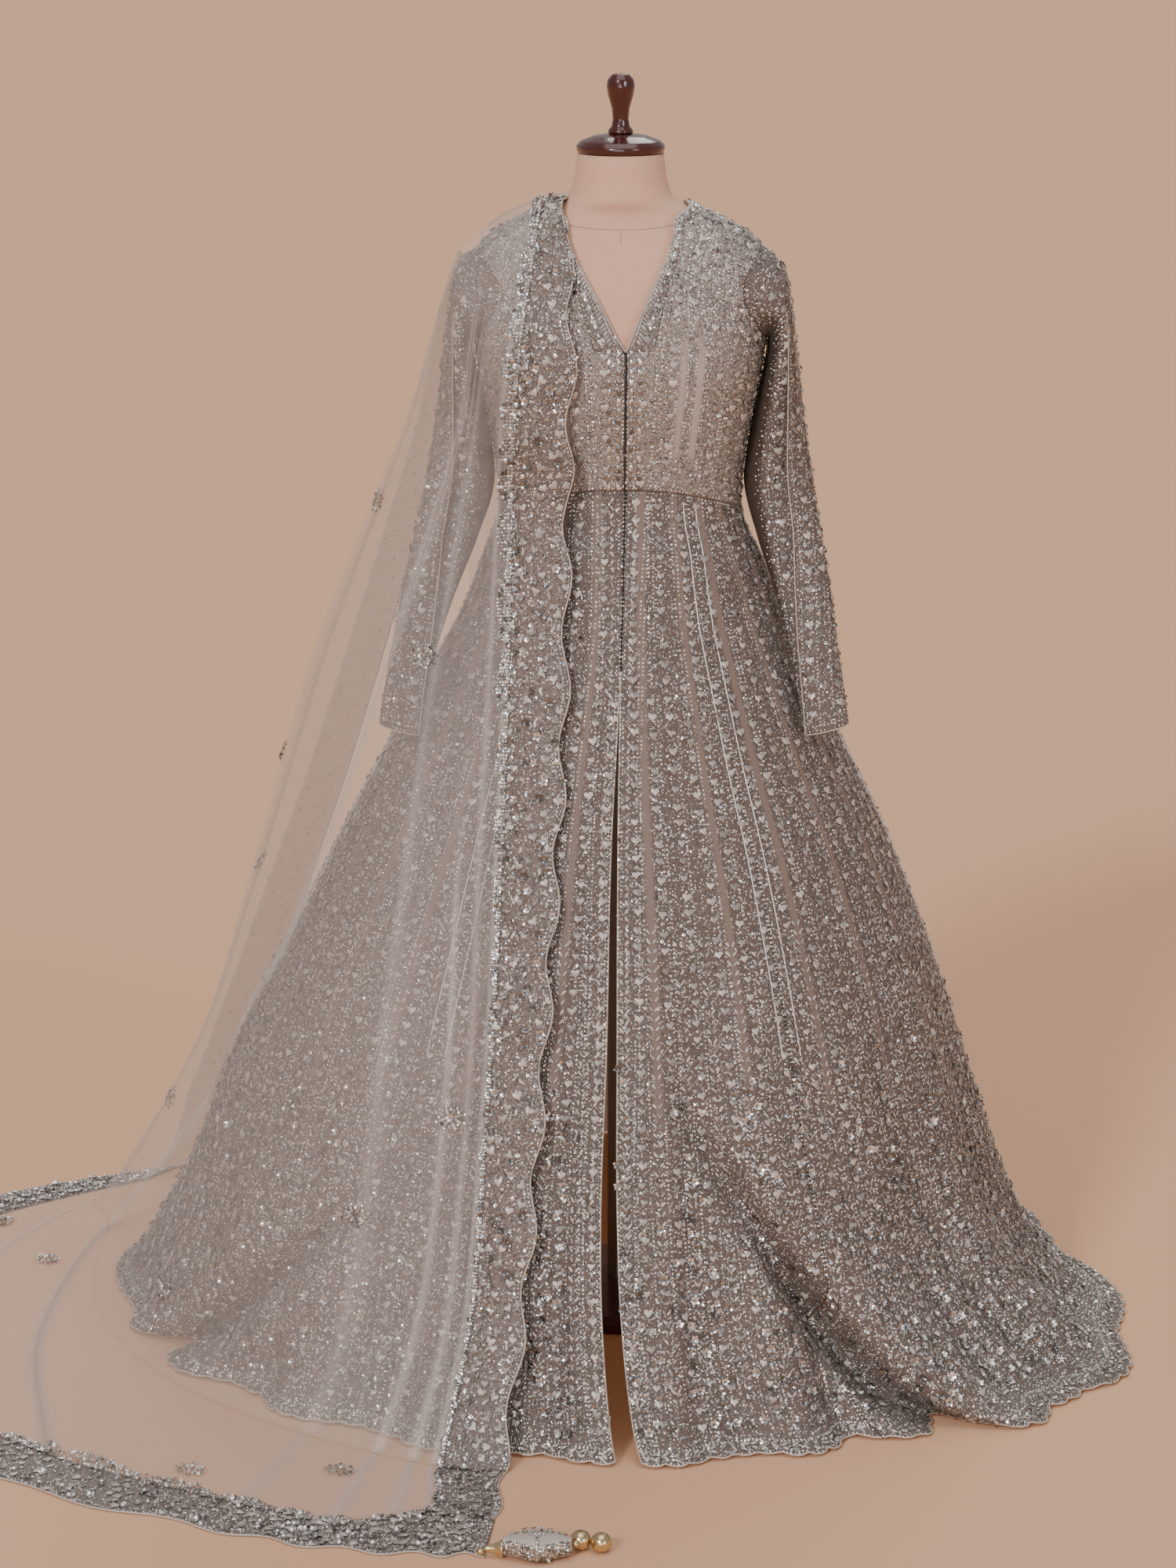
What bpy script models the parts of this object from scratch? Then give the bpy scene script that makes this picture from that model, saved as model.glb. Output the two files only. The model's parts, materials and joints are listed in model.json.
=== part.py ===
"""A floor-length flared gown of embroidered net with its dupatta, standing on a limbless dress form.

Metres, +Z up, the front towards -Y, the wearer's left towards +X. The origin is the middle of the stand's
foot, on the floor. Every piece of cloth is a slab laid out in the cloth's own coordinates (across, along,
through) and then bent to its place, so that neighbours meet at their seams.
"""

import math
from functools import lru_cache

import bmesh
import bpy
import numpy as np
from mathutils import Vector
from mathutils.bvhtree import BVHTree

# Cloth
WALL = 0.0020  # embroidered net with its lining
NET_WALL = 0.0011  # the dupatta's bare net
BORDER_WALL = 0.0018  # the dupatta's embroidered border
SEAM = 0.0003  # between pieces that are sewn together
HALF_SEAM = 0.0004  # drawn in at each edge of the dupatta's pieces
WAIST_SEAM = 0.0006  # the same at the waist, where the bodice's longer facets dip towards the skirt
BAND_WALL = 0.0012  # the neck band
LYING = 0.0004  # between a band and the panel that it lies on
FLOOR_CLEAR = 0.0004  # under cloth that rests on the floor

# Dress form and stand
NECK_TOP = 1.5260
CAP_RADIUS = 0.0560
FINIAL_TOP = 1.6250
FORM_BOTTOM = 0.800
FORM_COLUMNS = 24
# Height of each ring of the form, and how far it lies inside the outside of the bodice
FORM_RINGS = ((FORM_BOTTOM, 0.024), (0.815, 0.012), (0.870, 0.0085), (0.960, 0.0085), (1.040, 0.0085),
              (1.100, 0.0085), (1.175, 0.0085), (1.250, 0.0085), (1.300, 0.0085),
              (1.345, 0.0080), (1.380, 0.0080), (1.405, 0.0085), (1.430, 0.0090), (1.4455, 0.0095),
              (1.4575, 0.0100))
FORM_NECK = ((0.0640, 0.0575, 1.4680), (0.0590, 0.0560, 1.4840), (0.0562, 0.0550, 1.5030),
             (0.0545, 0.0545, NECK_TOP))
POLE_RADIUS = 0.0150
FOOT_RADIUS = 0.150
FOOT_HEIGHT = 0.028


class Table:
    """Rows of numbers, with the slope of each column along the first one."""

    def __init__(self, rows):
        self.rows = np.array(rows, float)
        self.slopes = np.gradient(self.rows, self.rows[:, 0], axis=0)


def read(table, column, at):
    """A smooth curve through one column of a table, read at a value of its first column."""
    x, y, slope = table.rows[:, 0], table.rows[:, column], table.slopes[:, column]
    at = min(max(at, x[0]), x[-1])
    i = max(min(int(np.searchsorted(x, at, side="right")) - 1, len(x) - 2), 0)
    step = x[i + 1] - x[i]
    t = (at - x[i]) / step
    rise = (1 + 2 * t) * (1 - t) ** 2 * y[i] + t * t * (3 - 2 * t) * y[i + 1]
    return rise + step * (t * (1 - t) ** 2 * slope[i] - t * t * (1 - t) * slope[i + 1])


# Outside of the bodice, from hip to neck: height, half width, depth in front, depth behind
BODY = Table([
    (0.700, 0.150, 0.104, 0.112),
    (0.800, 0.163, 0.112, 0.122),
    (0.900, 0.172, 0.120, 0.132),
    (1.000, 0.164, 0.116, 0.124),
    (1.060, 0.156, 0.112, 0.114),
    (1.100, 0.155, 0.112, 0.110),
    (1.150, 0.160, 0.119, 0.110),
    (1.220, 0.173, 0.134, 0.114),
    (1.265, 0.181, 0.137, 0.118),
    (1.300, 0.185, 0.129, 0.120),
    (1.345, 0.189, 0.114, 0.116),
    (1.380, 0.190, 0.100, 0.107),
    (1.405, 0.182, 0.088, 0.098),
    (1.430, 0.157, 0.075, 0.087),
    (1.450, 0.121, 0.066, 0.077),
    (1.462, 0.092, 0.060, 0.068),
    (1.468, 0.076, 0.057, 0.062),
])
BODY_SQUARE = 0.86  # below 1, the ring is fuller at its corners than an ellipse

# Bodice seams
WAIST_SIDE = 1.082
WAIST_FRONT_RISE = 0.033
WAIST_BACK_RISE = 0.008
UNDERARM = 1.292
SHOULDER_TIP = 1.412
NECK_POINT = 1.4665
BACK_NECK_DIP = 0.016
V_POINT = 1.292
FRONT_LINE = 0.006  # the front edges meet this far to the wearer's left of the middle

# Skirt from waist to hem: along, height, radius at the wearer's left, front, right and back
SKIRT = Table([
    (0.000, 1.082, 0.155, 0.112, 0.155, 0.111),
    (0.060, 1.020, 0.178, 0.138, 0.173, 0.146),
    (0.130, 0.940, 0.211, 0.170, 0.203, 0.186),
    (0.200, 0.860, 0.247, 0.206, 0.248, 0.226),
    (0.280, 0.770, 0.288, 0.244, 0.297, 0.270),
    (0.370, 0.670, 0.337, 0.288, 0.350, 0.320),
    (0.460, 0.570, 0.378, 0.330, 0.400, 0.366),
    (0.560, 0.460, 0.417, 0.374, 0.456, 0.416),
    (0.660, 0.350, 0.450, 0.417, 0.504, 0.464),
    (0.750, 0.250, 0.481, 0.455, 0.542, 0.506),
    (0.830, 0.165, 0.507, 0.490, 0.574, 0.542),
    (0.900, 0.090, 0.542, 0.524, 0.608, 0.580),
    (0.955, 0.030, 0.592, 0.556, 0.640, 0.618),
    (1.000, 0.0042, 0.650, 0.584, 0.668, 0.655),
])
HEIGHT, LEFT, FRONT, RIGHT, BACK = 1, 2, 3, 4, 5

# Skirt panels
KALIS = 12
KALI_COLUMNS = 8
WAIST_RADIUS = 0.13
SCALLOPS = 128
CUTS_PER_COLUMN = 3
SCALLOP_DEPTH = 0.0060

# Hem's outline on the floor: angle from the wearer's left, radius
WAIST_MEET_END = 0.06  # along the skirt, where it no longer follows the bodice
OVAL_END = 0.15  # where its rings are true ovals
WAIST_RISE_END = 0.5  # where the waist seam's rise has died out
HEM_FROM, HEM_POWER = 0.72, 1.5  # where it starts to spread to the hem's own outline, and how late
HEM_FLARE = 1.15  # how far a place past the hem moves outwards, for its distance along
HEM = Table([
    (-180, 0.670), (-165, 0.650), (-150, 0.614), (-135, 0.592), (-120, 0.582), (-105, 0.572), (-90, 0.584),
    (-75, 0.582), (-60, 0.608), (-45, 0.672), (-30, 0.700), (-12, 0.684), (0, 0.664), (20, 0.650),
    (45, 0.655), (90, 0.655), (135, 0.675), (165, 0.690), (180, 0.670),
])

# Front edges: along the skirt, how far each stands from the middle, at the wearer's right and left
SLIT = Table([
    (0.000, 0.0055, 0.0065), (0.185, -0.0015, 0.0000), (0.350, -0.0120, -0.0035), (0.560, -0.0170, -0.0045),
    (0.750, -0.0230, -0.0040), (0.830, -0.0220, -0.0010), (0.900, -0.0180, 0.0060), (1.000, -0.0075, 0.0245),
])

# Folds of the skirt: angle at the waist, angle at the hem, half width in degrees, depth at the hem, start
# along the skirt. A negative depth is a valley. A fold whose two angles differ runs aslant.
FOLDS = np.array([
    (-84.0, -83.0, 5.0, 0.010, 0.10),
    (-76.0, -77.0, 4.0, -0.010, 0.20),
    (-68.0, -69.0, 4.5, 0.012, 0.25),
    (-126.0, -51.0, 4.0, -0.050, 0.58),
    (-112.0, -44.0, 5.0, 0.022, 0.58),
    (-62.0, -62.5, 3.5, -0.022, 0.88),
    (-38.0, -38.0, 5.0, -0.012, 0.30),
    (-27.0, -26.0, 5.0, 0.012, 0.30),
    (-14.0, -14.0, 5.0, -0.014, 0.35),
    (-1.0, -1.0, 6.0, 0.010, 0.30),
    (14.0, 14.0, 5.0, -0.020, 0.25),
    (29.0, 29.0, 6.0, 0.018, 0.20),
    (43.0, 43.0, 5.0, -0.026, 0.20),
    (58.0, 58.0, 6.0, 0.022, 0.20),
    (72.0, 72.0, 5.0, -0.030, 0.20),
    (87.0, 87.0, 6.0, 0.024, 0.20),
    (101.0, 101.0, 5.0, -0.032, 0.20),
    (116.0, 116.0, 6.0, 0.022, 0.20),
    (130.0, 130.0, 5.0, -0.026, 0.20),
    (144.0, 144.0, 6.0, 0.020, 0.20),
    (158.0, 158.0, 5.0, -0.020, 0.25),
    (172.0, 172.0, 6.0, 0.012, 0.30),
    (-174.0, -174.0, 5.0, -0.012, 0.30),
    (-163.0, -165.0, 5.0, 0.010, 0.30),
    (-36.0, -160.0, 4.5, -0.042, 0.62),
    (-28.0, -151.0, 5.0, 0.020, 0.62),
    (-141.0, -142.0, 4.5, -0.014, 0.85),
    (-131.0, -131.0, 4.5, 0.012, 0.30),
    (-120.0, -121.0, 4.5, -0.016, 0.25),
    (-110.0, -111.0, 4.5, 0.012, 0.25),
    (-99.0, -99.0, 4.0, -0.010, 0.20),
])

# Sleeve at the wearer's left, from underarm to cuff: along, inner x, inner height, outer x, outer height,
# middle's depth, half depth, how far across from the inner side the front crease lies, crease depth
SLEEVE = Table([
    (0.00, 0.1870, 1.2900, 0.1900, 1.4060, 0.000, 0.066, 0.712, 0.000),
    (0.07, 0.1895, 1.2945, 0.2080, 1.3840, -0.001, 0.065, 0.76, 0.001),
    (0.15, 0.1915, 1.2680, 0.2170, 1.3400, -0.002, 0.062, 0.70, 0.004),
    (0.25, 0.1850, 1.2250, 0.2250, 1.2760, -0.004, 0.056, 0.66, 0.008),
    (0.35, 0.1780, 1.1800, 0.2320, 1.2150, -0.006, 0.048, 0.62, 0.012),
    (0.47, 0.1700, 1.1100, 0.2430, 1.1350, -0.010, 0.040, 0.58, 0.014),
    (0.60, 0.1880, 1.0330, 0.2560, 1.0530, -0.030, 0.036, 0.48, 0.014),
    (0.72, 0.2060, 0.9650, 0.2680, 0.9820, -0.058, 0.032, 0.30, 0.013),
    (0.84, 0.2180, 0.8980, 0.2770, 0.9110, -0.092, 0.028, 0.15, 0.009),
    (0.93, 0.2260, 0.8480, 0.2840, 0.8610, -0.120, 0.023, 0.09, 0.005),
    (1.00, 0.2310, 0.8080, 0.2890, 0.8220, -0.138, 0.020, 0.06, 0.003),
])
(IN_X, IN_Z, OUT_X, OUT_Z, MID_Y, HALF_Y, CREASE_AT, CREASE) = range(1, 9)
ARMHOLE_SEAM = 0.0006
ARM_ROOT = np.array((0.190, 0.0, 1.350))  # the middle of the armhole
CREASE_END = 0.985  # the last column of a sleeve, before its crease
RIGHT_SLEEVE_SWING = 0.016  # the cuff at the wearer's right hangs this much further out
CREASE_GAP = 0.0035  # the crease's inner layer lies this much further in
CREASE_LEAST = 0.002  # a crease that is less deep has no gap
FOLD_FROM = 0.80  # across the sleeve, where its last part starts to fold in behind the crease
PROUD_TO, PROUD_SHARE = 0.10, 0.3  # its first part stands proud up to there, by that share of the depth
ARMHOLE_END = 0.09  # down the sleeve, where it has its own shape


# Dupatta. Its lines run down the cloth, from the shoulder over the heights below to the floor, and on over
# the floor to the end of the cloth: x and y of each line at each height and at three places on the floor.
# The first is the scalloped edge in front, the last the other edge, which falls behind the gown.
DRAPE_HEIGHTS = (1.330, 1.200, 1.080, 0.860, 0.660, 0.480, 0.300, 0.150)
DRAPE_SHOULDER = ((-0.066, 0.000, 1.4640), (-0.092, 0.000, 1.4570), (-0.112, 0.000, 1.4500),
                  (-0.140, 0.000, 1.4360), (-0.166, 0.000, 1.4200), (-0.200, 0.008, 1.4120),
                  (-0.206, 0.034, 1.4010), (-0.203, 0.058, 1.3940))
DRAPE_LINES = {
    "edge": ((-.055, -.130), (-.056, -.148), (-.060, -.145), (-.063, -.222), (-.074, -.305), (-.086, -.385),
             (-.100, -.450), (-.115, -.510), (-.137, -.600), (-.135, -.668), (-.150, -.735)),
    "border": ((-.122, -.125), (-.137, -.145), (-.140, -.140), (-.144, -.215), (-.151, -.300), (-.160, -.380),
               (-.173, -.445), (-.186, -.500), (-.218, -.585), (-.216, -.655), (-.222, -.720)),
    "fold": ((-.139, -.120), (-.154, -.140), (-.163, -.140), (-.182, -.220), (-.199, -.310), (-.207, -.390),
             (-.223, -.450), (-.246, -.500), (-.295, -.548), (-.315, -.640), (-.335, -.745)),
    "middle": ((-.165, -.100), (-.181, -.110), (-.202, -.130), (-.242, -.220), (-.273, -.310), (-.300, -.380),
               (-.323, -.420), (-.350, -.450), (-.400, -.478), (-.435, -.575), (-.469, -.681)),
    "aslant": ((-.185, -.090), (-.205, -.090), (-.239, -.105), (-.313, -.130), (-.382, -.110), (-.452, -.050),
               (-.530, .060), (-.620, .160), (-.715, .260), (-.760, -.150), (-.700, -.543)),
    "side": ((-.232, .010), (-.270, .030), (-.315, .070), (-.398, .130), (-.460, .180), (-.516, .240),
             (-.577, .290), (-.650, .340), (-.745, .375), (-.880, .060), (-.905, -.330)),
    "behind": ((-.226, .070), (-.250, .105), (-.285, .150), (-.355, .230), (-.420, .300), (-.485, .360),
               (-.550, .415), (-.610, .445), (-.690, .452), (-.935, .230), (-.985, -.110)),
    "far_edge": ((-.212, .100), (-.222, .150), (-.250, .200), (-.310, .290), (-.370, .365), (-.430, .430),
                 (-.490, .480), (-.545, .515), (-.640, .515), (-.950, .330), (-1.020, .010)),
}
# Where each strip of the dupatta is divided across its lines
DRAPE_ACROSS = {
    "border": (0, 0.5, 1),
    "net_front": (1, 1.4, 1.8, 2.2, 2.6, 3, 3.17, 3.34, 3.5, 3.67, 3.84, 4),
    "net_side": (4, 4.4, 4.8, 5.2, 5.6, 6),
    "border_far": (6, 7),
}
DRAPE_DOWN = (0, 0.12, 0.26, 0.42, 0.6, 0.8, 1, 1.5, 2, 2.33, 2.67, 3, 3.33, 3.67, 4, 4.33, 4.67, 5, 5.33,
              5.67, 6, 6.33, 6.67, 7, 7.33, 7.67, 8, 8.25, 8.5, 8.75, 9)
FLOOR_ROWS = 4
NECK_ROOM = 0.005  # a ray that meets the gown more than this above the neck point has met the form
WAIST_ROOM = 0.02  # how far below the waist seam the bodice's shape is still followed
NEAR_ANGLES = (-6, -3, 0, 3, 6)  # degrees to either side at which the skirt is felt for
CUFF_ROOM, ARM_TOP = 0.03, 1.39  # the sleeve is kept clear of from this far below its cuff to this height
CREASE_SHARE = 0.4  # the share of the crease's depth by which the sleeve stands out
BEHIND_ARM = 0.6  # a point this share of the sleeve's depth behind its middle passes behind it
SCALLOPS_FROM = 0.3  # down the lines, where the scallops have their whole depth
DRAPE_CLEAR = 0.0075  # from the gown to the outside of the dupatta
SHOULDER_CLEAR = 0.0066  # the same on top of the shoulder, where it rests on the neck band
DRAPE_FOLDS = 5  # soft folds across its whole width
DRAPE_FOLD_DEPTH = 0.007
BIG_SCALLOP = 0.135  # from one scallop of the border to the next, down its edge
BIG_SCALLOP_DEPTH = 0.0065
SCALLOP_START = 0.042  # from the shoulder to the first inner point of the scalloped edge
LOW = 0.0024  # height of the dupatta's outside on the floor
CHEST = 1.330  # above it, the dupatta is kept clear of the gown on rays from inside the shoulder
SHOULDER_INSIDE = -0.150
SHOULDER_REACH = 0.40
RAYS = ((0, 0, 0), (0, 0.012, 0), (0, -0.012, 0), (0.013, 0, 0), (-0.013, 0, 0))  # where each is also aimed
END_EDGE = ((-.160, -.841), (-.235, -.840), (-.358, -.818), (-.500, -.762), (-.740, -.634), (-.985, -.395),
            (-1.075, -.130), (-1.100, .010))  # outer edge of the end border on the floor, at each line
END_SPACING = 0.19  # from line to line along it, on average
END_CUTS = 3  # of each column of the end border, along its scalloped edge

# The back fall, from the shoulder down: y and height of each row
BACK_SHIFT, BACK_DRAW_IN = 0.025, 2.4  # how far its low end lies aside, and is drawn together
BACK_FALL = ((0.002, 1.440), (0.050, 1.425), (0.095, 1.395), (0.128, 1.330), (0.130, 1.230), (0.128, 1.120),
             (0.168, 1.030), (0.212, 0.940), (0.240, 0.880))
BACK_LINES = 4.0  # how many of the dupatta's lines fall behind
BACK_COLUMNS = 14
BACK_FOLDS = 3.5
BACK_BORDER = 0.84  # how many of its last rows are border

# Tassel at the dupatta's corner, along +X on the floor
TASSEL_Y = -0.838
TASSEL_START = -0.1690
BEAD_RADIUS = 0.0045
CONE_LENGTH, CONE_RADIUS = 0.021, 0.0105
PUFF_LENGTH, PUFF_WIDTH, PUFF_THICK = 0.079, 0.050, 0.025
PUFF_TIP, PUFF_STEPS, PUFF_COLUMNS = 0.0085, 10, 14
BALL_RADIUS = 0.0120


def clear_scene():
    for old in list(bpy.data.objects):
        bpy.data.objects.remove(old)


def finish(name, colour, roughness, metallic=0.0):
    """One material for a piece."""
    made = bpy.data.materials.new(name + "_finish")
    made.use_nodes = True
    shader = made.node_tree.nodes["Principled BSDF"]
    shader.inputs["Base Color"].default_value = (*colour, 1)
    shader.inputs["Roughness"].default_value = roughness
    shader.inputs["Metallic"].default_value = metallic
    return made


GOWN = ((0.34, 0.29, 0.25), 0.45, 0.35)
NET = ((0.48, 0.42, 0.40), 0.70, 0.0)
LINEN = ((0.66, 0.50, 0.41), 0.75, 0.0)
WOOD = ((0.07, 0.006, 0.004), 0.18, 0.0)
STEEL = ((0.30, 0.29, 0.28), 0.35, 0.9)
GOLD = ((0.62, 0.50, 0.30), 0.35, 0.8)


def place(name, bm, look):
    """An object from a bmesh, in a material of its own."""
    bmesh.ops.recalc_face_normals(bm, faces=bm.faces)
    if bm.calc_volume(signed=True) < 0:
        bmesh.ops.reverse_faces(bm, faces=bm.faces)
    mesh = bpy.data.meshes.new(name)
    bm.to_mesh(mesh)
    bm.free()
    mesh.materials.append(finish(name, *look))
    made = bpy.data.objects.new(name, mesh)
    bpy.context.collection.objects.link(made)
    return made


def unit(v):
    return v / max(np.linalg.norm(v), 1e-12)


def normal_at(surface, u, v, step=1e-3):
    """The outward normal of surface(u, v), which goes round and then down."""
    across = surface(u + step, v) - surface(u - step, v)
    along = surface(u, v + step) - surface(u, v - step)
    return unit(np.cross(along, across))


def slab(name, surface, across, along, wall, look, edge_cuts=0, edge_shape=None):
    """A cloth panel: a slab in cloth coordinates, bent onto surface(u, v), its wall inwards from it.

    edge_cuts divides each column's lower edge, and edge_shape(u) moves that edge along the cloth.
    """
    columns, rows = len(across) - 1, len(along) - 1
    bm = bmesh.new()
    bmesh.ops.create_grid(bm, x_segments=columns, y_segments=rows, size=0.5)
    if edge_cuts:
        low = [e for e in bm.edges if all(v.co.y > 0.5 - 1e-6 for v in e.verts)]
        bmesh.ops.subdivide_edges(bm, edges=low, cuts=edge_cuts)
    for v in bm.verts:
        v.co.x = float(np.interp((v.co.x + 0.5) * columns, range(columns + 1), across))
        v.co.y = float(np.interp((v.co.y + 0.5) * rows, range(rows + 1), along))
    lower = bmesh.ops.extrude_face_region(bm, geom=bm.faces[:])["geom"]
    for v in lower:
        if isinstance(v, bmesh.types.BMVert):
            v.co.z = -1.0
    for v in bm.verts:
        u, w, through = v.co
        edge = edge_shape(u) if edge_shape and w > along[-1] - 1e-6 else 0.0
        v.co = surface(u, w + edge) + normal_at(surface, u, w) * (through * wall)
    return place(name, bm, look)


def body_point(angle, height, out=0.0):
    """The outside of the bodice, at an angle from the wearer's left (-90 is the front)."""
    c, s = math.cos(math.radians(angle)), math.sin(math.radians(angle))
    half = read(BODY, 1, height) + out
    deep = read(BODY, 2 if s < 0 else 3, height) + out
    x = half * math.copysign(abs(c) ** BODY_SQUARE, c)
    y = deep * math.copysign(abs(s) ** BODY_SQUARE, s)
    return np.array((x, y, height))


def waist_height(angle):
    s = math.sin(math.radians(angle))
    return WAIST_SIDE + (WAIST_FRONT_RISE if s < 0 else WAIST_BACK_RISE) * s * s


@lru_cache(maxsize=None)
def curve(points):
    return Table(np.column_stack([np.linspace(0, 1, len(points)), points]))


def through(points, t):
    """A point at t, from 0 to 1, on a smooth curve through points."""
    table = curve(tuple(points))
    return np.array([read(table, 1, t), read(table, 2, t)])


def patch(left, right, bottom, top):
    """A surface on the body between four edges, each a function from 0 to 1 to (angle, height)."""
    def at(u, v):
        u, v = min(max(u, -0.02), 1.02), min(max(v, -0.02), 1.02)
        flat = (1 - u) * left(v) + u * right(v) + (1 - v) * bottom(u) + v * top(u)
        flat -= (1 - u) * ((1 - v) * left(0) + v * left(1)) + u * ((1 - v) * right(0) + v * right(1))
        return body_point(flat[0], flat[1])
    return at


# Half of the bodice's height in cloth coordinates lies below the underarm
FRONT_ARMHOLE = ((0, UNDERARM), (-20, 1.305), (-36, 1.338), (-38, 1.375), (-22, 1.402), (0, SHOULDER_TIP))
BACK_ARMHOLE = ((0, UNDERARM), (20, 1.305), (31, 1.338), (32, 1.375), (20, 1.402), (0, SHOULDER_TIP))
BACK_LINE = ((56, UNDERARM), (60, 1.345), (63, 1.388), (62, 1.428), (52, 1.453), (0.12, NECK_POINT))
BACK_PART = 54  # angle at the waist of the lines up to the ends of the back neck
NECK_FROM = 0.3
NECKLINE = ((-88.7, V_POINT), (-83.4, 1.345), (-77.6, 1.388), (-69.2, 1.428), (-54.3, 1.453),
            (-0.12, NECK_POINT))


def edge_line(low, high_points):
    """A panel's side: straight up to the underarm's height, then along a curve."""
    def at(v):
        if v <= 0.5:
            return np.array(low) + (np.array(high_points[0]) - np.array(low)) * (v / 0.5)
        return through(high_points, (v - 0.5) / 0.5)
    return at


def waist_line(start, end):
    def at(u):
        angle = start + (end - start) * u
        return np.array((angle, waist_height(angle) + WAIST_SEAM))
    return at


def angle_of(x, half, square):
    """The angle, near the front, at which a ring of that half width is x from the middle."""
    return -90 + math.copysign(math.degrees(math.asin((abs(x) / half) ** (1 / square))), x)


def bodice_front(side):
    """The wearer's left front for side 1, the right for -1, as a surface from its front edge outwards."""
    front = angle_of(side * FRONT_LINE + SEAM / 2, read(BODY, 1, V_POINT), BODY_SQUARE)
    shift = front - NECKLINE[0][0]
    neckline = [(a + shift * max(0.0, 1 - (h - V_POINT) / 0.12), h) for a, h in NECKLINE]
    armhole = [(a - 0.12, h) for a, h in FRONT_ARMHOLE]
    shape = patch(
        edge_line((front, waist_height(-90) + WAIST_SEAM), neckline),
        edge_line((-0.12, waist_height(0) + WAIST_SEAM), armhole),
        waist_line(front, -0.12),
        lambda u: np.array((-0.12, NECK_POINT + (SHOULDER_TIP - NECK_POINT) * u)))
    return lambda u, v: shape(u, v) * (side, 1, 1)


def bodice_back():
    """The back, from the left side seam to the right one, in three parts that meet below the neck."""
    armhole_line = edge_line((0.12, waist_height(0) + WAIST_SEAM), [(a + 0.12, h) for a, h in BACK_ARMHOLE])
    inner_line = edge_line((BACK_PART, waist_height(BACK_PART) + WAIST_SEAM), BACK_LINE)

    def nape(u):
        return np.array((0.12 + 179.76 * u, NECK_POINT - BACK_NECK_DIP * math.sin(math.pi * u)))

    beside = patch(armhole_line, inner_line, waist_line(0.12, BACK_PART),
                   lambda u: np.array((0.12, SHOULDER_TIP + (NECK_POINT - SHOULDER_TIP) * u)))
    centre = patch(inner_line, lambda v: inner_line(v) * (-1, 1) + (180, 0),
                   waist_line(BACK_PART, 180 - BACK_PART), nape)

    def at(u, v):
        if u < NECK_FROM:
            return beside(u / NECK_FROM, v)
        if u > 1 - NECK_FROM:
            return beside((1 - u) / NECK_FROM, v) * (-1, 1, 1)
        return centre((u - NECK_FROM) / (1 - 2 * NECK_FROM), v)
    return at


FRONT_ACROSS = (0, 0.10, 0.22, 0.35, 0.48, 0.61, 0.74, 0.87, 1)
BODICE_ALONG = (0, 0.12, 0.25, 0.37, 0.5, 0.58, 0.66, 0.74, 0.82, 0.89, 0.95, 1)
BAND_END = 0.02  # the back neck band starts this far inside the shoulder seams
BACK_ACROSS = (0, 0.075, 0.15, 0.225, 0.30, 0.36, 0.42, 0.5, 0.58, 0.64, 0.70, 0.775, 0.85, 0.925, 1)


def normal_out(surface, u, v):
    """The normal of a body surface, turned away from the body's middle."""
    n = normal_at(surface, u, v)
    p = surface(u, v)
    away = np.array((p[0], p[1], 0.02))
    return n if n @ away > 0 else -n


def body_slab(name, surface, across, along, wall, look, lift=0.0):
    """A slab on the body, lifted off the surface, its wall inwards whichever way the surface is laid out."""
    columns, rows = len(across) - 1, len(along) - 1
    bm = bmesh.new()
    bmesh.ops.create_grid(bm, x_segments=columns, y_segments=rows, size=0.5)
    for v in bm.verts:
        v.co.x = float(np.interp((v.co.x + 0.5) * columns, range(columns + 1), across))
        v.co.y = float(np.interp((v.co.y + 0.5) * rows, range(rows + 1), along))
    lower = bmesh.ops.extrude_face_region(bm, geom=bm.faces[:])["geom"]
    for v in lower:
        if isinstance(v, bmesh.types.BMVert):
            v.co.z = -1.0
    for v in bm.verts:
        u, w, through_wall = v.co
        v.co = surface(u, w) + normal_out(surface, u, w) * (lift + through_wall * wall)
    return place(name, bm, look)


def bodice():
    left, right, back = bodice_front(1), bodice_front(-1), bodice_back()
    body_slab("bodice_front_left", left, FRONT_ACROSS, BODICE_ALONG, WALL, GOWN)
    body_slab("bodice_front_right", right, FRONT_ACROSS, BODICE_ALONG, WALL, GOWN)
    body_slab("bodice_back", back, BACK_ACROSS, BODICE_ALONG, WALL, GOWN)
    band = [a for a in FRONT_ACROSS if a <= 0.10]
    lift = LYING + BAND_WALL
    for name, front in (("neckband_left", left), ("neckband_right", right)):
        body_slab(name, front, band, BODICE_ALONG[4:], BAND_WALL, GOWN, lift)
    between_seams = [a for a in BACK_ACROSS if NECK_FROM < a < 1 - NECK_FROM]
    nape = [NECK_FROM + BAND_END, *between_seams, 1 - NECK_FROM - BAND_END]
    body_slab("neckband_back", back, nape, BODICE_ALONG[-2:], BAND_WALL, GOWN, lift + LYING)


def smooth(x):
    x = min(max(x, 0.0), 1.0)
    return x * x * (3 - 2 * x)


def turned(angle):
    """An angle between -180 and 180."""
    return (angle + 180) % 360 - 180


def folds_at(angle, along):
    """How far the skirt's folds move it outwards."""
    out = 0.0
    for waist, hem, width, depth, start in FOLDS:
        grow = smooth((along - start) / (1.0 - start)) if along > start else 0.0
        if grow == 0.0:
            continue
        away = turned(angle - (waist + (hem - waist) * along)) / width
        if abs(away) < 3:
            out += depth * grow * math.exp(-away * away)
    return out


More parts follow.
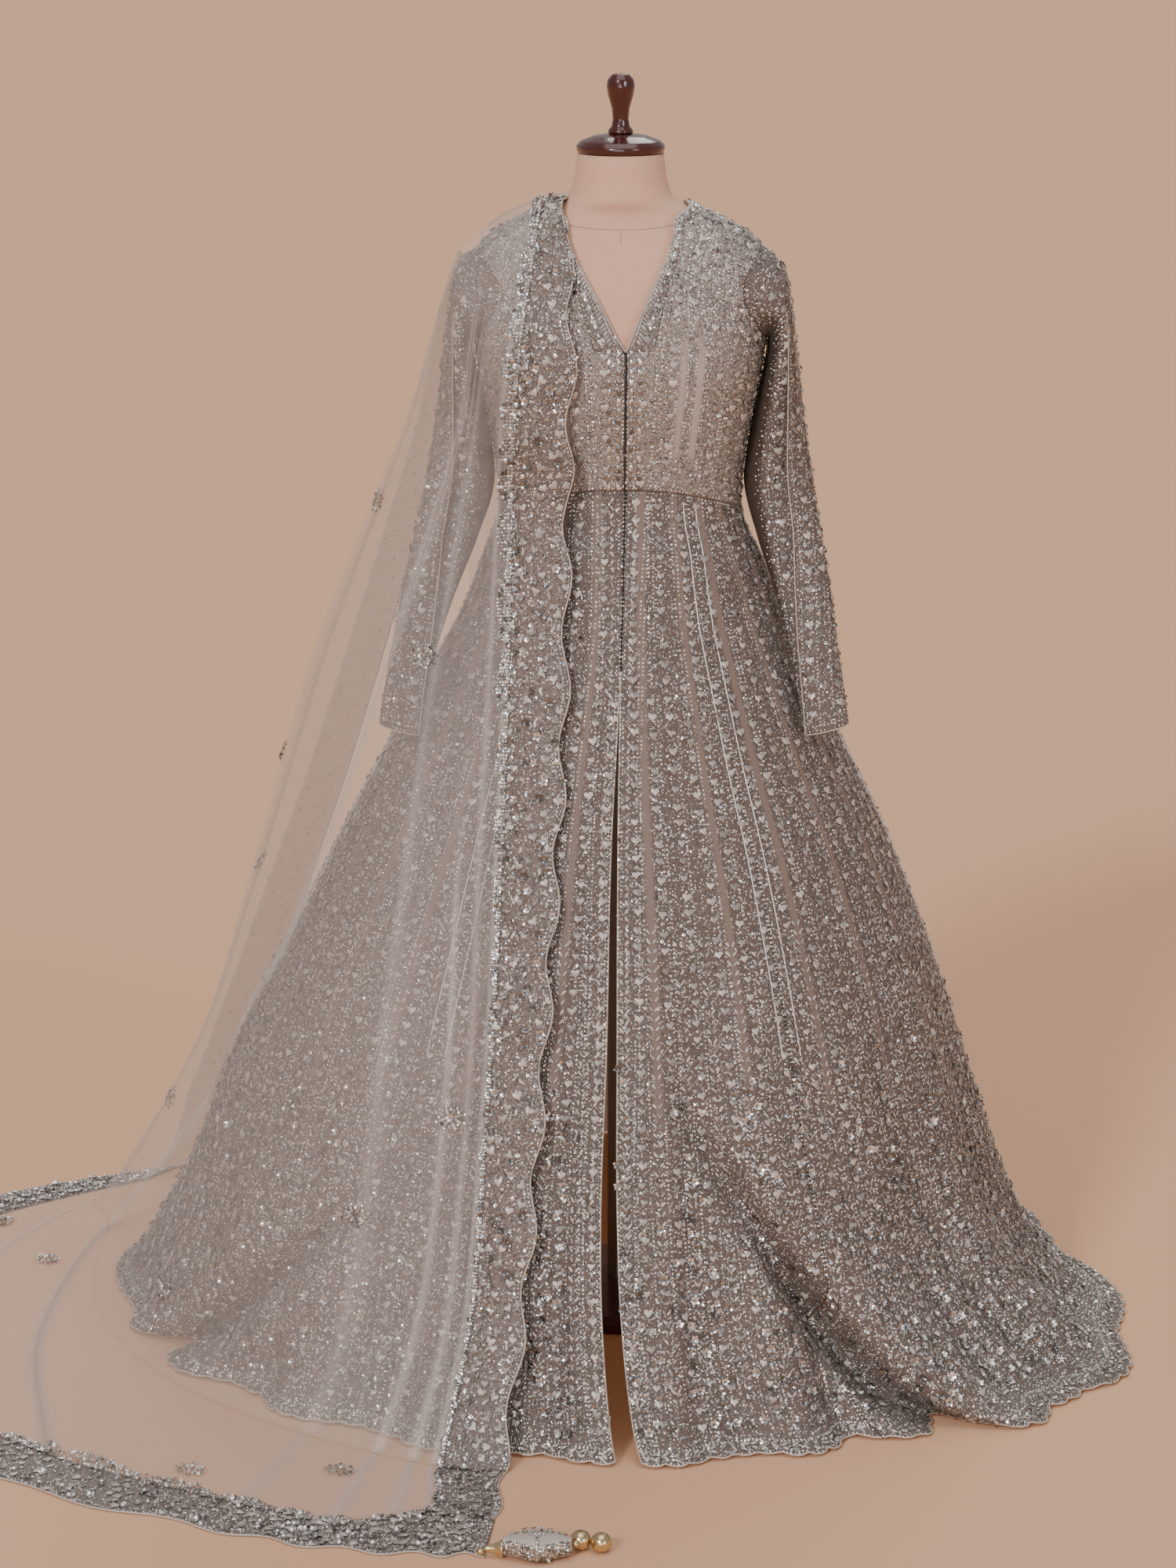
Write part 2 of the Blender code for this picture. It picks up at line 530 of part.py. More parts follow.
def skirt_point(angle, along, out=0.0):
    """The outside of the skirt at an angle from the wearer's left, and a place from waist to hem."""
    angle = turned(angle)
    c, s = math.cos(math.radians(angle)), math.sin(math.radians(angle))
    leave = smooth(along / OVAL_END)
    square = BODY_SQUARE + (1 - BODY_SQUARE) * leave
    rise = (waist_height(angle) - WAIST_SIDE) * max(0.0, 1 - along / WAIST_RISE_END) ** 2
    height = read(SKIRT, HEIGHT, along) + rise
    side = read(SKIRT, LEFT if c > 0 else RIGHT, along)
    deep = read(SKIRT, FRONT if s < 0 else BACK, along)
    at_seam = max(0.0, 1 - along / WAIST_MEET_END)
    side += (read(BODY, 1, height) - side) * at_seam
    deep += (read(BODY, 2 if s < 0 else 3, height) - deep) * at_seam
    x = side * math.copysign(abs(c) ** square, c)
    y = deep * math.copysign(abs(s) ** square, s)
    radius = math.hypot(x, y)
    low_side = read(SKIRT, LEFT if c > 0 else RIGHT, 1)
    hem = math.hypot(low_side * c, read(SKIRT, FRONT if s < 0 else BACK, 1) * s)
    more = (read(HEM, 1, angle) - hem) * smooth((along - HEM_FROM) / (1 - HEM_FROM)) ** HEM_POWER
    more += folds_at(angle, along) + out + max(0.0, along - 1) * HEM_FLARE
    return np.array((x * (1 + more / radius), y * (1 + more / radius), height))


def front_angle(column, along):
    """The angle of one of the skirt's two front edges."""
    half = read(SKIRT, LEFT, along)
    square = BODY_SQUARE + (1 - BODY_SQUARE) * smooth(along / 0.15)
    return angle_of(read(SLIT, column, along), half, square)


def kali(first, last, front_edge=0):
    """A skirt panel between two angles. front_edge is 1 where its first edge is a front edge, -1 its last."""
    def at(u, v):
        a = front_angle(2, v) if front_edge > 0 else first
        b = front_angle(1, v) if front_edge < 0 else last
        return skirt_point(a + (b - a) * u, v)
    return at


def scallops(first, last):
    """How far the hem's edge is drawn back between two angles, 0 at the middle of a scallop."""
    def at(u):
        phase = (first + (last - first) * u) / 360 * SCALLOPS % 1.0
        return -SCALLOP_DEPTH * (1 - math.sin(math.pi * phase) ** 0.7)
    return at


KALI_NAMES = ("kali_front_right", "kali_front_left", "kali_left_1", "kali_left_2", "kali_left_3",
              "kali_left_4", "kali_back_left", "kali_back_right", "kali_right_4", "kali_right_3",
              "kali_right_2", "kali_right_1")


def skirt():
    step = 360 / KALIS
    trim = math.degrees(SEAM / 2 / WAIST_RADIUS)
    columns = [j / KALI_COLUMNS for j in range(KALI_COLUMNS + 1)]
    for i, name in enumerate(KALI_NAMES):
        first = -90 + (i - 1) * step
        edge = {0: -1, 1: 1}.get(i, 0)
        surface = kali(first + trim, first + step - trim, edge)
        hem = scallops(first, first + step)
        slab(name, surface, columns, SKIRT.rows[:, 0], WALL, GOWN, CUTS_PER_COLUMN, hem)


def sleeve_point(side, angle, along):
    """The outside of a sleeve. angle 0 is outermost, -90 the front and 180 the inner side."""
    row = [read(SLEEVE, i, along) for i in range(1, CREASE + 1)]
    swing = RIGHT_SLEEVE_SWING * smooth((along - 0.35) / 0.65) if side < 0 else 0.0
    inner = np.array((row[IN_X - 1] + swing * 1.3, row[MID_Y - 1], row[IN_Z - 1]))
    outer = np.array((row[OUT_X - 1] + swing, row[MID_Y - 1], row[OUT_Z - 1]))
    c, s = math.cos(math.radians(angle)), math.sin(math.radians(angle))
    middle, reach = (inner + outer) / 2, (outer - inner) / 2
    return middle + reach * c + np.array((0, row[HALF_Y - 1] * s, 0))


def armhole():
    """The armhole edge of the wearer's left: angle round it from the shoulder tip, edge, way out, normal."""
    rings = []
    for turn, surface, edge in ((-180, bodice_front(1), 1), (180, bodice_back(), 0)):
        for v in BODICE_ALONG:
            if v < 0.5:
                continue
            p, n = surface(edge, v), normal_out(surface, edge, v)
            along = surface(edge, min(v + 0.02, 1.0)) - surface(edge, max(v - 0.02, 0.5))
            out = unit(np.cross(along, n))
            rings.append((turn * (1 - (v - 0.5) / 0.5), p, out if out @ (ARM_ROOT - p) > 0 else -out, n))
    rings.sort(key=lambda row: row[0])
    return rings


def sleeve(side, edge):
    """A tube from the armhole to the cuff, with a pressed crease down its front."""
    turns = [row[0] for row in edge]
    root = np.array([np.concatenate(row[1:]) for row in edge])

    def turn(u, v):
        start = -math.degrees(math.acos(2 * read(SLEEVE, CREASE_AT, v) - 1))
        return turned(start + 360 * u)

    def from_armhole(u):
        angle = turn(u, 0)
        values = np.array([np.interp(angle, turns, root[:, k]) for k in range(9)])
        return values[:3] + unit(values[3:6]) * ARMHOLE_SEAM, unit(values[6:])

    def at(u, v):
        point = sleeve_point(side, turn(u, v), v)
        deep = read(SLEEVE, CREASE, v)
        fold = smooth((u - FOLD_FROM) / (1 - FOLD_FROM))
        proud = smooth((PROUD_TO - u) / PROUD_TO)
        aside = CREASE_GAP * fold * (deep > CREASE_LEAST)
        point = point + np.array((aside, deep * fold - PROUD_SHARE * deep * proud, 0))
        join = smooth(v / ARMHOLE_END)
        return (point * join + from_armhole(u)[0] * (1 - join)) * (side, 1, 1)

    return at, lambda u: from_armhole(u)[1] * (side, 1, 1)


def sleeves():
    """Each sleeve is closed along its crease by a last column of its own."""
    edge = armhole()
    start = -math.degrees(math.acos(2 * read(SLEEVE, CREASE_AT, 0) - 1))
    columns = sorted({round((row[0] - start) % 360 / 360, 4) for row in edge} - {0.0, 1.0})
    columns = [0.0] + [u for u in columns if 0.02 < u < 0.97] + [CREASE_END]
    for name, side in (("sleeve_left", 1), ("sleeve_right", -1)):
        ring_slab(name, *sleeve(side, edge), columns, SLEEVE.rows[:, 0], WALL, GOWN, side)


def ring_slab(name, surface, root_normal, across, along, wall, look, side):
    """A tube with a wall, whose first and last columns are joined."""
    bm = bmesh.new()
    rows = []
    columns = len(across)
    for v in along:
        outer, inner = [], []
        for u in across:
            p = surface(u, v)
            before, after = surface(max(u - 0.03, 0), v), surface(min(u + 0.03, CREASE_END), v)
            above, below = surface(u, max(v - 0.02, 0)), surface(u, min(v + 0.02, 1))
            n = unit(np.cross(below - above, after - before)) * side if v > 0 else root_normal(u)
            outer.append(bm.verts.new(p))
            inner.append(bm.verts.new(p - n * wall))
        rows.append((outer, inner))
    for (outer_a, inner_a), (outer_b, inner_b) in zip(rows[:-1], rows[1:]):
        for i in range(columns):
            j = (i + 1) % columns
            bm.faces.new((outer_a[i], outer_a[j], outer_b[j], outer_b[i]))
            bm.faces.new((inner_a[j], inner_a[i], inner_b[i], inner_b[j]))
    for outer, inner in (rows[0], rows[-1]):
        for i in range(columns):
            j = (i + 1) % columns
            bm.faces.new((outer[i], outer[j], inner[j], inner[i]))
    return place(name, bm, look)


def round_profile(name, profile, look, steps=24):
    """A turned piece: radius and height pairs from bottom to top, ending on the axis."""
    bm = bmesh.new()
    verts = [bm.verts.new((r, 0, z)) for r, z in profile]
    edges = [bm.edges.new(pair) for pair in zip(verts[:-1], verts[1:])]
    bmesh.ops.spin(bm, geom=verts + edges, cent=(0, 0, 0), axis=(0, 0, 1), angle=2 * math.pi,
                   steps=steps, use_merge=True)
    bmesh.ops.remove_doubles(bm, verts=bm.verts, dist=1e-6)
    return place(name, bm, look)


def form_torso():
    """The dress form's padded body and neck, one closed solid."""
    turns = [360 * i / FORM_COLUMNS for i in range(FORM_COLUMNS)]
    rings = [[body_point(a, h, -inset) for a in turns] for h, inset in FORM_RINGS]
    for wide, deep, h in FORM_NECK:
        rings.append([(wide * math.cos(math.radians(a)), deep * math.sin(math.radians(a)), h) for a in turns])
    return loft("form_torso", rings, LINEN)


def form():
    form_torso()
    cap = NECK_TOP + SEAM
    round_profile("neck_cap", [(0, cap), (CAP_RADIUS - 0.002, cap), (CAP_RADIUS, cap + 0.004),
                               (CAP_RADIUS, cap + 0.009), (CAP_RADIUS - 0.006, cap + 0.015),
                               (0.034, cap + 0.021), (0.018, cap + 0.0235), (0, cap + 0.0235)], WOOD, 24)
    foot = cap + 0.0235 + SEAM
    top = FINIAL_TOP
    round_profile("finial", [(0, foot), (0.0155, foot), (0.0160, foot + 0.004), (0.0115, foot + 0.009),
                             (0.0100, foot + 0.018), (0.0115, foot + 0.032), (0.0160, foot + 0.047),
                             (0.0178, foot + 0.058), (0.0165, foot + 0.067), (0.0105, top - 0.0012),
                             (0, top)], WOOD, 16)
    round_profile("stand_pole", [(0, FOOT_HEIGHT + SEAM), (POLE_RADIUS, FOOT_HEIGHT + SEAM),
                                 (POLE_RADIUS, FORM_BOTTOM - SEAM), (0, FORM_BOTTOM - SEAM)], STEEL, 14)
    round_profile("stand_foot", [(0, 0), (FOOT_RADIUS, 0), (FOOT_RADIUS, 0.012), (FOOT_RADIUS - 0.012, 0.020),
                                 (0.040, FOOT_HEIGHT), (0, FOOT_HEIGHT)], WOOD, 24)


def drape_guides():
    """The dupatta's lines, as an array of line, place down it, and x, y, z."""
    lines = []
    for root, line in zip(DRAPE_SHOULDER, DRAPE_LINES.values()):
        heights = (*DRAPE_HEIGHTS, LOW, LOW, LOW)
        lines.append([root] + [(x, y, z) for (x, y), z in zip(line, heights)])
    return np.array(lines, float)


def smooth_table(values, at, steady=False):
    """Values read smoothly at a place between them. Steady keeps the curve from swinging past them."""
    last = len(values) - 1
    i = min(int(at), last - 1)
    t = at - i
    a, b = values[i], values[i + 1]
    before = (b - values[i - 1]) / 2 if i > 0 else b - a
    after = (values[i + 2] - a) / 2 if i + 2 <= last else b - a
    if steady:
        before = calmed(before, b - a, a - values[i - 1] if i > 0 else b - a)
        after = calmed(after, b - a, values[i + 2] - b if i + 2 <= last else b - a)
    return (a * (1 + 2 * t) * (1 - t) ** 2 + b * t * t * (3 - 2 * t)
            + before * t * (1 - t) ** 2 - after * t * t * (1 - t))


def calmed(slope, one, other):
    """A slope, no steeper than twice the lesser of the steps beside it, and none where they turn back."""
    most = 2 * np.minimum(abs(one), abs(other)) * (one * other > 0)
    return np.clip(slope, -most, most)


def along_of_height(height):
    return float(np.interp(-height, -SKIRT.rows[:, HEIGHT], SKIRT.rows[:, 0]))


def clear_of_body(p, room):
    """The point, moved outwards until it is clear of the bodice and the skirt."""
    x, y, z = p
    reach = math.hypot(x, y)
    if z >= WAIST_SIDE - WAIST_ROOM:
        surface = reach / body_share(p) ** (BODY_SQUARE / 2)
    else:
        along = along_of_height(z)
        side = read(SKIRT, LEFT if x > 0 else RIGHT, along)
        deep = read(SKIRT, FRONT if y < 0 else BACK, along)
        angle = math.degrees(math.atan2(y / deep, x / side))
        near = [skirt_point(angle + d, along) for d in NEAR_ANGLES]
        surface = max(math.hypot(q[0], q[1]) for q in near)
    lack = surface + room - reach
    if lack > 0:
        return np.array((x * (1 + lack / reach), y * (1 + lack / reach), z))
    return p


def body_share(p):
    """Below 1 inside the bodice's ring at that height, above 1 outside it."""
    half, deep = read(BODY, 1, p[2]), read(BODY, 2 if p[1] < 0 else 3, p[2])
    return max((abs(p[0]) / half) ** (2 / BODY_SQUARE) + (abs(p[1]) / deep) ** (2 / BODY_SQUARE), 1e-9)


def clear_of_sleeve(p, room):
    """The point, moved away from the sleeve at the wearer's right until it is clear of it."""
    x, y, z = p
    low = SLEEVE.rows[-1, IN_Z]
    if z < low - CUFF_ROOM or z > ARM_TOP:
        return p
    heights = (SLEEVE.rows[:, IN_Z] + SLEEVE.rows[:, OUT_Z]) / 2
    along = float(np.interp(-z, -heights, SLEEVE.rows[:, 0]))
    inner, outer = sleeve_point(-1, 180, along), sleeve_point(-1, 0, along)
    middle = (inner + outer) / 2
    deep = read(SLEEVE, HALF_Y, along) + read(SLEEVE, CREASE, along) * CREASE_SHARE + room
    half = abs(outer[0] - inner[0]) / 2 + room
    dx, dy = x + middle[0], y - middle[1]
    k = math.hypot(dx / half, dy / deep)
    if k >= 1:
        return p
    if dy > BEHIND_ARM * deep and dx < 0:
        return np.array((x + dx * (1 / k - 1), y + dy * (1 / k - 1), z))
    return np.array((x, middle[1] - deep * math.sqrt(max(0.0, 1 - (dx / half) ** 2)), z))


GUIDES = drape_guides()
DOWN = len(DRAPE_HEIGHTS) + 1  # the place on a line where it meets the floor
LAST = DOWN + 2  # and where it ends
EDGE_LENGTH = np.concatenate([[0], np.cumsum(np.linalg.norm(np.diff(GUIDES[0], axis=0), axis=1))])


def between(first, last, count):
    return np.linspace(first, last, count + 1)


class Dupatta:
    """The dupatta's surfaces, and its pieces, over a gown that it is kept clear of."""

    def __init__(self, gown):
        self.gown = gown

    def clear_of_shoulder(self, p, room):
        """The point, moved out on a ray from inside the shoulder until it is clear of the gown."""
        start = Vector((max(p[0], SHOULDER_INSIDE), 0.0, CHEST))
        reach = (Vector(p) - start).length
        for aside in RAYS:
            ray = (Vector(p) + Vector(aside) - start).normalized()
            hit = self.gown.ray_cast(start + ray * SHOULDER_REACH, -ray, SHOULDER_REACH)[0]
            if hit is not None and hit.z < NECK_POINT + NECK_ROOM:
                reach = max(reach, (hit - start).length + room)
        return np.array(start + (Vector(p) - start).normalized() * reach)

    def room(self, down):
        """How far off the gown the outside lies, from the top of the shoulder down."""
        return SHOULDER_CLEAR + (DRAPE_CLEAR - SHOULDER_CLEAR) * smooth(down / 0.6)

    def point(self, across, down):
        """The outside of the cloth: across its lines from 0 to 7, down them from 0 to LAST."""
        lines = [smooth_table(line, down) for line in GUIDES]
        turns = [(math.atan2(y, x) - 2 * math.pi) % (-2 * math.pi) for x, y, z in lines]
        rings = [(turn, math.hypot(x, y), z) for turn, (x, y, z) in zip(turns, lines)]
        turn, reach, height = smooth_table(np.array(rings), across, steady=True)
        p = np.array((reach * math.cos(turn), reach * math.sin(turn), height))
        if down >= DOWN:
            p[2] = LOW
            return clear_of_body(p, DRAPE_CLEAR)
        hang = smooth(down / 2.0) * smooth((DOWN - down) / 1.5)
        wave = math.sin(2 * math.pi * DRAPE_FOLDS * across / (len(GUIDES) - 1))
        outwards = unit(np.array((p[0], p[1] * (1 if across < 4.5 else 0.4), 0)))
        inside = smooth(across / 0.8) * smooth((7 - across) / 0.8)
        p = p + outwards * (wave * DRAPE_FOLD_DEPTH * hang * inside)
        p[2] = max(p[2], LOW)
        if p[2] > CHEST:
            return self.clear_of_shoulder(p, self.room(down))
        return clear_of_sleeve(clear_of_body(p, DRAPE_CLEAR), DRAPE_CLEAR)

    def edge(self, across, down):
        """The same, with the scallops of its border along its first line."""
        p = self.point(across, down)
        length = float(np.interp(down, range(LAST + 1), EDGE_LENGTH))
        wave = 0.5 + 0.5 * math.cos(2 * math.pi * (length - SCALLOP_START) / BIG_SCALLOP)
        inner = self.point(1.0, down)
        start = smooth(down / SCALLOPS_FROM)
        return p + unit(inner - p) * (BIG_SCALLOP_DEPTH * 2 * wave * max(0.0, 1 - across) * start)

    def end(self, across, out):
        """The border at the end of the cloth, on the floor: out goes from its inner to its scalloped edge."""
        inner = self.point(across, LAST)
        outer = np.array((*smooth_table(np.array(END_EDGE), across), LOW))
        way = unit(outer - inner)
        wave = 0.5 - 0.5 * math.cos(2 * math.pi * across * END_SPACING / BIG_SCALLOP)
        return inner + way * SEAM + (outer - inner - way * (SEAM + BIG_SCALLOP_DEPTH * 2 * wave)) * out

    def behind(self, across, down):
        """The cloth behind the shoulder, hanging down the back of the gown."""
        root = smooth_table(GUIDES[:, 0], across)
        y, z = smooth_table(np.array(BACK_FALL), down)
        low = smooth((down - 2) / 4)
        wave = math.sin(2 * math.pi * BACK_FOLDS * across / BACK_LINES)
        x = root[0] + BACK_SHIFT * low * (1 - BACK_DRAW_IN * across / BACK_LINES)
        z += (root[2] - BACK_FALL[0][1]) * smooth((2 - down) / 2)
        p = np.array((x, y + wave * DRAPE_FOLD_DEPTH * low, z))
        if z > CHEST:
            return self.clear_of_shoulder(p, self.room(down))
        return clear_of_body(p, DRAPE_CLEAR)

    def build(self):
        whole = (len(GUIDES) - 1, LAST)
        for name, across in DRAPE_ACROSS.items():
            surface = self.edge if name == "border" else self.point
            wall, look = (NET_WALL, NET) if "net" in name else (BORDER_WALL, GOWN)
            sheet_slab("dupatta_" + name, surface, across, DRAPE_DOWN, whole, wall, look)
            floor = between(DOWN, LAST, FLOOR_ROWS)
            sheet_slab("dupatta_" + name + "_floor", surface, across, floor, whole, wall, look)
        ends = sorted({value for across in DRAPE_ACROSS.values() for value in across})
        sheet_slab("dupatta_border_end", self.end, ends, (0, 0.5, 1), (whole[0], 1), BORDER_WALL, GOWN,
                   END_CUTS)
        last = len(BACK_FALL) - 1
        low = last - BACK_BORDER
        across = between(0, BACK_LINES, BACK_COLUMNS)
        ends = (BACK_LINES, last)
        sheet_slab("dupatta_net_back", self.behind, across, between(0, low, 10), ends, NET_WALL, NET)
        sheet_slab("dupatta_border_back", self.behind, across, between(low, last, 2), ends, BORDER_WALL, GOWN)


def sheet_slab(name, surface, across, down, ends, wall, look, edge_cuts=0):
    """A slab of the dupatta, its wall inwards from surface(across, down), which goes no further than ends."""
    widest, last = ends
    columns, rows = len(across) - 1, len(down) - 1
    bm = bmesh.new()
    bmesh.ops.create_grid(bm, x_segments=columns, y_segments=rows, size=0.5)
    if edge_cuts:
        low = [e for e in bm.edges if all(v.co.y > 0.5 - 1e-6 for v in e.verts)]
        bmesh.ops.subdivide_edges(bm, edges=low, cuts=edge_cuts)
    for v in bm.verts:
        v.co.x = float(np.interp((v.co.x + 0.5) * columns, range(columns + 1), across))
        v.co.y = float(np.interp((v.co.y + 0.5) * rows, range(rows + 1), down))
    lower = bmesh.ops.extrude_face_region(bm, geom=bm.faces[:])["geom"]
    for v in lower:
        if isinstance(v, bmesh.types.BMVert):
            v.co.z = -1.0
    step = 0.02
    for v in bm.verts:
        u, w, deep = v.co
        p = surface(u, w)
        a = surface(min(u + step, widest), w) - surface(max(u - step, 0), w)
        b = surface(u, min(w + step, last)) - surface(u, max(w - step, 0))
        n = unit(np.cross(a, b))
        p = p + unit(a) * (HALF_SEAM * edge_sign(u, across)) + unit(b) * (HALF_SEAM * edge_sign(w, down))
        v.co = p + n * (deep * wall * (1 if n @ away_from_gown(p) > 0 else -1))
    return place(name, bm, look)


def edge_sign(at, divisions):
    """1 at the first of the divisions, -1 at the last and 0 between them."""
    return int(at < divisions[0] + 1e-5) - int(at > divisions[-1] - 1e-5)


def away_from_gown(p):
    """Outwards and up, from any place on the dupatta."""
    if p[2] < LOW + 1e-4:
        return np.array((0.0, 0.0, 1.0))
    if p[2] > CHEST:
        return np.array((p[0] / 2, p[1], p[2] - CHEST + 0.02))
    return unit(np.array((p[0] + 0.05, p[1], 0.0))) + (0, 0, 0.6)


def loft(name, rings, look):
    """A closed solid through rings of equal counts, its ends closed flat."""
    bm = bmesh.new()
    loops = [[bm.verts.new(p) for p in ring] for ring in rings]
    count = len(loops[0])
    for a, b in zip(loops[:-1], loops[1:]):
        for i in range(count):
            j = (i + 1) % count
            bm.faces.new((a[i], a[j], b[j], b[i]))
    bm.faces.new(loops[0])
    bm.faces.new(loops[-1])
    return place(name, bm, look)


def along_x(name, start, profile, height, aside=0.0, count=12):
    """A turned piece whose axis runs along +X over the floor: distance and radius pairs."""
    rings = []
    for d, r in profile:
        rings.append([(start + d, TASSEL_Y + aside + r * math.cos(2 * math.pi * i / count),
                       height + r * math.sin(2 * math.pi * i / count)) for i in range(count)])
    return loft(name, rings, GOLD)


def ball_profile(radius, steps=8):
    """Distance and radius pairs of a ball with small flats at its ends."""
    turns = [math.pi * (0.06 + 0.88 * i / steps) for i in range(steps + 1)]
    start = radius * math.cos(turns[0])
    return [(start - radius * math.cos(t), radius * math.sin(t)) for t in turns]


def puff():
    """Rings of the tassel's stuffed diamond, as across, wide and thick."""
    rings = []
    for k in range(PUFF_STEPS + 1):
        t = -1 + 2 * k / PUFF_STEPS
        wide = PUFF_WIDTH / 2 * (1 - abs(t)) ** 0.85 + PUFF_TIP * (1 - (1 - abs(t)) ** 3)
        thick = PUFF_THICK / 2 * (1 - t * t) ** 0.5 + 0.7 * PUFF_TIP * abs(t)
        rings.append((PUFF_LENGTH * (t + 1) / 2, wide, thick))
    return rings


def tassel():
    """The corner tassel on the floor: bead, cone, stuffed diamond, bead and two balls."""
    at = TASSEL_START
    bead, ball = ball_profile(BEAD_RADIUS), ball_profile(BALL_RADIUS)
    axis = CONE_RADIUS + FLOOR_CLEAR
    along_x("tassel_bead_1", at, bead, LOW + SEAM + BEAD_RADIUS)
    at += bead[-1][0] + SEAM
    along_x("tassel_cone", at, [(0, 0.0035), (0.004, 0.0042), (CONE_LENGTH * 0.7, CONE_RADIUS * 0.85),
                                (CONE_LENGTH, CONE_RADIUS)], axis)
    at += CONE_LENGTH + SEAM
    turns = [2 * math.pi * i / PUFF_COLUMNS for i in range(PUFF_COLUMNS)]
    axis = PUFF_THICK / 2 + PUFF_TIP * 0.2 + FLOOR_CLEAR
    loft("tassel_puff", [[(at + x, TASSEL_Y + wide * math.cos(t), axis + thick * math.sin(t)) for t in turns]
                         for x, wide, thick in puff()], GOWN)
    at += PUFF_LENGTH + SEAM
    along_x("tassel_bead_2", at, bead, axis, 0.004)
    along_x("tassel_ball_1", at - 0.0020, ball, BALL_RADIUS + FLOOR_CLEAR, 0.0196)
    along_x("tassel_ball_2", at + 0.0217, ball, BALL_RADIUS + FLOOR_CLEAR, 0.0132)


def gown_tree():
    """The faces of the form, the bodice and the sleeves, to keep the dupatta clear of them."""
    bm = bmesh.new()
    for worn in bpy.data.objects:
        if worn.name.startswith(("bodice", "neckband", "sleeve", "form")):
            bm.from_mesh(worn.data)
    bmesh.ops.triangulate(bm, faces=bm.faces)
    tree = BVHTree.FromBMesh(bm)
    bm.free()
    return tree


def main():
    clear_scene()
    form()
    bodice()
    sleeves()
    Dupatta(gown_tree()).build()
    skirt()
    tassel()


main()
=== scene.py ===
"""An embroidered net gown with its dupatta on a limbless dress form, dressed over its fixed frame.

Metres, +Z up, the front towards -Y, the wearer's left towards +X. Each cut piece of cloth is a fine grid
bent onto the same surface as its solid, and its embroidery is laid in the cloth's own coordinates.
"""

from __future__ import annotations

import json
import logging
import math
from dataclasses import dataclass, field
from enum import Enum
from typing import Callable, Sequence

import bmesh
import bpy
import numpy as np
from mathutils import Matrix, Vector
from mathutils.bvhtree import BVHTree

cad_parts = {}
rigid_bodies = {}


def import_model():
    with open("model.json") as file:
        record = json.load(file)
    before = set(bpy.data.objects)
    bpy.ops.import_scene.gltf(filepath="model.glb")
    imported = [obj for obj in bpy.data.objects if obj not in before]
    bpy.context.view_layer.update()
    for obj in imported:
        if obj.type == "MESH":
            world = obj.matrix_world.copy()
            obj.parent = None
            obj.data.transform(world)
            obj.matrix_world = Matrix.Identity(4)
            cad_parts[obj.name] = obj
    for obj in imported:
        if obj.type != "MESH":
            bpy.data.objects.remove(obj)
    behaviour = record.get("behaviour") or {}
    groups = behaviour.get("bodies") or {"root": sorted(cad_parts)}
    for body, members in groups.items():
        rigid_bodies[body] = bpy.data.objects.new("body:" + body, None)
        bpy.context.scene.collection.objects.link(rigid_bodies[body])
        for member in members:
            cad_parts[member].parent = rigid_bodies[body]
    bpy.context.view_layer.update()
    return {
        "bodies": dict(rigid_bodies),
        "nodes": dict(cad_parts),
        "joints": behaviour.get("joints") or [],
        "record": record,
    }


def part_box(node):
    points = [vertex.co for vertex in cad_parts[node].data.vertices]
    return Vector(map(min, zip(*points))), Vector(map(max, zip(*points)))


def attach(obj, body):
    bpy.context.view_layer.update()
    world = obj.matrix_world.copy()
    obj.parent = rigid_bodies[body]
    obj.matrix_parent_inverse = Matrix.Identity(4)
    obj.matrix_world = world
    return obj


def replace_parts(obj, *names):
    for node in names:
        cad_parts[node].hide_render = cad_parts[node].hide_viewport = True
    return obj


logging.basicConfig(level=logging.INFO, format="%(name)s: %(message)s")
log = logging.getLogger("gown")

Array = np.ndarray
Surface = Callable[[Array, Array], Array]
Line = Callable[[Array], Array]
Span = tuple[float, float]
Colour = tuple[float, float, float]
Tree = bpy.types.NodeTree
Node = bpy.types.Node
Socket = bpy.types.NodeSocket
Material = bpy.types.Material
Piece = bpy.types.Object

WALL = 0.0020  # embroidered net with its lining
NET_WALL = 0.0011  # the dupatta's bare net
BORDER_WALL = 0.0018  # the dupatta's embroidered border
BAND_WALL = 0.0012  # the neck band
SEAM = 0.0003  # between pieces that are sewn together
HALF_SEAM = 0.0004  # drawn in at each edge of the dupatta's pieces
WAIST_SEAM = 0.0006  # between the bodice and the skirt
LYING = 0.0004  # between a band and the panel that it lies on
MERGE = 1e-6  # corners closer than this are one
NEARLY = 1e-4  # a point less than this above the floor's layer lies on the floor
STEP = 1e-3  # to either side of a place, to read a direction there
WIDE_STEP = 0.02  # the same where a surface is sharply curved
ROOT = "root"


class Table:
    """Rows of numbers, each column read as a smooth curve over the first."""

    def __init__(self, rows: Sequence[Sequence[float]] | Array) -> None:
        """Keeps the rows, and the slope of each column.

        Args:
            rows: the rows, in rising order of their first number.
        """
        self.rows: Array = np.array(rows, float)
        self.slopes: Array = np.gradient(self.rows, self.rows[:, 0], axis=0)

    def at(self, column: int, where: Array | float) -> Array:
        """One column's curve.

        Args:
            column: which column is read.
            where: values of the first column.

        Returns:
            The curve's height at each of them.
        """
        x, y, m = self.rows[:, 0], self.rows[:, column], self.slopes[:, column]
        w = np.clip(where, x[0], x[-1])
        i = np.clip(np.searchsorted(x, w, side="right") - 1, 0, len(x) - 2)
        step = x[i + 1] - x[i]
        t = (w - x[i]) / step
        rise = (1 + 2 * t) * (1 - t) ** 2 * y[i] + t * t * (3 - 2 * t) * y[i + 1]
        return rise + step * (t * (1 - t) ** 2 * m[i] - t * t * (1 - t) * m[i + 1])


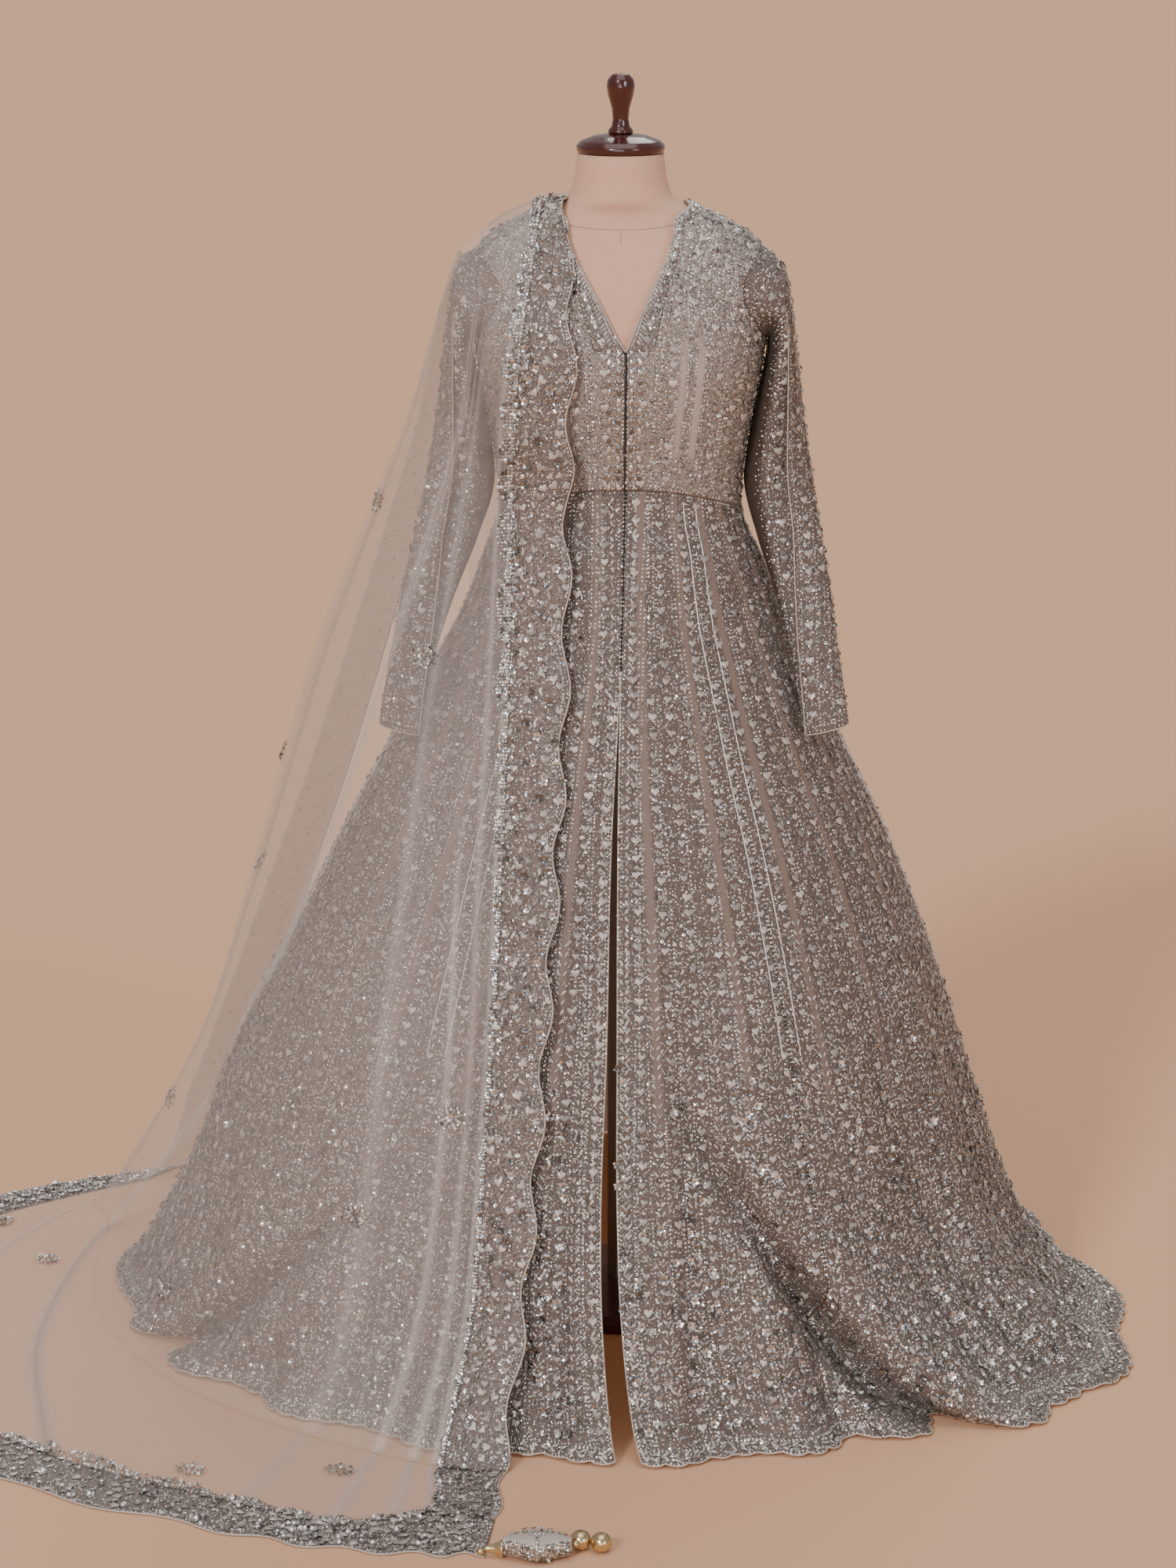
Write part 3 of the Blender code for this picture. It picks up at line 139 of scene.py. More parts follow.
# Outside of the bodice, from hip to neck: height, half width, depth in front, depth behind
BODY = Table([
    (0.700, 0.150, 0.104, 0.112), (0.800, 0.163, 0.112, 0.122), (0.900, 0.172, 0.120, 0.132),
    (1.000, 0.164, 0.116, 0.124), (1.060, 0.156, 0.112, 0.114), (1.100, 0.155, 0.112, 0.110),
    (1.150, 0.160, 0.119, 0.110), (1.220, 0.173, 0.134, 0.114), (1.265, 0.181, 0.137, 0.118),
    (1.300, 0.185, 0.129, 0.120), (1.345, 0.189, 0.114, 0.116), (1.380, 0.190, 0.100, 0.107),
    (1.405, 0.182, 0.088, 0.098), (1.430, 0.157, 0.075, 0.087), (1.450, 0.121, 0.066, 0.077),
    (1.462, 0.092, 0.060, 0.068), (1.468, 0.076, 0.057, 0.062),
])
BODY_SQUARE = 0.86  # below 1, the ring is fuller at its corners than an ellipse
WAIST_SIDE = 1.082
WAIST_FRONT_RISE = 0.033
WAIST_BACK_RISE = 0.008
UNDERARM = 1.292
SHOULDER_TIP = 1.412
NECK_POINT = 1.4665
BACK_NECK_DIP = 0.016
V_POINT = 1.292
FRONT_LINE = 0.006  # the front edges meet this far to the wearer's left of the middle

# Skirt from waist to hem: along, height, radius at the wearer's left, front, right and back
SKIRT = Table([
    (0.000, 1.082, 0.155, 0.112, 0.155, 0.111), (0.060, 1.020, 0.178, 0.138, 0.173, 0.146),
    (0.130, 0.940, 0.211, 0.170, 0.203, 0.186), (0.200, 0.860, 0.247, 0.206, 0.248, 0.226),
    (0.280, 0.770, 0.288, 0.244, 0.297, 0.270), (0.370, 0.670, 0.337, 0.288, 0.350, 0.320),
    (0.460, 0.570, 0.378, 0.330, 0.400, 0.366), (0.560, 0.460, 0.417, 0.374, 0.456, 0.416),
    (0.660, 0.350, 0.450, 0.417, 0.504, 0.464), (0.750, 0.250, 0.481, 0.455, 0.542, 0.506),
    (0.830, 0.165, 0.507, 0.490, 0.574, 0.542), (0.900, 0.090, 0.542, 0.524, 0.608, 0.580),
    (0.955, 0.030, 0.592, 0.556, 0.640, 0.618), (1.000, 0.0042, 0.650, 0.584, 0.668, 0.655),
])
HEIGHT, LEFT, FRONT, RIGHT, BACK = 1, 2, 3, 4, 5
WAIST_MEET_END = 0.06  # along the skirt, where it no longer follows the bodice
OVAL_END = 0.15  # where its rings are true ovals
WAIST_RISE_END = 0.5  # where the waist seam's rise has died out
HEM_FROM, HEM_PART = 0.72, 0.28  # where the hem's own outline sets in, and over how much of the skirt
HEM_FLARE = 1.15  # how far a place past the hem moves outwards, for its distance along
# Hem: angle, reach from the middle
HEM = Table([
    (-180, 0.670), (-165, 0.650), (-150, 0.614), (-135, 0.592), (-120, 0.582), (-105, 0.572), (-90, 0.584),
    (-75, 0.582), (-60, 0.608), (-45, 0.672), (-30, 0.700), (-12, 0.684), (0, 0.664), (20, 0.650),
    (45, 0.655), (90, 0.655), (135, 0.675), (165, 0.690), (180, 0.670),
])
# Front edges: along the skirt, how far each stands from the middle, at the wearer's right and left
SLIT = Table([
    (0.000, 0.0055, 0.0065), (0.185, -0.0015, 0.0000), (0.350, -0.0120, -0.0035), (0.560, -0.0170, -0.0045),
    (0.750, -0.0230, -0.0040), (0.830, -0.0220, -0.0010), (0.900, -0.0180, 0.0060), (1.000, -0.0075, 0.0245),
])
# Folds: angle at the waist, angle at the hem, half width in degrees, depth at the hem, start along the skirt
FOLDS = (
    (-84.0, -83.0, 5.0, 0.010, 0.10), (-76.0, -77.0, 4.0, -0.010, 0.20), (-68.0, -69.0, 4.5, 0.012, 0.25),
    (-126.0, -51.0, 4.0, -0.050, 0.58), (-112.0, -44.0, 5.0, 0.022, 0.58), (-62.0, -62.5, 3.5, -0.022, 0.88),
    (-38.0, -38.0, 5.0, -0.012, 0.30), (-27.0, -26.0, 5.0, 0.012, 0.30), (-14.0, -14.0, 5.0, -0.014, 0.35),
    (-1.0, -1.0, 6.0, 0.010, 0.30), (14.0, 14.0, 5.0, -0.020, 0.25), (29.0, 29.0, 6.0, 0.018, 0.20),
    (43.0, 43.0, 5.0, -0.026, 0.20), (58.0, 58.0, 6.0, 0.022, 0.20), (72.0, 72.0, 5.0, -0.030, 0.20),
    (87.0, 87.0, 6.0, 0.024, 0.20), (101.0, 101.0, 5.0, -0.032, 0.20), (116.0, 116.0, 6.0, 0.022, 0.20),
    (130.0, 130.0, 5.0, -0.026, 0.20), (144.0, 144.0, 6.0, 0.020, 0.20), (158.0, 158.0, 5.0, -0.020, 0.25),
    (172.0, 172.0, 6.0, 0.012, 0.30), (-174.0, -174.0, 5.0, -0.012, 0.30), (-163.0, -165.0, 5.0, 0.010, 0.30),
    (-36.0, -160.0, 4.5, -0.042, 0.62), (-28.0, -151.0, 5.0, 0.020, 0.62),
    (-141.0, -142.0, 4.5, -0.014, 0.85),
    (-131.0, -131.0, 4.5, 0.012, 0.30), (-120.0, -121.0, 4.5, -0.016, 0.25),
    (-110.0, -111.0, 4.5, 0.012, 0.25), (-99.0, -99.0, 4.0, -0.010, 0.20),
)
# Sharper creases inside those folds, in the same columns
CREASES = (
    (-126.0, -50.5, 1.7, -0.026, 0.44), (-121.5, -47.5, 2.0, 0.013, 0.46), (-131.5, -54.5, 2.2, 0.010, 0.50),
    (-62.0, -63.0, 1.4, -0.012, 0.70), (-36.0, -160.0, 1.8, -0.020, 0.50), (-31.0, -156.0, 2.2, 0.011, 0.52),
    (-97.0, -98.0, 1.3, -0.006, 0.30), (-79.5, -80.5, 1.4, -0.007, 0.35), (-71.5, -73.0, 1.5, -0.006, 0.30),
    (-58.0, -40.0, 1.8, -0.012, 0.66), (-45.0, -33.0, 1.8, -0.010, 0.60), (21.0, 22.0, 1.8, -0.008, 0.4),
    (64.0, 65.0, 1.8, -0.009, 0.4), (109.0, 109.0, 1.9, -0.008, 0.4), (151.0, 151.0, 1.8, -0.009, 0.4),
    (-171.0, -171.0, 1.8, -0.007, 0.4), (-136.0, -137.0, 1.6, -0.008, 0.4),
    (-115.0, -116.0, 1.5, -0.006, 0.4),
)
# Sleeve from underarm to cuff: along, inner x, inner height, outer x, outer height, middle's depth,
# half depth, how far across from the inner side the front crease lies, crease depth
SLEEVE = Table([
    (0.00, 0.1870, 1.2900, 0.1900, 1.4060, 0.000, 0.066, 0.712, 0.000),
    (0.07, 0.1895, 1.2945, 0.2080, 1.3840, -0.001, 0.065, 0.76, 0.001),
    (0.15, 0.1915, 1.2680, 0.2170, 1.3400, -0.002, 0.062, 0.70, 0.004),
    (0.25, 0.1850, 1.2250, 0.2250, 1.2760, -0.004, 0.056, 0.66, 0.008),
    (0.35, 0.1780, 1.1800, 0.2320, 1.2150, -0.006, 0.048, 0.62, 0.012),
    (0.47, 0.1700, 1.1100, 0.2430, 1.1350, -0.010, 0.040, 0.58, 0.014),
    (0.60, 0.1880, 1.0330, 0.2560, 1.0530, -0.030, 0.036, 0.48, 0.014),
    (0.72, 0.2060, 0.9650, 0.2680, 0.9820, -0.058, 0.032, 0.30, 0.013),
    (0.84, 0.2180, 0.8980, 0.2770, 0.9110, -0.092, 0.028, 0.15, 0.009),
    (0.93, 0.2260, 0.8480, 0.2840, 0.8610, -0.120, 0.023, 0.09, 0.005),
    (1.00, 0.2310, 0.8080, 0.2890, 0.8220, -0.138, 0.020, 0.06, 0.003),
])
IN_X, IN_Z, OUT_X, OUT_Z, MID_Y, HALF_Y, CREASE_AT, CREASE = range(1, 9)
# How much fuller its inner side is, along it
SLEEVE_FULLER = ((0.06, 0.0), (0.15, 0.006), (0.25, 0.0095), (0.35, 0.0115), (0.47, 0.0115), (0.60, 0.0100),
                 (0.72, 0.005), (0.84, 0.0))
ARMHOLE_SEAM = 0.0006
ARM_ROOT = np.array((0.190, 0.0, 1.350))  # the middle of the armhole
CREASE_END = 0.985  # the last column of a sleeve, before its crease
RIGHT_SLEEVE_SWING, INNER_SWING = 0.016, 1.3  # how far that cuff hangs out, and its inner side for that
SWING_FROM, SWING_PART = 0.35, 0.65
CREASE_GAP = 0.0035  # the crease's inner layer lies this much further in
CREASE_LEAST = 0.002  # a crease that is less deep has no gap
FOLD_FROM, FOLD_PART = 0.80, 0.20  # across the sleeve, where its last part folds in behind the crease
PROUD_END, PROUD = 0.10, 0.3  # its first part stands out in front, by this share of the crease's depth
ARMHOLE_END = 0.09  # down the sleeve, where it has its own shape

# The dupatta's lines down the cloth: heights, shoulder points, then x and y at each height and on the floor
DRAPE_HEIGHTS = (1.330, 1.200, 1.080, 0.860, 0.660, 0.480, 0.300, 0.150)
DRAPE_SHOULDER = ((-0.066, 0.000, 1.4640), (-0.092, 0.000, 1.4570), (-0.112, 0.000, 1.4500),
                  (-0.140, 0.000, 1.4360), (-0.166, 0.000, 1.4200), (-0.200, 0.008, 1.4120),
                  (-0.206, 0.034, 1.4010), (-0.203, 0.058, 1.3940))
DRAPE_LINES = (
    ((-.055, -.130), (-.056, -.148), (-.060, -.145), (-.063, -.222), (-.074, -.305), (-.086, -.385),
     (-.100, -.450), (-.115, -.510), (-.137, -.600), (-.135, -.668), (-.150, -.735)),
    ((-.122, -.125), (-.137, -.145), (-.140, -.140), (-.144, -.215), (-.151, -.300), (-.160, -.380),
     (-.173, -.445), (-.186, -.500), (-.218, -.585), (-.216, -.655), (-.222, -.720)),
    ((-.139, -.120), (-.154, -.140), (-.163, -.140), (-.182, -.220), (-.199, -.310), (-.207, -.390),
     (-.223, -.450), (-.246, -.500), (-.295, -.548), (-.315, -.640), (-.335, -.745)),
    ((-.165, -.100), (-.181, -.110), (-.202, -.130), (-.242, -.220), (-.273, -.310), (-.300, -.380),
     (-.323, -.420), (-.350, -.450), (-.400, -.478), (-.435, -.575), (-.469, -.681)),
    ((-.185, -.090), (-.205, -.090), (-.239, -.105), (-.313, -.130), (-.382, -.110), (-.452, -.050),
     (-.530, .060), (-.620, .160), (-.715, .260), (-.760, -.150), (-.700, -.543)),
    ((-.232, .010), (-.270, .030), (-.315, .070), (-.398, .130), (-.460, .180), (-.516, .240),
     (-.577, .290), (-.650, .340), (-.745, .375), (-.880, .060), (-.905, -.330)),
    ((-.226, .070), (-.250, .105), (-.285, .150), (-.355, .230), (-.420, .300), (-.485, .360),
     (-.550, .415), (-.610, .445), (-.690, .452), (-.935, .230), (-.985, -.110)),
    ((-.212, .100), (-.222, .150), (-.250, .200), (-.310, .290), (-.370, .365), (-.430, .430),
     (-.490, .480), (-.545, .515), (-.640, .515), (-.950, .330), (-1.020, .010)),
)
# Where each strip of the dupatta lies across its lines
DRAPE_STRIPS = {"border": (0.0, 1.0), "net_front": (1.0, 4.0), "net_side": (4.0, 6.0),
                "border_far": (6.0, 7.0)}
DRAPE_CLEAR = 0.0075  # from the gown to the outside of the dupatta
SHOULDER_CLEAR = 0.0066  # the same on top of the shoulder
SHOULDER_END = 0.6  # how far down its lines the shoulder reaches
DRAPE_FOLDS = 5  # soft folds across its whole width
DRAPE_FOLD_DEPTH = 0.007
FOLDS_FROM, FOLDS_TO = 2.0, 1.5  # how far from the shoulder and from the floor its folds are whole
SIDE_EDGE = 0.8  # how far from either edge
BEHIND_LINE, BEHIND_SHARE = 4.5, 0.4  # from this line on, its folds move less to the back
BIG_SCALLOP = 0.135  # from one scallop of the border to the next, down its edge
BIG_SCALLOP_DEPTH = 0.0065
SCALLOP_START = 0.042  # from the shoulder to the first inner point of the scalloped edge
SCALLOPS_FROM = 0.3  # down the lines, where the scallops have their whole depth
LOW = 0.0024  # height of the dupatta's outside on the floor
CHEST = 1.330  # above it, the dupatta is kept clear of the gown on rays from inside the shoulder
NECK_ROOM = 0.005  # a ray that meets the gown more than this above the neck point has met the form
WAIST_ROOM = 0.02  # how far below the waist seam the bodice's shape is still followed
NEAR_ANGLES = (-6, -3, 0, 3, 6)  # degrees to either side at which the skirt is felt for
CUFF_ROOM, ARM_TOP = 0.03, 1.39  # the sleeve is kept clear of from this far below its cuff to this height
CREASE_SHARE = 0.4  # the share of the crease's depth by which the sleeve stands out
BEHIND_ARM = 0.6  # a point this share of the sleeve's depth behind its middle passes behind it
SHOULDER_INSIDE = -0.150
SHOULDER_REACH = 0.40
RAYS = ((0, 0, 0), (0, 0.012, 0), (0, -0.012, 0), (0.013, 0, 0), (-0.013, 0, 0))  # where each is also aimed
# Outer edge of the end border on the floor, at each line
END_EDGE = ((-.160, -.841), (-.235, -.840), (-.358, -.818), (-.500, -.762), (-.740, -.634), (-.985, -.395),
            (-1.075, -.130), (-1.100, .010))
END_SPACING = 0.19  # from line to line along it, on average
# The back fall, from the shoulder down: y and height of each row
BACK_FALL = ((0.002, 1.440), (0.050, 1.425), (0.095, 1.395), (0.128, 1.330), (0.130, 1.230), (0.128, 1.120),
             (0.168, 1.030), (0.212, 0.940), (0.240, 0.880))
BACK_SHIFT, BACK_DRAW_IN = 0.025, 2.4  # how far its low end lies aside, and is drawn together
BACK_LINES = 4.0  # how many of the dupatta's lines fall behind
BACK_FOLDS = 3.5
BACK_BORDER = 0.84  # how many of its last rows are border


def smooth(x: Array | float) -> Array:
    """An even rise from 0 to 1.

    Args:
        x: places, of which only 0 to 1 matters.

    Returns:
        The share of the rise at each.
    """
    x = np.clip(x, 0.0, 1.0)
    return x * x * (3 - 2 * x)


def turned(angle: Array | float) -> Array:
    """Angles brought between -180 and 180."""
    return (np.asarray(angle, float) + 180) % 360 - 180


def unit(v: Array) -> Array:
    """Vectors of length one."""
    return v / np.maximum(np.linalg.norm(v, axis=-1, keepdims=True), 1e-12)


def signed_power(x: Array, power: Array | float) -> Array:
    """A power that keeps the sign."""
    return np.sign(x) * np.abs(x) ** power


def body_ring(angle: Array, height: Array | float) -> tuple[Array, Array]:
    """Half width and depth of the bodice at heights, for angles in front or behind."""
    deep = np.where(np.sin(np.radians(angle)) < 0, BODY.at(2, height), BODY.at(3, height))
    return BODY.at(1, height), deep


def oval(angle: Array, half: Array | float, deep: Array | float,
         square: Array | float) -> tuple[Array, Array]:
    """Places x and y on a ring that may be fuller at its corners than an ellipse."""
    c, s = np.cos(np.radians(angle)), np.sin(np.radians(angle))
    return half * signed_power(c, square), deep * signed_power(s, square)


def squareness(along: Array) -> Array:
    """How square the skirt's rings are, which turn into true ovals below the waist."""
    return BODY_SQUARE + (1 - BODY_SQUARE) * smooth(along / OVAL_END)


def body_points(angle: Array, height: Array) -> Array:
    """The outside of the bodice.

    Args:
        angle: degrees from the wearer's left, -90 in front.
        height: height over the floor.

    Returns:
        A point for each.
    """
    x, y = oval(angle, *body_ring(angle, height), BODY_SQUARE)
    return np.stack([x, y, np.broadcast_to(height, np.shape(x))], -1)


def waist_height(angle: Array | float) -> Array:
    """Height of the waist seam at an angle."""
    s = np.sin(np.radians(angle))
    return WAIST_SIDE + np.where(s < 0, WAIST_FRONT_RISE, WAIST_BACK_RISE) * s * s


def folds_at(angle: Array, along: Array) -> Array:
    """How far the skirt's folds, and the lesser waves between them, move it outwards.

    Args:
        angle: degrees from the wearer's left.
        along: place from waist to hem.

    Returns:
        A distance for each.
    """
    out = np.zeros(np.broadcast(angle, along).shape)
    for waist, hem, width, depth, start in FOLDS + CREASES:
        grow = np.where(along > start, smooth((along - start) / (1 - start)), 0.0)
        away = turned(angle - (waist + (hem - waist) * along)) / width
        out += np.where(np.abs(away) < 3, depth * grow * np.exp(-away * away), 0.0)
    return out


def skirt_points(angle: Array, along: Array) -> Array:
    """The outside of the skirt.

    Args:
        angle: degrees from the wearer's left.
        along: place from waist to hem.

    Returns:
        A point for each.
    """
    angle = turned(angle)
    c, s = np.cos(np.radians(angle)), np.sin(np.radians(angle))
    rise = np.maximum(0, 1 - along / WAIST_RISE_END) ** 2
    height = SKIRT.at(HEIGHT, along) + (waist_height(angle) - WAIST_SIDE) * rise
    side = np.where(c > 0, SKIRT.at(LEFT, along), SKIRT.at(RIGHT, along))
    deep = np.where(s < 0, SKIRT.at(FRONT, along), SKIRT.at(BACK, along))
    at_seam, waist = np.maximum(0.0, 1 - along / WAIST_MEET_END), body_ring(angle, height)
    side, deep = side + (waist[0] - side) * at_seam, deep + (waist[1] - deep) * at_seam
    x, y = oval(angle, side, deep, squareness(along))
    radius = np.hypot(x, y)
    hem = np.hypot(np.where(c > 0, SKIRT.rows[-1, LEFT], SKIRT.rows[-1, RIGHT]) * c,
                   np.where(s < 0, SKIRT.rows[-1, FRONT], SKIRT.rows[-1, BACK]) * s)
    more = (HEM.at(1, angle) - hem) * smooth((along - HEM_FROM) / HEM_PART) ** 1.5
    more = more + folds_at(angle, along) + np.maximum(0.0, along - 1) * HEM_FLARE
    return np.stack([x * (1 + more / radius), y * (1 + more / radius), height], -1)


def angle_of(x: Array | float, half: Array | float, square: Array | float) -> Array:
    """The angle, near the front, at which a ring of that half width is x from the middle."""
    return -90 + np.copysign(np.degrees(np.arcsin((np.abs(x) / half) ** (1 / square))), x)


def patch(left: Line, right: Line, bottom: Line, top: Line) -> Surface:
    """A surface on the body between four edges.

    Args:
        left: the edge at u = 0, from v to angle and height.
        right: the edge at u = 1.
        bottom: the edge at v = 0, from u to angle and height.
        top: the edge at v = 1.

    Returns:
        The surface.
    """
    ends = {name: line(np.array([0.0, 1.0])) for name, line in (("l", left), ("r", right))}

    def at(u: Array, v: Array) -> Array:
        u, v = np.clip(u, -WIDE_STEP, 1 + WIDE_STEP), np.clip(v, -WIDE_STEP, 1 + WIDE_STEP)
        a, b = u[:, None], v[:, None]
        flat = (1 - a) * left(v) + a * right(v) + (1 - b) * bottom(u) + b * top(u)
        flat = flat - (1 - a) * ((1 - b) * ends["l"][0] + b * ends["l"][1])
        flat = flat - a * ((1 - b) * ends["r"][0] + b * ends["r"][1])
        return body_points(flat[:, 0], flat[:, 1])
    return at


def shoulder_line(angle: float, start: float, end: float) -> Line:
    """The shoulder seam: straight from one height to the other."""
    return lambda u: np.stack([np.full(len(u), angle), start + (end - start) * u], -1)


def edge_line(low: Sequence[float], high: Sequence[Sequence[float]]) -> Line:
    """A panel's side: straight up to the underarm's height, then along a curve."""
    low_end, curve = np.array(low, float), Table(np.column_stack([np.linspace(0, 1, len(high)), high]))

    def at(v: Array) -> Array:
        t = np.clip((v - HALF_WAY) / HALF_WAY, 0, 1)
        upper = np.stack([curve.at(1, t), curve.at(2, t)], -1)
        lower = low_end + (np.array(high[0]) - low_end) * (v / HALF_WAY)[:, None]
        return np.where((v <= HALF_WAY)[:, None], lower, upper)
    return at


def waist_line(start: float, end: float) -> Line:
    """The bodice's lower edge between two angles."""
    def at(u: Array) -> Array:
        angle = start + (end - start) * u
        return np.stack([angle, waist_height(angle) + WAIST_SEAM], -1)
    return at


# Outlines of the bodice's panels, from low to high: angle and height
FRONT_ARMHOLE = ((0, UNDERARM), (-20, 1.305), (-36, 1.338), (-38, 1.375), (-22, 1.402), (0, SHOULDER_TIP))
BACK_ARMHOLE = ((0, UNDERARM), (20, 1.305), (31, 1.338), (32, 1.375), (20, 1.402), (0, SHOULDER_TIP))
BACK_LINE = ((56, UNDERARM), (60, 1.345), (63, 1.388), (62, 1.428), (52, 1.453), (0.12, NECK_POINT))
BACK_PART = 54  # the angle below the neck's side at which the back's outer parts end
NECK_FROM = 0.3  # the share of the back's width that each outer part has
NECKLINE = ((-88.7, V_POINT), (-83.4, 1.345), (-77.6, 1.388), (-69.2, 1.428), (-54.3, 1.453),
            (-0.12, NECK_POINT))
NECK_TURN = 0.12  # the height over which the neckline leaves the front edge
SIDE_SEAM = 0.12  # degrees between the side seam's middle and a panel
ARMHOLE_ALONG = (0.5, 0.58, 0.66, 0.74, 0.82, 0.89, 0.95, 1)
HALF_WAY = 0.5  # up the panels, where the armhole begins


def bodice_front(side: int) -> Surface:
    """One front of the bodice, from its front edge outwards and from the waist up.

    Args:
        side: 1 for the wearer's left, -1 for the right.

    Returns:
        The surface.
    """
    front = float(angle_of(side * FRONT_LINE + SEAM / 2, BODY.at(1, V_POINT), BODY_SQUARE))
    shift = front - NECKLINE[0][0]
    neckline = [(a + shift * max(0.0, 1 - (h - V_POINT) / NECK_TURN), h) for a, h in NECKLINE]
    armhole = [(a - SIDE_SEAM, h) for a, h in FRONT_ARMHOLE]
    shape = patch(edge_line((front, waist_height(-90) + WAIST_SEAM), neckline),
                  edge_line((-SIDE_SEAM, waist_height(0) + WAIST_SEAM), armhole),
                  waist_line(front, -SIDE_SEAM), shoulder_line(-SIDE_SEAM, NECK_POINT, SHOULDER_TIP))
    return lambda u, v: shape(u, v) * (side, 1, 1)


def bodice_back() -> Surface:
    """The back, from the wearer's left side seam to the right one, in parts that meet below the neck."""
    armhole = edge_line((SIDE_SEAM, waist_height(0) + WAIST_SEAM),
                        [(a + SIDE_SEAM, h) for a, h in BACK_ARMHOLE])
    inner = edge_line((BACK_PART, waist_height(BACK_PART) + WAIST_SEAM), BACK_LINE)
    beside = patch(armhole, inner, waist_line(SIDE_SEAM, BACK_PART),
                   shoulder_line(SIDE_SEAM, SHOULDER_TIP, NECK_POINT))

    def neck(u: Array) -> Array:
        return np.stack([SIDE_SEAM + (180 - 2 * SIDE_SEAM) * u,
                         NECK_POINT - BACK_NECK_DIP * np.sin(math.pi * u)], -1)
    centre = patch(inner, lambda v: inner(v) * (-1, 1) + (180, 0),
                   waist_line(BACK_PART, 180 - BACK_PART), neck)

    def at(u: Array, v: Array) -> Array:
        first, last = u < NECK_FROM, u > 1 - NECK_FROM
        one = beside(np.where(first, u, 1 - u) / NECK_FROM, v)
        middle = centre((u - NECK_FROM) / (1 - 2 * NECK_FROM), v)
        side = one * np.where(last, -1, 1)[:, None] ** np.array((1, 0, 0))
        return np.where((first | last)[:, None], side, middle)
    return at


def normals_of(surface: Surface, u: Array, v: Array) -> Array:
    """Normals of a body surface, turned away from the body's middle."""
    over = surface(u + STEP, v) - surface(u - STEP, v)
    along = surface(u, v + STEP) - surface(u, v - STEP)
    n = unit(np.cross(along, over))
    p = surface(u, v)
    away = np.stack([p[:, 0], p[:, 1], np.full(len(u), 0.02)], -1)
    return n * np.sign(np.sum(n * away, -1, keepdims=True) + 1e-12)


def kali(first: float, last: float, front_edge: int = 0) -> Surface:
    """A skirt panel between two angles.

    Args:
        first: angle of its first edge.
        last: angle of its last edge.
        front_edge: 1 where its first edge is a front edge, -1 where its last is.

    Returns:
        The surface.
    """
    def at(u: Array, v: Array) -> Array:
        half, square = SKIRT.at(LEFT, v), squareness(v)
        a = angle_of(SLIT.at(2, v), half, square) if front_edge > 0 else first
        b = angle_of(SLIT.at(1, v), half, square) if front_edge < 0 else last
        return skirt_points(a + (b - a) * u, v)
    return at


def sleeve_points(side: int, angle: Array, along: Array) -> Array:
    """The outside of a sleeve: angle 0 is outermost, -90 the front and 180 the inner side."""
    row = {i: SLEEVE.at(i, along) for i in range(1, CREASE + 1)}
    swing = RIGHT_SLEEVE_SWING * smooth((along - SWING_FROM) / SWING_PART) if side < 0 else 0.0 * along
    inner = np.stack([row[IN_X] + swing * INNER_SWING, row[MID_Y], row[IN_Z]], -1)
    outer = np.stack([row[OUT_X] + swing, row[MID_Y], row[OUT_Z]], -1)
    c, s = np.cos(np.radians(angle))[..., None], np.sin(np.radians(angle))
    deep = np.stack([0 * s, row[HALF_Y] * s, 0 * s], -1)
    fuller = np.interp(along, *zip(*SLEEVE_FULLER))[..., None] * np.maximum(0, -c) * (1.0, 0, 0)
    return (inner + outer) / 2 + (outer - inner) / 2 * c + deep - fuller


def sleeve(side: int) -> Surface:
    """A sleeve from the armhole to the cuff, with a pressed crease down its front."""
    turns, rings = [], []
    for turn, surface, edge in ((-180, bodice_front(1), 1.0), (180, bodice_back(), 0.0)):
        v = np.array(ARMHOLE_ALONG)
        u = np.full(len(v), edge)
        p, n = surface(u, v), normals_of(surface, u, v)
        along = surface(u, np.minimum(v + WIDE_STEP, 1)) - surface(u, np.maximum(v - WIDE_STEP, HALF_WAY))
        out = unit(np.cross(along, n))
        out = out * np.sign(np.sum(out * (ARM_ROOT - p), -1, keepdims=True))
        turns += list(turn * (1 - (v - HALF_WAY) / HALF_WAY))
        rings += list(np.hstack([p, out]))
    order = np.argsort(turns, kind="stable")
    turns, rings = np.array(turns)[order], np.array(rings)[order]

    def at(u: Array, v: Array) -> Array:
        def turn(along: Array) -> Array:
            return turned(-np.degrees(np.arccos(2 * SLEEVE.at(CREASE_AT, along) - 1)) + 360 * u)

        point, deep = sleeve_points(side, turn(v), v), SLEEVE.at(CREASE, v)
        fold, proud = smooth((u - FOLD_FROM) / FOLD_PART), smooth((PROUD_END - u) / PROUD_END)
        point = point + np.stack([CREASE_GAP * fold * (deep > CREASE_LEAST),
                                  deep * fold - PROUD * deep * proud, 0 * v], -1)
        root = np.stack([np.interp(turn(0 * v), turns, rings[:, k]) for k in range(6)], -1)
        root = root[:, :3] + unit(root[:, 3:]) * ARMHOLE_SEAM
        join = smooth(v / ARMHOLE_END)[:, None]
        return (point * join + root * (1 - join)) * (side, 1, 1)
    return at


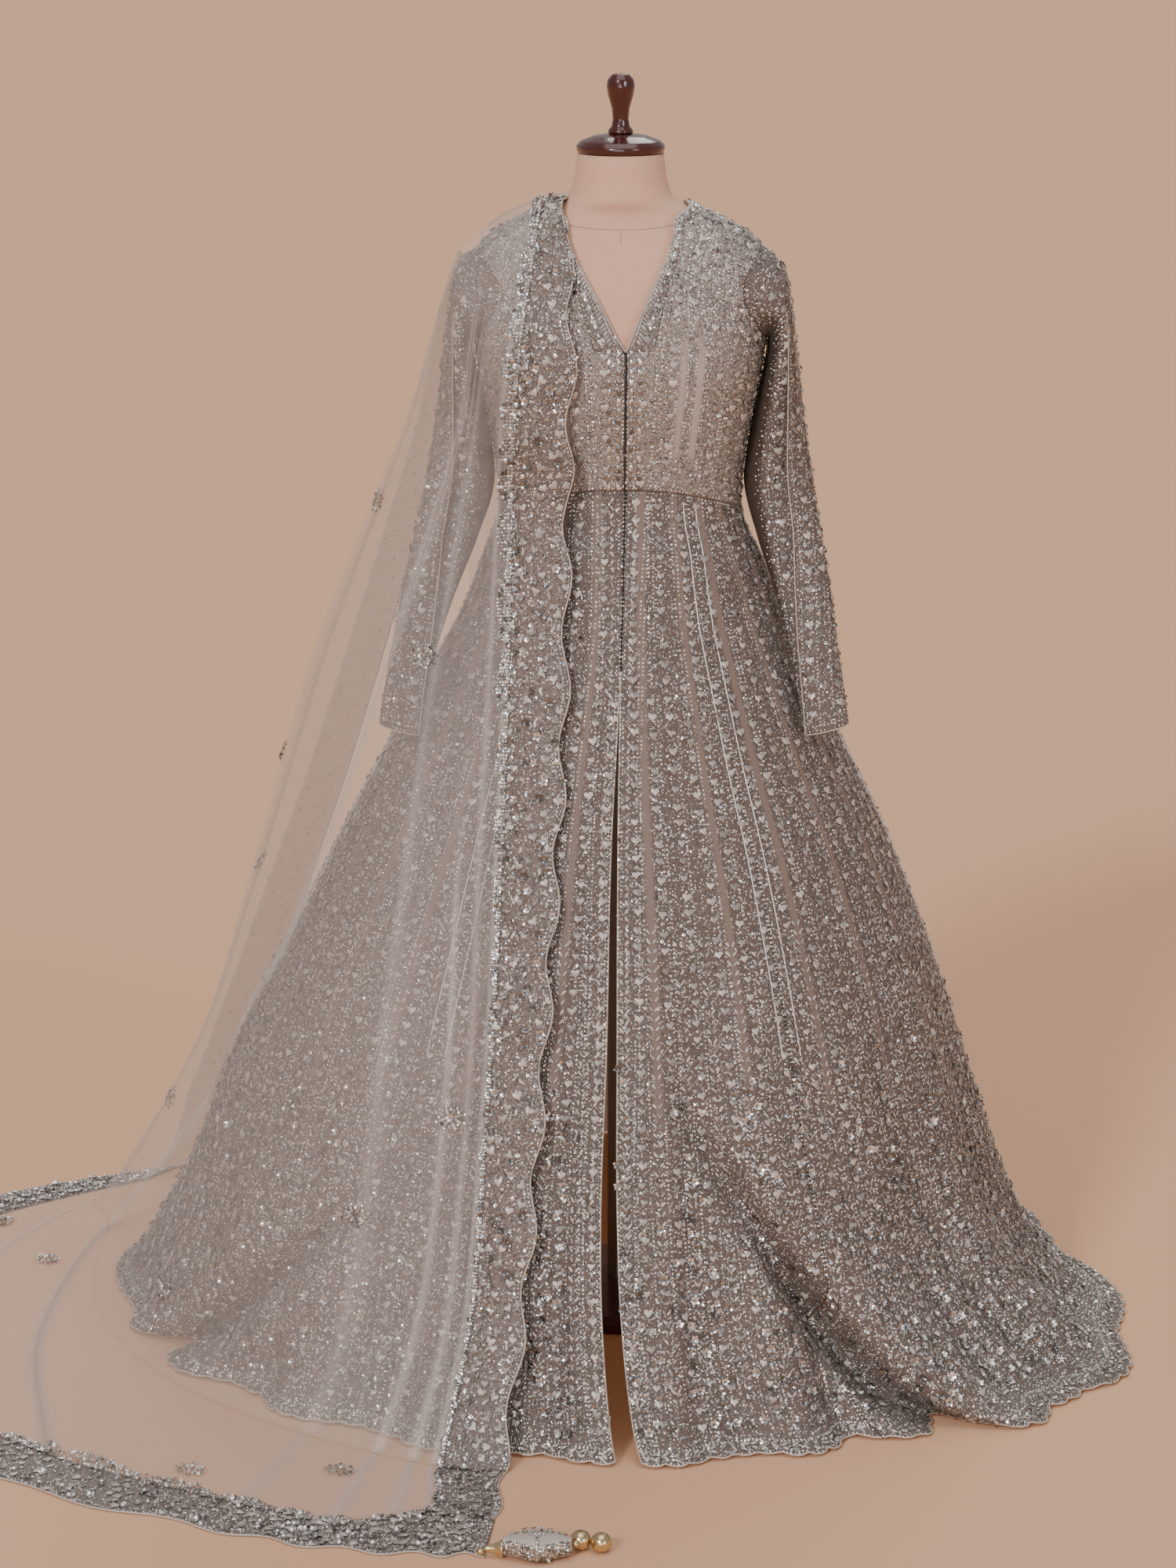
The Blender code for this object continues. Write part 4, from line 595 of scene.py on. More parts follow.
def read_smoothly(values: Array, at: Array, steady: bool = False) -> Array:
    """Values read smoothly at places between them.

    Args:
        values: for each place, or for all, rows of numbers.
        at: where they are read, as a row number.
        steady: keeps the curve from swinging past the rows.

    Returns:
        The numbers at each place.
    """
    if values.ndim == 2:
        values = np.broadcast_to(values, (len(at), *values.shape))
    last, rows = values.shape[1] - 1, np.arange(len(at))
    i = np.clip(at.astype(int), 0, last - 1)
    t = (at - i)[:, None]
    a, b = values[rows, i], values[rows, i + 1]
    past, ahead = values[rows, np.maximum(i - 1, 0)], values[rows, np.minimum(i + 2, last)]
    first, final = (i == 0)[:, None], (i + 2 > last)[:, None]
    before = np.where(first, b - a, (b - past) / 2)
    after = np.where(final, b - a, (ahead - a) / 2)
    if steady:
        before = calmed(before, b - a, np.where(first, b - a, a - past))
        after = calmed(after, b - a, np.where(final, b - a, ahead - b))
    return (a * (1 + 2 * t) * (1 - t) ** 2 + b * t * t * (3 - 2 * t)
            + before * t * (1 - t) ** 2 - after * t * t * (1 - t))


def calmed(slope: Array, one: Array, other: Array) -> Array:
    """A slope, no steeper than twice the lesser of the steps beside it, and none where they turn back."""
    most = 2 * np.minimum(abs(one), abs(other)) * (one * other > 0)
    return np.clip(slope, -most, most)


class DrapeShape:
    """The dupatta's surfaces over the gown that it is kept clear of."""

    def __init__(self, gown: BVHTree) -> None:
        """Lays out its lines.

        Args:
            gown: the faces of the form, the bodice and the sleeves.
        """
        self.gown = gown
        heights = (*DRAPE_HEIGHTS, LOW, LOW, LOW)
        self.lines: Array = np.array([[root] + [(x, y, z) for (x, y), z in zip(line, heights)]
                                      for root, line in zip(DRAPE_SHOULDER, DRAPE_LINES)])
        self.down = len(DRAPE_HEIGHTS) + 1
        self.last = self.down + 2
        steps = np.linalg.norm(np.diff(self.lines[0], axis=0), axis=1)
        self.edge_length: Array = np.concatenate([[0], np.cumsum(steps)])

    def clear_of_shoulder(self, p: Array, room: Array) -> Array:
        """Points moved out on rays from inside the shoulder until they are clear of the gown."""
        out = []
        for q, gap in zip(p, room):
            start = Vector((max(q[0], SHOULDER_INSIDE), 0.0, CHEST))
            reach = (Vector(q) - start).length
            for aside in RAYS:
                ray = (Vector(q) + Vector(aside) - start).normalized()
                hit = self.gown.ray_cast(start + ray * SHOULDER_REACH, -ray, SHOULDER_REACH)[0]
                if hit is not None and hit.z < NECK_POINT + NECK_ROOM:
                    reach = max(reach, (hit - start).length + gap)
            out.append(start + (Vector(q) - start).normalized() * reach)
        return np.array(out)

    def clear_of_body(self, p: Array, room: float) -> Array:
        """Points moved outwards until they are clear of the bodice and the skirt."""
        x, y, z = p.T
        reach = np.maximum(np.hypot(x, y), 1e-9)
        half, deep = BODY.at(1, z), np.where(y < 0, BODY.at(2, z), BODY.at(3, z))
        power = 2 / BODY_SQUARE
        share = np.maximum(np.abs(x / half) ** power + np.abs(y / deep) ** power, 1e-9)
        above = reach / share ** (BODY_SQUARE / 2)
        along = np.interp(-z, -SKIRT.rows[:, HEIGHT], SKIRT.rows[:, 0])
        side = np.where(x > 0, SKIRT.at(LEFT, along), SKIRT.at(RIGHT, along))
        wide = np.where(y < 0, SKIRT.at(FRONT, along), SKIRT.at(BACK, along))
        angle = np.degrees(np.arctan2(y / wide, x / side))
        near = [skirt_points(angle + d, along) for d in NEAR_ANGLES]
        below = np.max([np.hypot(q[:, 0], q[:, 1]) for q in near], axis=0)
        lack = np.maximum(np.where(z >= WAIST_SIDE - WAIST_ROOM, above, below) + room - reach, 0)
        return p * np.stack([1 + lack / reach, 1 + lack / reach, np.ones(len(p))], -1)

    def clear_of_sleeve(self, p: Array, room: float) -> Array:
        """Points moved away from the sleeve at the wearer's right until they are clear of it."""
        x, y, z = p.T
        heights = (SLEEVE.rows[:, IN_Z] + SLEEVE.rows[:, OUT_Z]) / 2
        along = np.interp(-z, -heights, SLEEVE.rows[:, 0])
        flat = np.zeros(len(p))
        inner, outer = sleeve_points(-1, flat + 180, along), sleeve_points(-1, flat, along)
        middle = (inner + outer) / 2
        deep = SLEEVE.at(HALF_Y, along) + SLEEVE.at(CREASE, along) * CREASE_SHARE + room
        half = np.abs(outer[:, 0] - inner[:, 0]) / 2 + room
        dx, dy = x + middle[:, 0], y - middle[:, 1]
        k = np.maximum(np.hypot(dx / half, dy / deep), 1e-6)
        behind = np.stack([x + dx * (1 / k - 1), y + dy * (1 / k - 1), z], -1)
        front = np.stack([x, middle[:, 1] - deep * np.sqrt(np.maximum(0.0, 1 - (dx / half) ** 2)), z], -1)
        moved = np.where(((dy > BEHIND_ARM * deep) & (dx < 0))[:, None], behind, front)
        free = (k >= 1) | (z < SLEEVE.rows[-1, IN_Z] - CUFF_ROOM) | (z > ARM_TOP)
        return np.where(free[:, None], p, moved)

    def point(self, across: Array, down: Array) -> Array:
        """The outside of the cloth, across its lines and down them."""
        lines = np.stack([read_smoothly(line, down) for line in self.lines], 1)
        turn = (np.arctan2(lines[..., 1], lines[..., 0]) - 2 * math.pi) % (-2 * math.pi)
        rings = np.stack([turn, np.hypot(lines[..., 0], lines[..., 1]), lines[..., 2]], -1)
        turn, reach, height = read_smoothly(rings, across, steady=True).T
        floor = down >= self.down
        p = np.stack([reach * np.cos(turn), reach * np.sin(turn), np.where(floor, LOW, height)], -1)
        hang = smooth(down / FOLDS_FROM) * smooth((self.down - down) / FOLDS_TO)
        wave = np.sin(2 * math.pi * DRAPE_FOLDS * across / (len(self.lines) - 1))
        back = np.where(across < BEHIND_LINE, 1, BEHIND_SHARE)
        outwards = unit(np.stack([p[:, 0], p[:, 1] * back, 0 * across], -1))
        inside = smooth(across / SIDE_EDGE) * smooth((len(self.lines) - 1 - across) / SIDE_EDGE)
        p = p + outwards * (wave * DRAPE_FOLD_DEPTH * hang * inside * ~floor)[:, None]
        p[:, 2] = np.maximum(p[:, 2], LOW)
        high = (p[:, 2] > CHEST) & ~floor
        clear = self.clear_of_body(p, DRAPE_CLEAR)
        clear = np.where(floor[:, None], clear, self.clear_of_sleeve(clear, DRAPE_CLEAR))
        return self.on_shoulder(p, clear, high, down)

    def on_shoulder(self, p: Array, clear: Array, high: Array, down: Array) -> Array:
        """Points that are clear of the gown, those that lie high on the shoulder too.

        Args:
            p: where the cloth would lie.
            clear: the same, clear of the body and the sleeve.
            high: which of them lie high.
            down: how far down the lines each is.

        Returns:
            The points.
        """
        if high.any():
            room = SHOULDER_CLEAR + (DRAPE_CLEAR - SHOULDER_CLEAR) * smooth(down / SHOULDER_END)
            clear[high] = self.clear_of_shoulder(p[high], room[high])
        return clear

    def edge(self, across: Array, down: Array) -> Array:
        """The same, with the scallops of its border along its first line."""
        p = self.point(across, down)
        length = np.interp(down, np.arange(self.last + 1), self.edge_length)
        wave = 0.5 + 0.5 * np.cos(2 * math.pi * (length - SCALLOP_START) / BIG_SCALLOP)
        inner = self.point(np.ones(len(down)), down)
        pull = BIG_SCALLOP_DEPTH * 2 * wave * np.maximum(0.0, 1 - across) * smooth(down / SCALLOPS_FROM)
        return p + unit(inner - p) * pull[:, None]

    def end(self, across: Array, out: Array) -> Array:
        """The border at the end of the cloth, on the floor, from its inner to its scalloped edge."""
        inner = self.point(across, np.full(len(across), float(self.last)))
        outer = np.column_stack([read_smoothly(np.array(END_EDGE), across), np.full(len(across), LOW)])
        way = unit(outer - inner)
        wave = 0.5 - 0.5 * np.cos(2 * math.pi * across * END_SPACING / BIG_SCALLOP)
        pull = (SEAM + BIG_SCALLOP_DEPTH * 2 * wave)[:, None]
        return inner + way * SEAM + (outer - inner - way * pull) * out[:, None]

    def behind(self, across: Array, down: Array) -> Array:
        """The cloth behind the shoulder, hanging down the back of the gown."""
        root = read_smoothly(self.lines[:, 0], across)
        y, z = read_smoothly(np.array(BACK_FALL), down).T
        low = smooth((down - 2) / 4)
        wave = np.sin(2 * math.pi * BACK_FOLDS * across / BACK_LINES)
        x = root[:, 0] + BACK_SHIFT * low * (1 - BACK_DRAW_IN * across / BACK_LINES)
        z = z + (root[:, 2] - BACK_FALL[0][1]) * smooth((2 - down) / 2)
        p = np.stack([x, y + wave * DRAPE_FOLD_DEPTH * low, z], -1)
        return self.on_shoulder(p, self.clear_of_body(p, DRAPE_CLEAR), z > CHEST, down)


STRAY = 0.35  # how far strewn things may lie from an even spacing, for its pitch
OVER_ENDS, DOWN_ENDS = (0.004, 0.996), (0.002, 0.998)  # strewn things stay between these shares of a cloth
WITHIN = (0.006, 0.994)  # and lines of beads between these
TIPPED_LIFT = 0.4  # how far a tipped shape is lifted, for its width and its slope
PIPING_SUNK = 0.0006  # piping lies on an edge this far below the outside
PIPING_SIDES = 5
SCALLOP_ROUND = 0.7  # below 1, a scallop is fuller than a wave
LONG_LINE, CLOSE_LINE = 0.0052, 0.0050  # from bead to bead along most lines
EDGE_PIPE, BAND_PIPE, SHADOW_PIPE = 0.0013, 0.0012, 0.0011  # radius


class Weave:
    """A piece of cloth as a fine grid of points, rows downwards, with its directions and lengths."""

    def __init__(self, points: Array, outward: float = 1.0) -> None:
        """Works out directions and lengths.

        Args:
            points: rows, columns and x, y, z.
            outward: 1 where across, then down, leaves the outside on the right hand, otherwise -1.
        """
        self.points = points
        down, over = np.gradient(points, axis=0), np.gradient(points, axis=1)
        self.normals = unit(np.cross(down, over)) * outward
        self.over, self.down = unit(over), unit(down)
        steps = np.linalg.norm(np.diff(points, axis=0), axis=2)
        self.lengths = np.vstack([np.zeros(points.shape[1]), np.cumsum(steps, axis=0)])
        steps = np.linalg.norm(np.diff(points, axis=1), axis=2)
        self.widths = np.hstack([np.zeros((points.shape[0], 1)), np.cumsum(steps, axis=1)])

    def area(self) -> float:
        """The area of one face of the cloth."""
        a = self.points[1:, 1:] - self.points[:-1, :-1]
        b = self.points[1:, :-1] - self.points[:-1, 1:]
        return float(np.linalg.norm(np.cross(a, b), axis=2).sum() / 2)

    def lay(self, u: Array, v: Array) -> tuple[Array, Array, Array, Array]:
        """Places on the cloth.

        Args:
            u: share of the way across.
            v: share of the way down.

        Returns:
            The points, the directions across and down, and the normals.
        """
        rows, columns = self.points.shape[:2]
        x, y = np.clip(u, 0, 1) * (columns - 1), np.clip(v, 0, 1) * (rows - 1)
        i, j = np.minimum(x.astype(int), columns - 2), np.minimum(y.astype(int), rows - 2)
        a, b = (x - i)[:, None], (y - j)[:, None]

        def mixed(grid: Array) -> Array:
            return ((grid[j, i] * (1 - a) + grid[j, i + 1] * a) * (1 - b)
                    + (grid[j + 1, i] * (1 - a) + grid[j + 1, i + 1] * a) * b)
        over, normal = unit(mixed(self.over)), unit(mixed(self.normals))
        down = mixed(self.down)
        down = unit(down - over * np.sum(down * over, -1, keepdims=True))
        return mixed(self.points), over, down, normal

    def width(self, v: Array) -> Array:
        """How wide the cloth is at shares of the way down."""
        rows = len(self.points)
        return np.interp(v, np.linspace(0, 1, rows), self.widths[:, -1])

    def down_line(self, u: float, start: float, end: float, pitch: float) -> Array:
        """Shares of the way down, a pitch apart on the cloth, along one column.

        Args:
            u: the column, as a share of the way across.
            start: the first share of the way down.
            end: the last.
            pitch: the distance from one to the next.

        Returns:
            The shares.
        """
        rows, columns = self.lengths.shape
        arc = self.lengths[:, int(round(u * (columns - 1)))]
        share = np.linspace(0, 1, rows)
        return np.interp(np.arange(*np.interp([start, end], share, arc), pitch), arc, share)

    def over_line(self, v: float, start: float, end: float, pitch: float) -> Array:
        """The same across the cloth, along one row."""
        rows, columns = self.widths.shape
        arc = self.widths[int(round(v * (rows - 1)))]
        share = np.linspace(0, 1, columns)
        return np.interp(np.arange(*np.interp([start, end], share, arc), pitch), arc, share)

    def scatter(self, pitch: float, dice: np.random.Generator, start: float,
                end: float) -> tuple[Array, Array]:
        """Places all over the cloth, about a pitch apart.

        Args:
            pitch: the distance between neighbours.
            dice: the source of their unevenness.
            start: the first share of the way down.
            end: the last.

        Returns:
            Shares across and down.
        """
        us, vs = [], []
        for k, v in enumerate(self.down_line(0.5, start, end, pitch)):
            count = max(1, int(self.width(v) / pitch))
            u = (np.arange(count) + 0.5 * (k % 2) + 0.25) / count
            us.append(u + dice.uniform(-STRAY, STRAY, count) / count)
            vs.append(v + dice.uniform(-STRAY, STRAY, count) * pitch / self.lengths[-1].mean())
        return np.clip(np.concatenate(us), *OVER_ENDS), np.clip(np.concatenate(vs), *DOWN_ENDS)

    def under(self, where: object, depth: float) -> Array:
        """Points of the cloth's own grid, sunk below its outside by a depth."""
        return self.points[where] - self.normals[where] * depth


@dataclass(frozen=True)
class Motif:
    """A small sewn shape: its corners, its triangles, and which thread or bead it is made of."""

    corners: Array
    faces: Array
    finish: int


class Trim(Enum):
    """What a sewn shape is made of, as a place in the list of an embroidery's materials."""

    THREAD = 0
    BEAD = 1
    SEQUIN = 2
    PIPING = 3
    SATIN = 4
    # A dark cord painted as the shadow in a gap between pieces; the form's neck seam puts a real seam thread
    # in this place.
    SHADOW = 5


def motif(bm: bmesh.types.BMesh, trim: Trim) -> Motif:
    """A motif from a shape.

    Args:
        bm: the shape, about 1 wide, flat on the cloth, which is freed.
        trim: what it is made of.

    Returns:
        The motif.
    """
    bmesh.ops.triangulate(bm, faces=bm.faces)
    bm.verts.index_update()
    corners = np.array([v.co for v in bm.verts])
    faces = np.array([[v.index for v in f.verts] for f in bm.faces])
    bm.free()
    return Motif(corners, faces, trim.value)


def disc(segments: int, radius: float = 0.5, rise: float = 0.0) -> bmesh.types.BMesh:
    """A round fan with its middle raised."""
    bm = bmesh.new()
    bmesh.ops.create_circle(bm, cap_ends=True, cap_tris=True, segments=segments, radius=radius)
    for v in bm.verts:
        if v.co.length < MERGE:
            v.co.z = rise
    return bm


def make_motifs() -> dict[str, Motif]:
    """All the sewn shapes of the gown, by name."""
    made: dict[str, Motif] = {}
    for name, sides in (("bead", 5), ("seed", 4)):
        bm = bmesh.new()
        bmesh.ops.create_cone(bm, cap_ends=False, segments=sides, radius1=0.5, radius2=0.0, depth=0.58)
        bmesh.ops.remove_doubles(bm, verts=bm.verts, dist=MERGE)
        bmesh.ops.translate(bm, verts=bm.verts, vec=(0, 0, 0.20))
        made[name] = motif(bm, Trim.BEAD)
    made["sequin"] = motif(disc(6, rise=0.22), Trim.SEQUIN)
    bm = disc(6, rise=0.20)
    for v in bm.verts:
        v.co.x *= 0.56
    made["paillette"] = motif(bm, Trim.SEQUIN)
    bm = disc(10, rise=0.24)
    for v in bm.verts:
        if v.co.xy.length > MERGE:
            t = math.atan2(v.co.x, v.co.y)
            v.co.x = 0.5 * math.sin(t) ** 3 * 1.02
            v.co.y = -(13 * math.cos(t) - 5 * math.cos(2 * t) - 2 * math.cos(3 * t) - math.cos(4 * t)) / 32
            v.co.z = 0.05
    made["heart"] = motif(bm, Trim.THREAD)
    bm = disc(6, rise=0.16)
    for v in bm.verts:
        v.co.x *= 0.46 * (1 - 0.5 * abs(v.co.y))
        v.co.z += 0.04
    made["leaf"] = motif(bm, Trim.THREAD)
    bm = bmesh.new()
    for k in range(5):
        turn = 2 * math.pi * k / 5
        petal = bmesh.ops.create_circle(bm, cap_ends=True, cap_tris=True, segments=4, radius=0.22)["verts"]
        for v in petal:
            v.co.z = 0.10 + (0.06 if v.co.xy.length < MERGE else 0.12 * v.co.x / 0.21)
            v.co.x += 0.29
            c, s = math.cos(turn), math.sin(turn)
            v.co.x, v.co.y = v.co.x * c - v.co.y * s, v.co.x * s + v.co.y * c
    made["flower"] = motif(bm, Trim.SEQUIN)
    return made


@dataclass
class Embroidery:
    """Sewn shapes gathered for one piece of cloth, joined into one mesh."""

    name: str
    motifs: dict[str, Motif]
    seed: int
    corners: list[Array] = field(default_factory=list)
    faces: list[Array] = field(default_factory=list)
    finishes: list[Array] = field(default_factory=list)
    glints: list[Array] = field(default_factory=list)
    count: int = 0

    def __post_init__(self) -> None:
        """Starts its own dice."""
        self.dice = np.random.default_rng(self.seed)

    def sew(self, kind: str, weave: Weave, u: Array | float, v: Array | float, size: Array | float | Span,
            turn: Array | float = 0.0, sway: Span | None = None, tilt: float = 0.0, lift: float = 0.0,
            aside: Array | None = None) -> None:
        """Sews one kind of shape at places on the cloth.

        Args:
            kind: the motif's name.
            weave: the cloth.
            u: shares of the way across.
            v: shares of the way down.
            size: width of each, or the least and the most.
            turn: degrees that each is turned on the cloth.
            sway: how many degrees it may be turned from that, at the least and the most.
            tilt: how unevenly each is tipped, as a slope.
            lift: how far over the cloth it is sewn.
            aside: how far across and down from its place each is sewn.
        """
        u, v = (np.atleast_1d(places).astype(float) for places in np.broadcast_arrays(u, v))
        shape, count = self.motifs[kind], len(v)
        if not count:
            return
        if isinstance(size, tuple):
            size = self.dice.uniform(*size, count)
        if sway:
            turn = turn + self.dice.uniform(*sway, count)
        p, over, down, n = weave.lay(u, v)
        if aside is not None:
            p = p + over * aside[:, :1] + down * aside[:, 1:]
        angle = np.radians(np.broadcast_to(turn, count))[:, None]
        x_axis = over * np.cos(angle) + down * np.sin(angle)
        y_axis = down * np.cos(angle) - over * np.sin(angle)
        lean = self.dice.normal(0, 1, (count, 2)) * tilt
        size = np.broadcast_to(size, count)[:, None, None]
        flat = shape.corners[None] * size
        slope = flat[..., :1] * -lean[:, None, :1] + flat[..., 1:2] * -lean[:, None, 1:]
        height = flat[..., 2:] + slope + np.abs(lean).sum(1)[:, None, None] * size * TIPPED_LIFT + lift
        bent = (p[:, None] + flat[..., :1] * x_axis[:, None] + flat[..., 1:2] * y_axis[:, None]
                + height * n[:, None])
        faces = shape.faces[None] + np.arange(count)[:, None, None] * len(shape.corners)
        glint = np.repeat(self.dice.uniform(0, 1, count), len(shape.corners))
        self.add(bent.reshape(-1, 3), faces.reshape(-1, 3), shape.finish, glint)

    def strew(self, weave: Weave, pitch: float, bare: Sequence[float] = (), bare_end: float = 0.0,
              half: float = 0.004, bare_start: float = -1.0) -> None:
        """Strews seed beads all over, except along bare strips.

        Args:
            weave: the cloth.
            pitch: the distance between neighbours.
            bare: the strips' places, as shares of the way across.
            bare_end: how far down the strips run.
            half: half a strip's width.
            bare_start: how far down they begin.
        """
        u, v = weave.scatter(pitch, self.dice, 0.004, 0.992)
        wide = weave.width(v)
        keep = np.ones(len(u), bool)
        for place in bare:
            keep &= (np.abs(u - place) * wide > half + 0.0015) | (v > bare_end) | (v < bare_start)
        u, v = u[keep], v[keep]
        self.sew("seed", weave, u, v, (0.0023, 0.0035), tilt=0.12,
                 sway=(0, 90))

    def add(self, corners: Array, faces: Array, finish: int, glint: Array) -> None:
        """Adds corners and triangles of one finish."""
        self.corners.append(corners)
        self.faces.append(faces + self.count)
        self.finishes.append(np.full(len(faces), finish))
        self.glints.append(glint)
        self.count += len(corners)

    def pipe(self, path: Array, radius: float, trim: Trim = Trim.PIPING) -> None:
        """Sews a round cord of piping along a path.

        Args:
            path: the points of its middle.
            radius: its radius.
            trim: what it is made of.
        """
        ahead = unit(np.gradient(path, axis=0))
        aside = unit(np.cross(ahead, np.array((0.13, 0.21, 0.97))))
        up = np.cross(ahead, aside)
        turn = np.linspace(0, 2 * math.pi, PIPING_SIDES, endpoint=False)
        ring = np.cos(turn)[None, :, None] * aside[:, None] + np.sin(turn)[None, :, None] * up[:, None]
        corners = (path[:, None] + ring * radius).reshape(-1, 3)
        i, k = np.meshgrid(np.arange(len(path) - 1), np.arange(PIPING_SIDES), indexing="ij")
        a, b = i * PIPING_SIDES + k, i * PIPING_SIDES + (k + 1) % PIPING_SIDES
        c, d = a + PIPING_SIDES, b + PIPING_SIDES
        faces = np.concatenate([np.stack(three, -1).reshape(-1, 3) for three in ((a, c, b), (b, c, d))])
        self.add(corners, faces, trim.value, np.full(len(corners), 0.5))

    def make(self, finishes: Sequence[Material]) -> Piece | None:
        """Joins what was sewn into one piece.

        Args:
            finishes: the materials, in the order of Trim.

        Returns:
            The piece, or nothing where nothing was sewn.
        """
        if not self.count:
            return None
        corners, faces = np.concatenate(self.corners), np.concatenate(self.faces)
        mesh = bpy.data.meshes.new(self.name)
        mesh.vertices.add(len(corners))
        mesh.vertices.foreach_set("co", corners.astype(np.float32).ravel())
        mesh.loops.add(faces.size)
        mesh.loops.foreach_set("vertex_index", faces.astype(np.int32).ravel())
        mesh.polygons.add(len(faces))
        mesh.polygons.foreach_set("loop_start", np.arange(0, faces.size, 3, dtype=np.int32))
        mesh.polygons.foreach_set("material_index", np.concatenate(self.finishes).astype(np.int32))
        mesh.update(calc_edges=True)
        glint = mesh.attributes.new("glint", "FLOAT", "POINT")
        glint.data.foreach_set("value", np.concatenate(self.glints).astype(np.float32))
        log.info("%s: %d triangles", self.name, len(faces))
        return placed(mesh, finishes)


def mesh_of(name: str, bm: bmesh.types.BMesh) -> bpy.types.Mesh:
    """A smoothly shaded mesh of a shape, which is freed."""
    for face in bm.faces:
        face.smooth = True
    mesh = bpy.data.meshes.new(name)
    bm.to_mesh(mesh)
    bm.free()
    return mesh


def linked(name: str, data: bpy.types.ID) -> Piece:
    """A new object in the scene."""
    made = bpy.data.objects.new(name, data)
    bpy.context.scene.collection.objects.link(made)
    return made


def placed(mesh: bpy.types.Mesh, finishes: Sequence[Material]) -> Piece:
    """A piece of the gown or the form, with its materials and its body."""
    for material in finishes:
        mesh.materials.append(material)
    made = linked(mesh.name, mesh)
    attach(made, ROOT)
    return made


def turned_skin(name: str, profile: Sequence[Sequence[float]], middle: Sequence[float], axis: Sequence[float],
                steps: int, bevel: float = 0.0) -> bpy.types.Mesh:
    """The skin of something turned: its outline, spun round an axis.

    Args:
        name: the mesh's name.
        profile: the outline's points, from the axis to the axis.
        middle: a point of the axis.
        axis: the axis's direction.
        steps: how many steps it has all round.
        bevel: how far its corners are rounded.

    Returns:
        The mesh.
    """
    bm = bmesh.new()
    verts = [bm.verts.new(point) for point in profile]
    for pair in zip(verts[:-1], verts[1:]):
        bm.edges.new(pair)
    if bevel:
        bmesh.ops.bevel(bm, geom=verts[1:-1], offset=bevel, segments=2, profile=0.5, affect="VERTICES",
                        material=-1)
    bmesh.ops.spin(bm, geom=list(bm.verts) + list(bm.edges), cent=middle, axis=axis, angle=2 * math.pi,
                   steps=steps, use_merge=True)
    bmesh.ops.remove_doubles(bm, verts=bm.verts, dist=MERGE)
    bmesh.ops.recalc_face_normals(bm, faces=bm.faces)
    return mesh_of(name, bm)


def add_node(tree: Tree, kind: str, settings: dict[str, object] | None = None,
             **inputs: object) -> Node:
    """A node with its settings and input values.

    Args:
        tree: where it goes.
        kind: its type.
        settings: its own properties.
        inputs: values of its inputs, by name, with _ for a space.

    Returns:
        The node.
    """
    node = tree.nodes.new(kind)
    for key, value in (settings or {}).items():
        setattr(node, key, value)
    for key, value in inputs.items():
        node.inputs[key.replace("_", " ")].default_value = value
    return node


def maths(tree: Tree, operation: str, a: object, b: object = 0.0) -> Socket:
    """The output of a math node over sockets or numbers."""
    node = add_node(tree, "ShaderNodeMath", {"operation": operation})
    for place, value in enumerate((a, b)):
        if isinstance(value, Socket):
            tree.links.new(value, node.inputs[place])
        else:
            node.inputs[place].default_value = value
    return node.outputs[0]


def mixed(tree: Tree, share: object, a: object, b: object) -> Socket:
    """The output of a colour mix over sockets or colours."""
    node = add_node(tree, "ShaderNodeMix", {"data_type": "RGBA"})
    for place, value in ((0, share), (6, a), (7, b)):
        if isinstance(value, Socket):
            tree.links.new(value, node.inputs[place])
        elif place:
            node.inputs[place].default_value = (*value, 1)
        else:
            node.inputs[place].default_value = value
    return node.outputs[2]


def attribute(tree: Tree, name: str) -> Socket:
    """The value that a mesh carries under a name."""
    return add_node(tree, "ShaderNodeAttribute", {"attribute_name": name}).outputs["Fac"]


def shades(colour: Colour, low: float, high: float) -> tuple[list[float], list[float]]:
    """A darker and a brighter shade of a colour."""
    return [c * low for c in colour], [min(1, c * high) for c in colour]


def group(name: str, inputs: dict[str, str], outputs: dict[str, str]) -> tuple[
        Tree, Node, Node]:
    """A shader node group with named sockets.

    Args:
        name: its name.
        inputs: socket types by name.
        outputs: the same of its outputs.

    Returns:
        The group, its input node and its output node.
    """
    tree = bpy.data.node_groups.new(name, "ShaderNodeTree")
    for key, kind in inputs.items():
        tree.interface.new_socket(name=key, in_out="INPUT", socket_type=kind)
    for key, kind in outputs.items():
        tree.interface.new_socket(name=key, in_out="OUTPUT", socket_type=kind)
    return tree, tree.nodes.new("NodeGroupInput"), tree.nodes.new("NodeGroupOutput")


FLOAT, VECTOR = "NodeSocketFloat", "NodeSocketVector"
SEED_RADIUS = 0.40  # of a seed bead, for the width of its cell


def weave_group() -> Tree:
    """Crossed threads: a height and a tone, by a place on the cloth in metres."""
    tree, given, out = group("crossed_threads", {"Place": VECTOR, "Threads": FLOAT},
                             {"Height": FLOAT, "Tone": FLOAT})
    parts = add_node(tree, "ShaderNodeSeparateXYZ")
    tree.links.new(given.outputs["Place"], parts.inputs[0])
    waves = []
    for axis in (0, 1):
        turned_by = maths(tree, "MULTIPLY", parts.outputs[axis], given.outputs["Threads"])
        waves.append(maths(tree, "SINE", maths(tree, "MULTIPLY", turned_by, 2 * math.pi)))
    height = maths(tree, "ADD", waves[0], waves[1])
    tree.links.new(maths(tree, "MULTIPLY", height, 0.5), out.inputs["Height"])
    noise = add_node(tree, "ShaderNodeTexNoise", Scale=55.0, Detail=4.0, Roughness=0.6)
    tree.links.new(given.outputs["Place"], noise.inputs["Vector"])
    tree.links.new(noise.outputs[0], out.inputs["Tone"])
    return tree


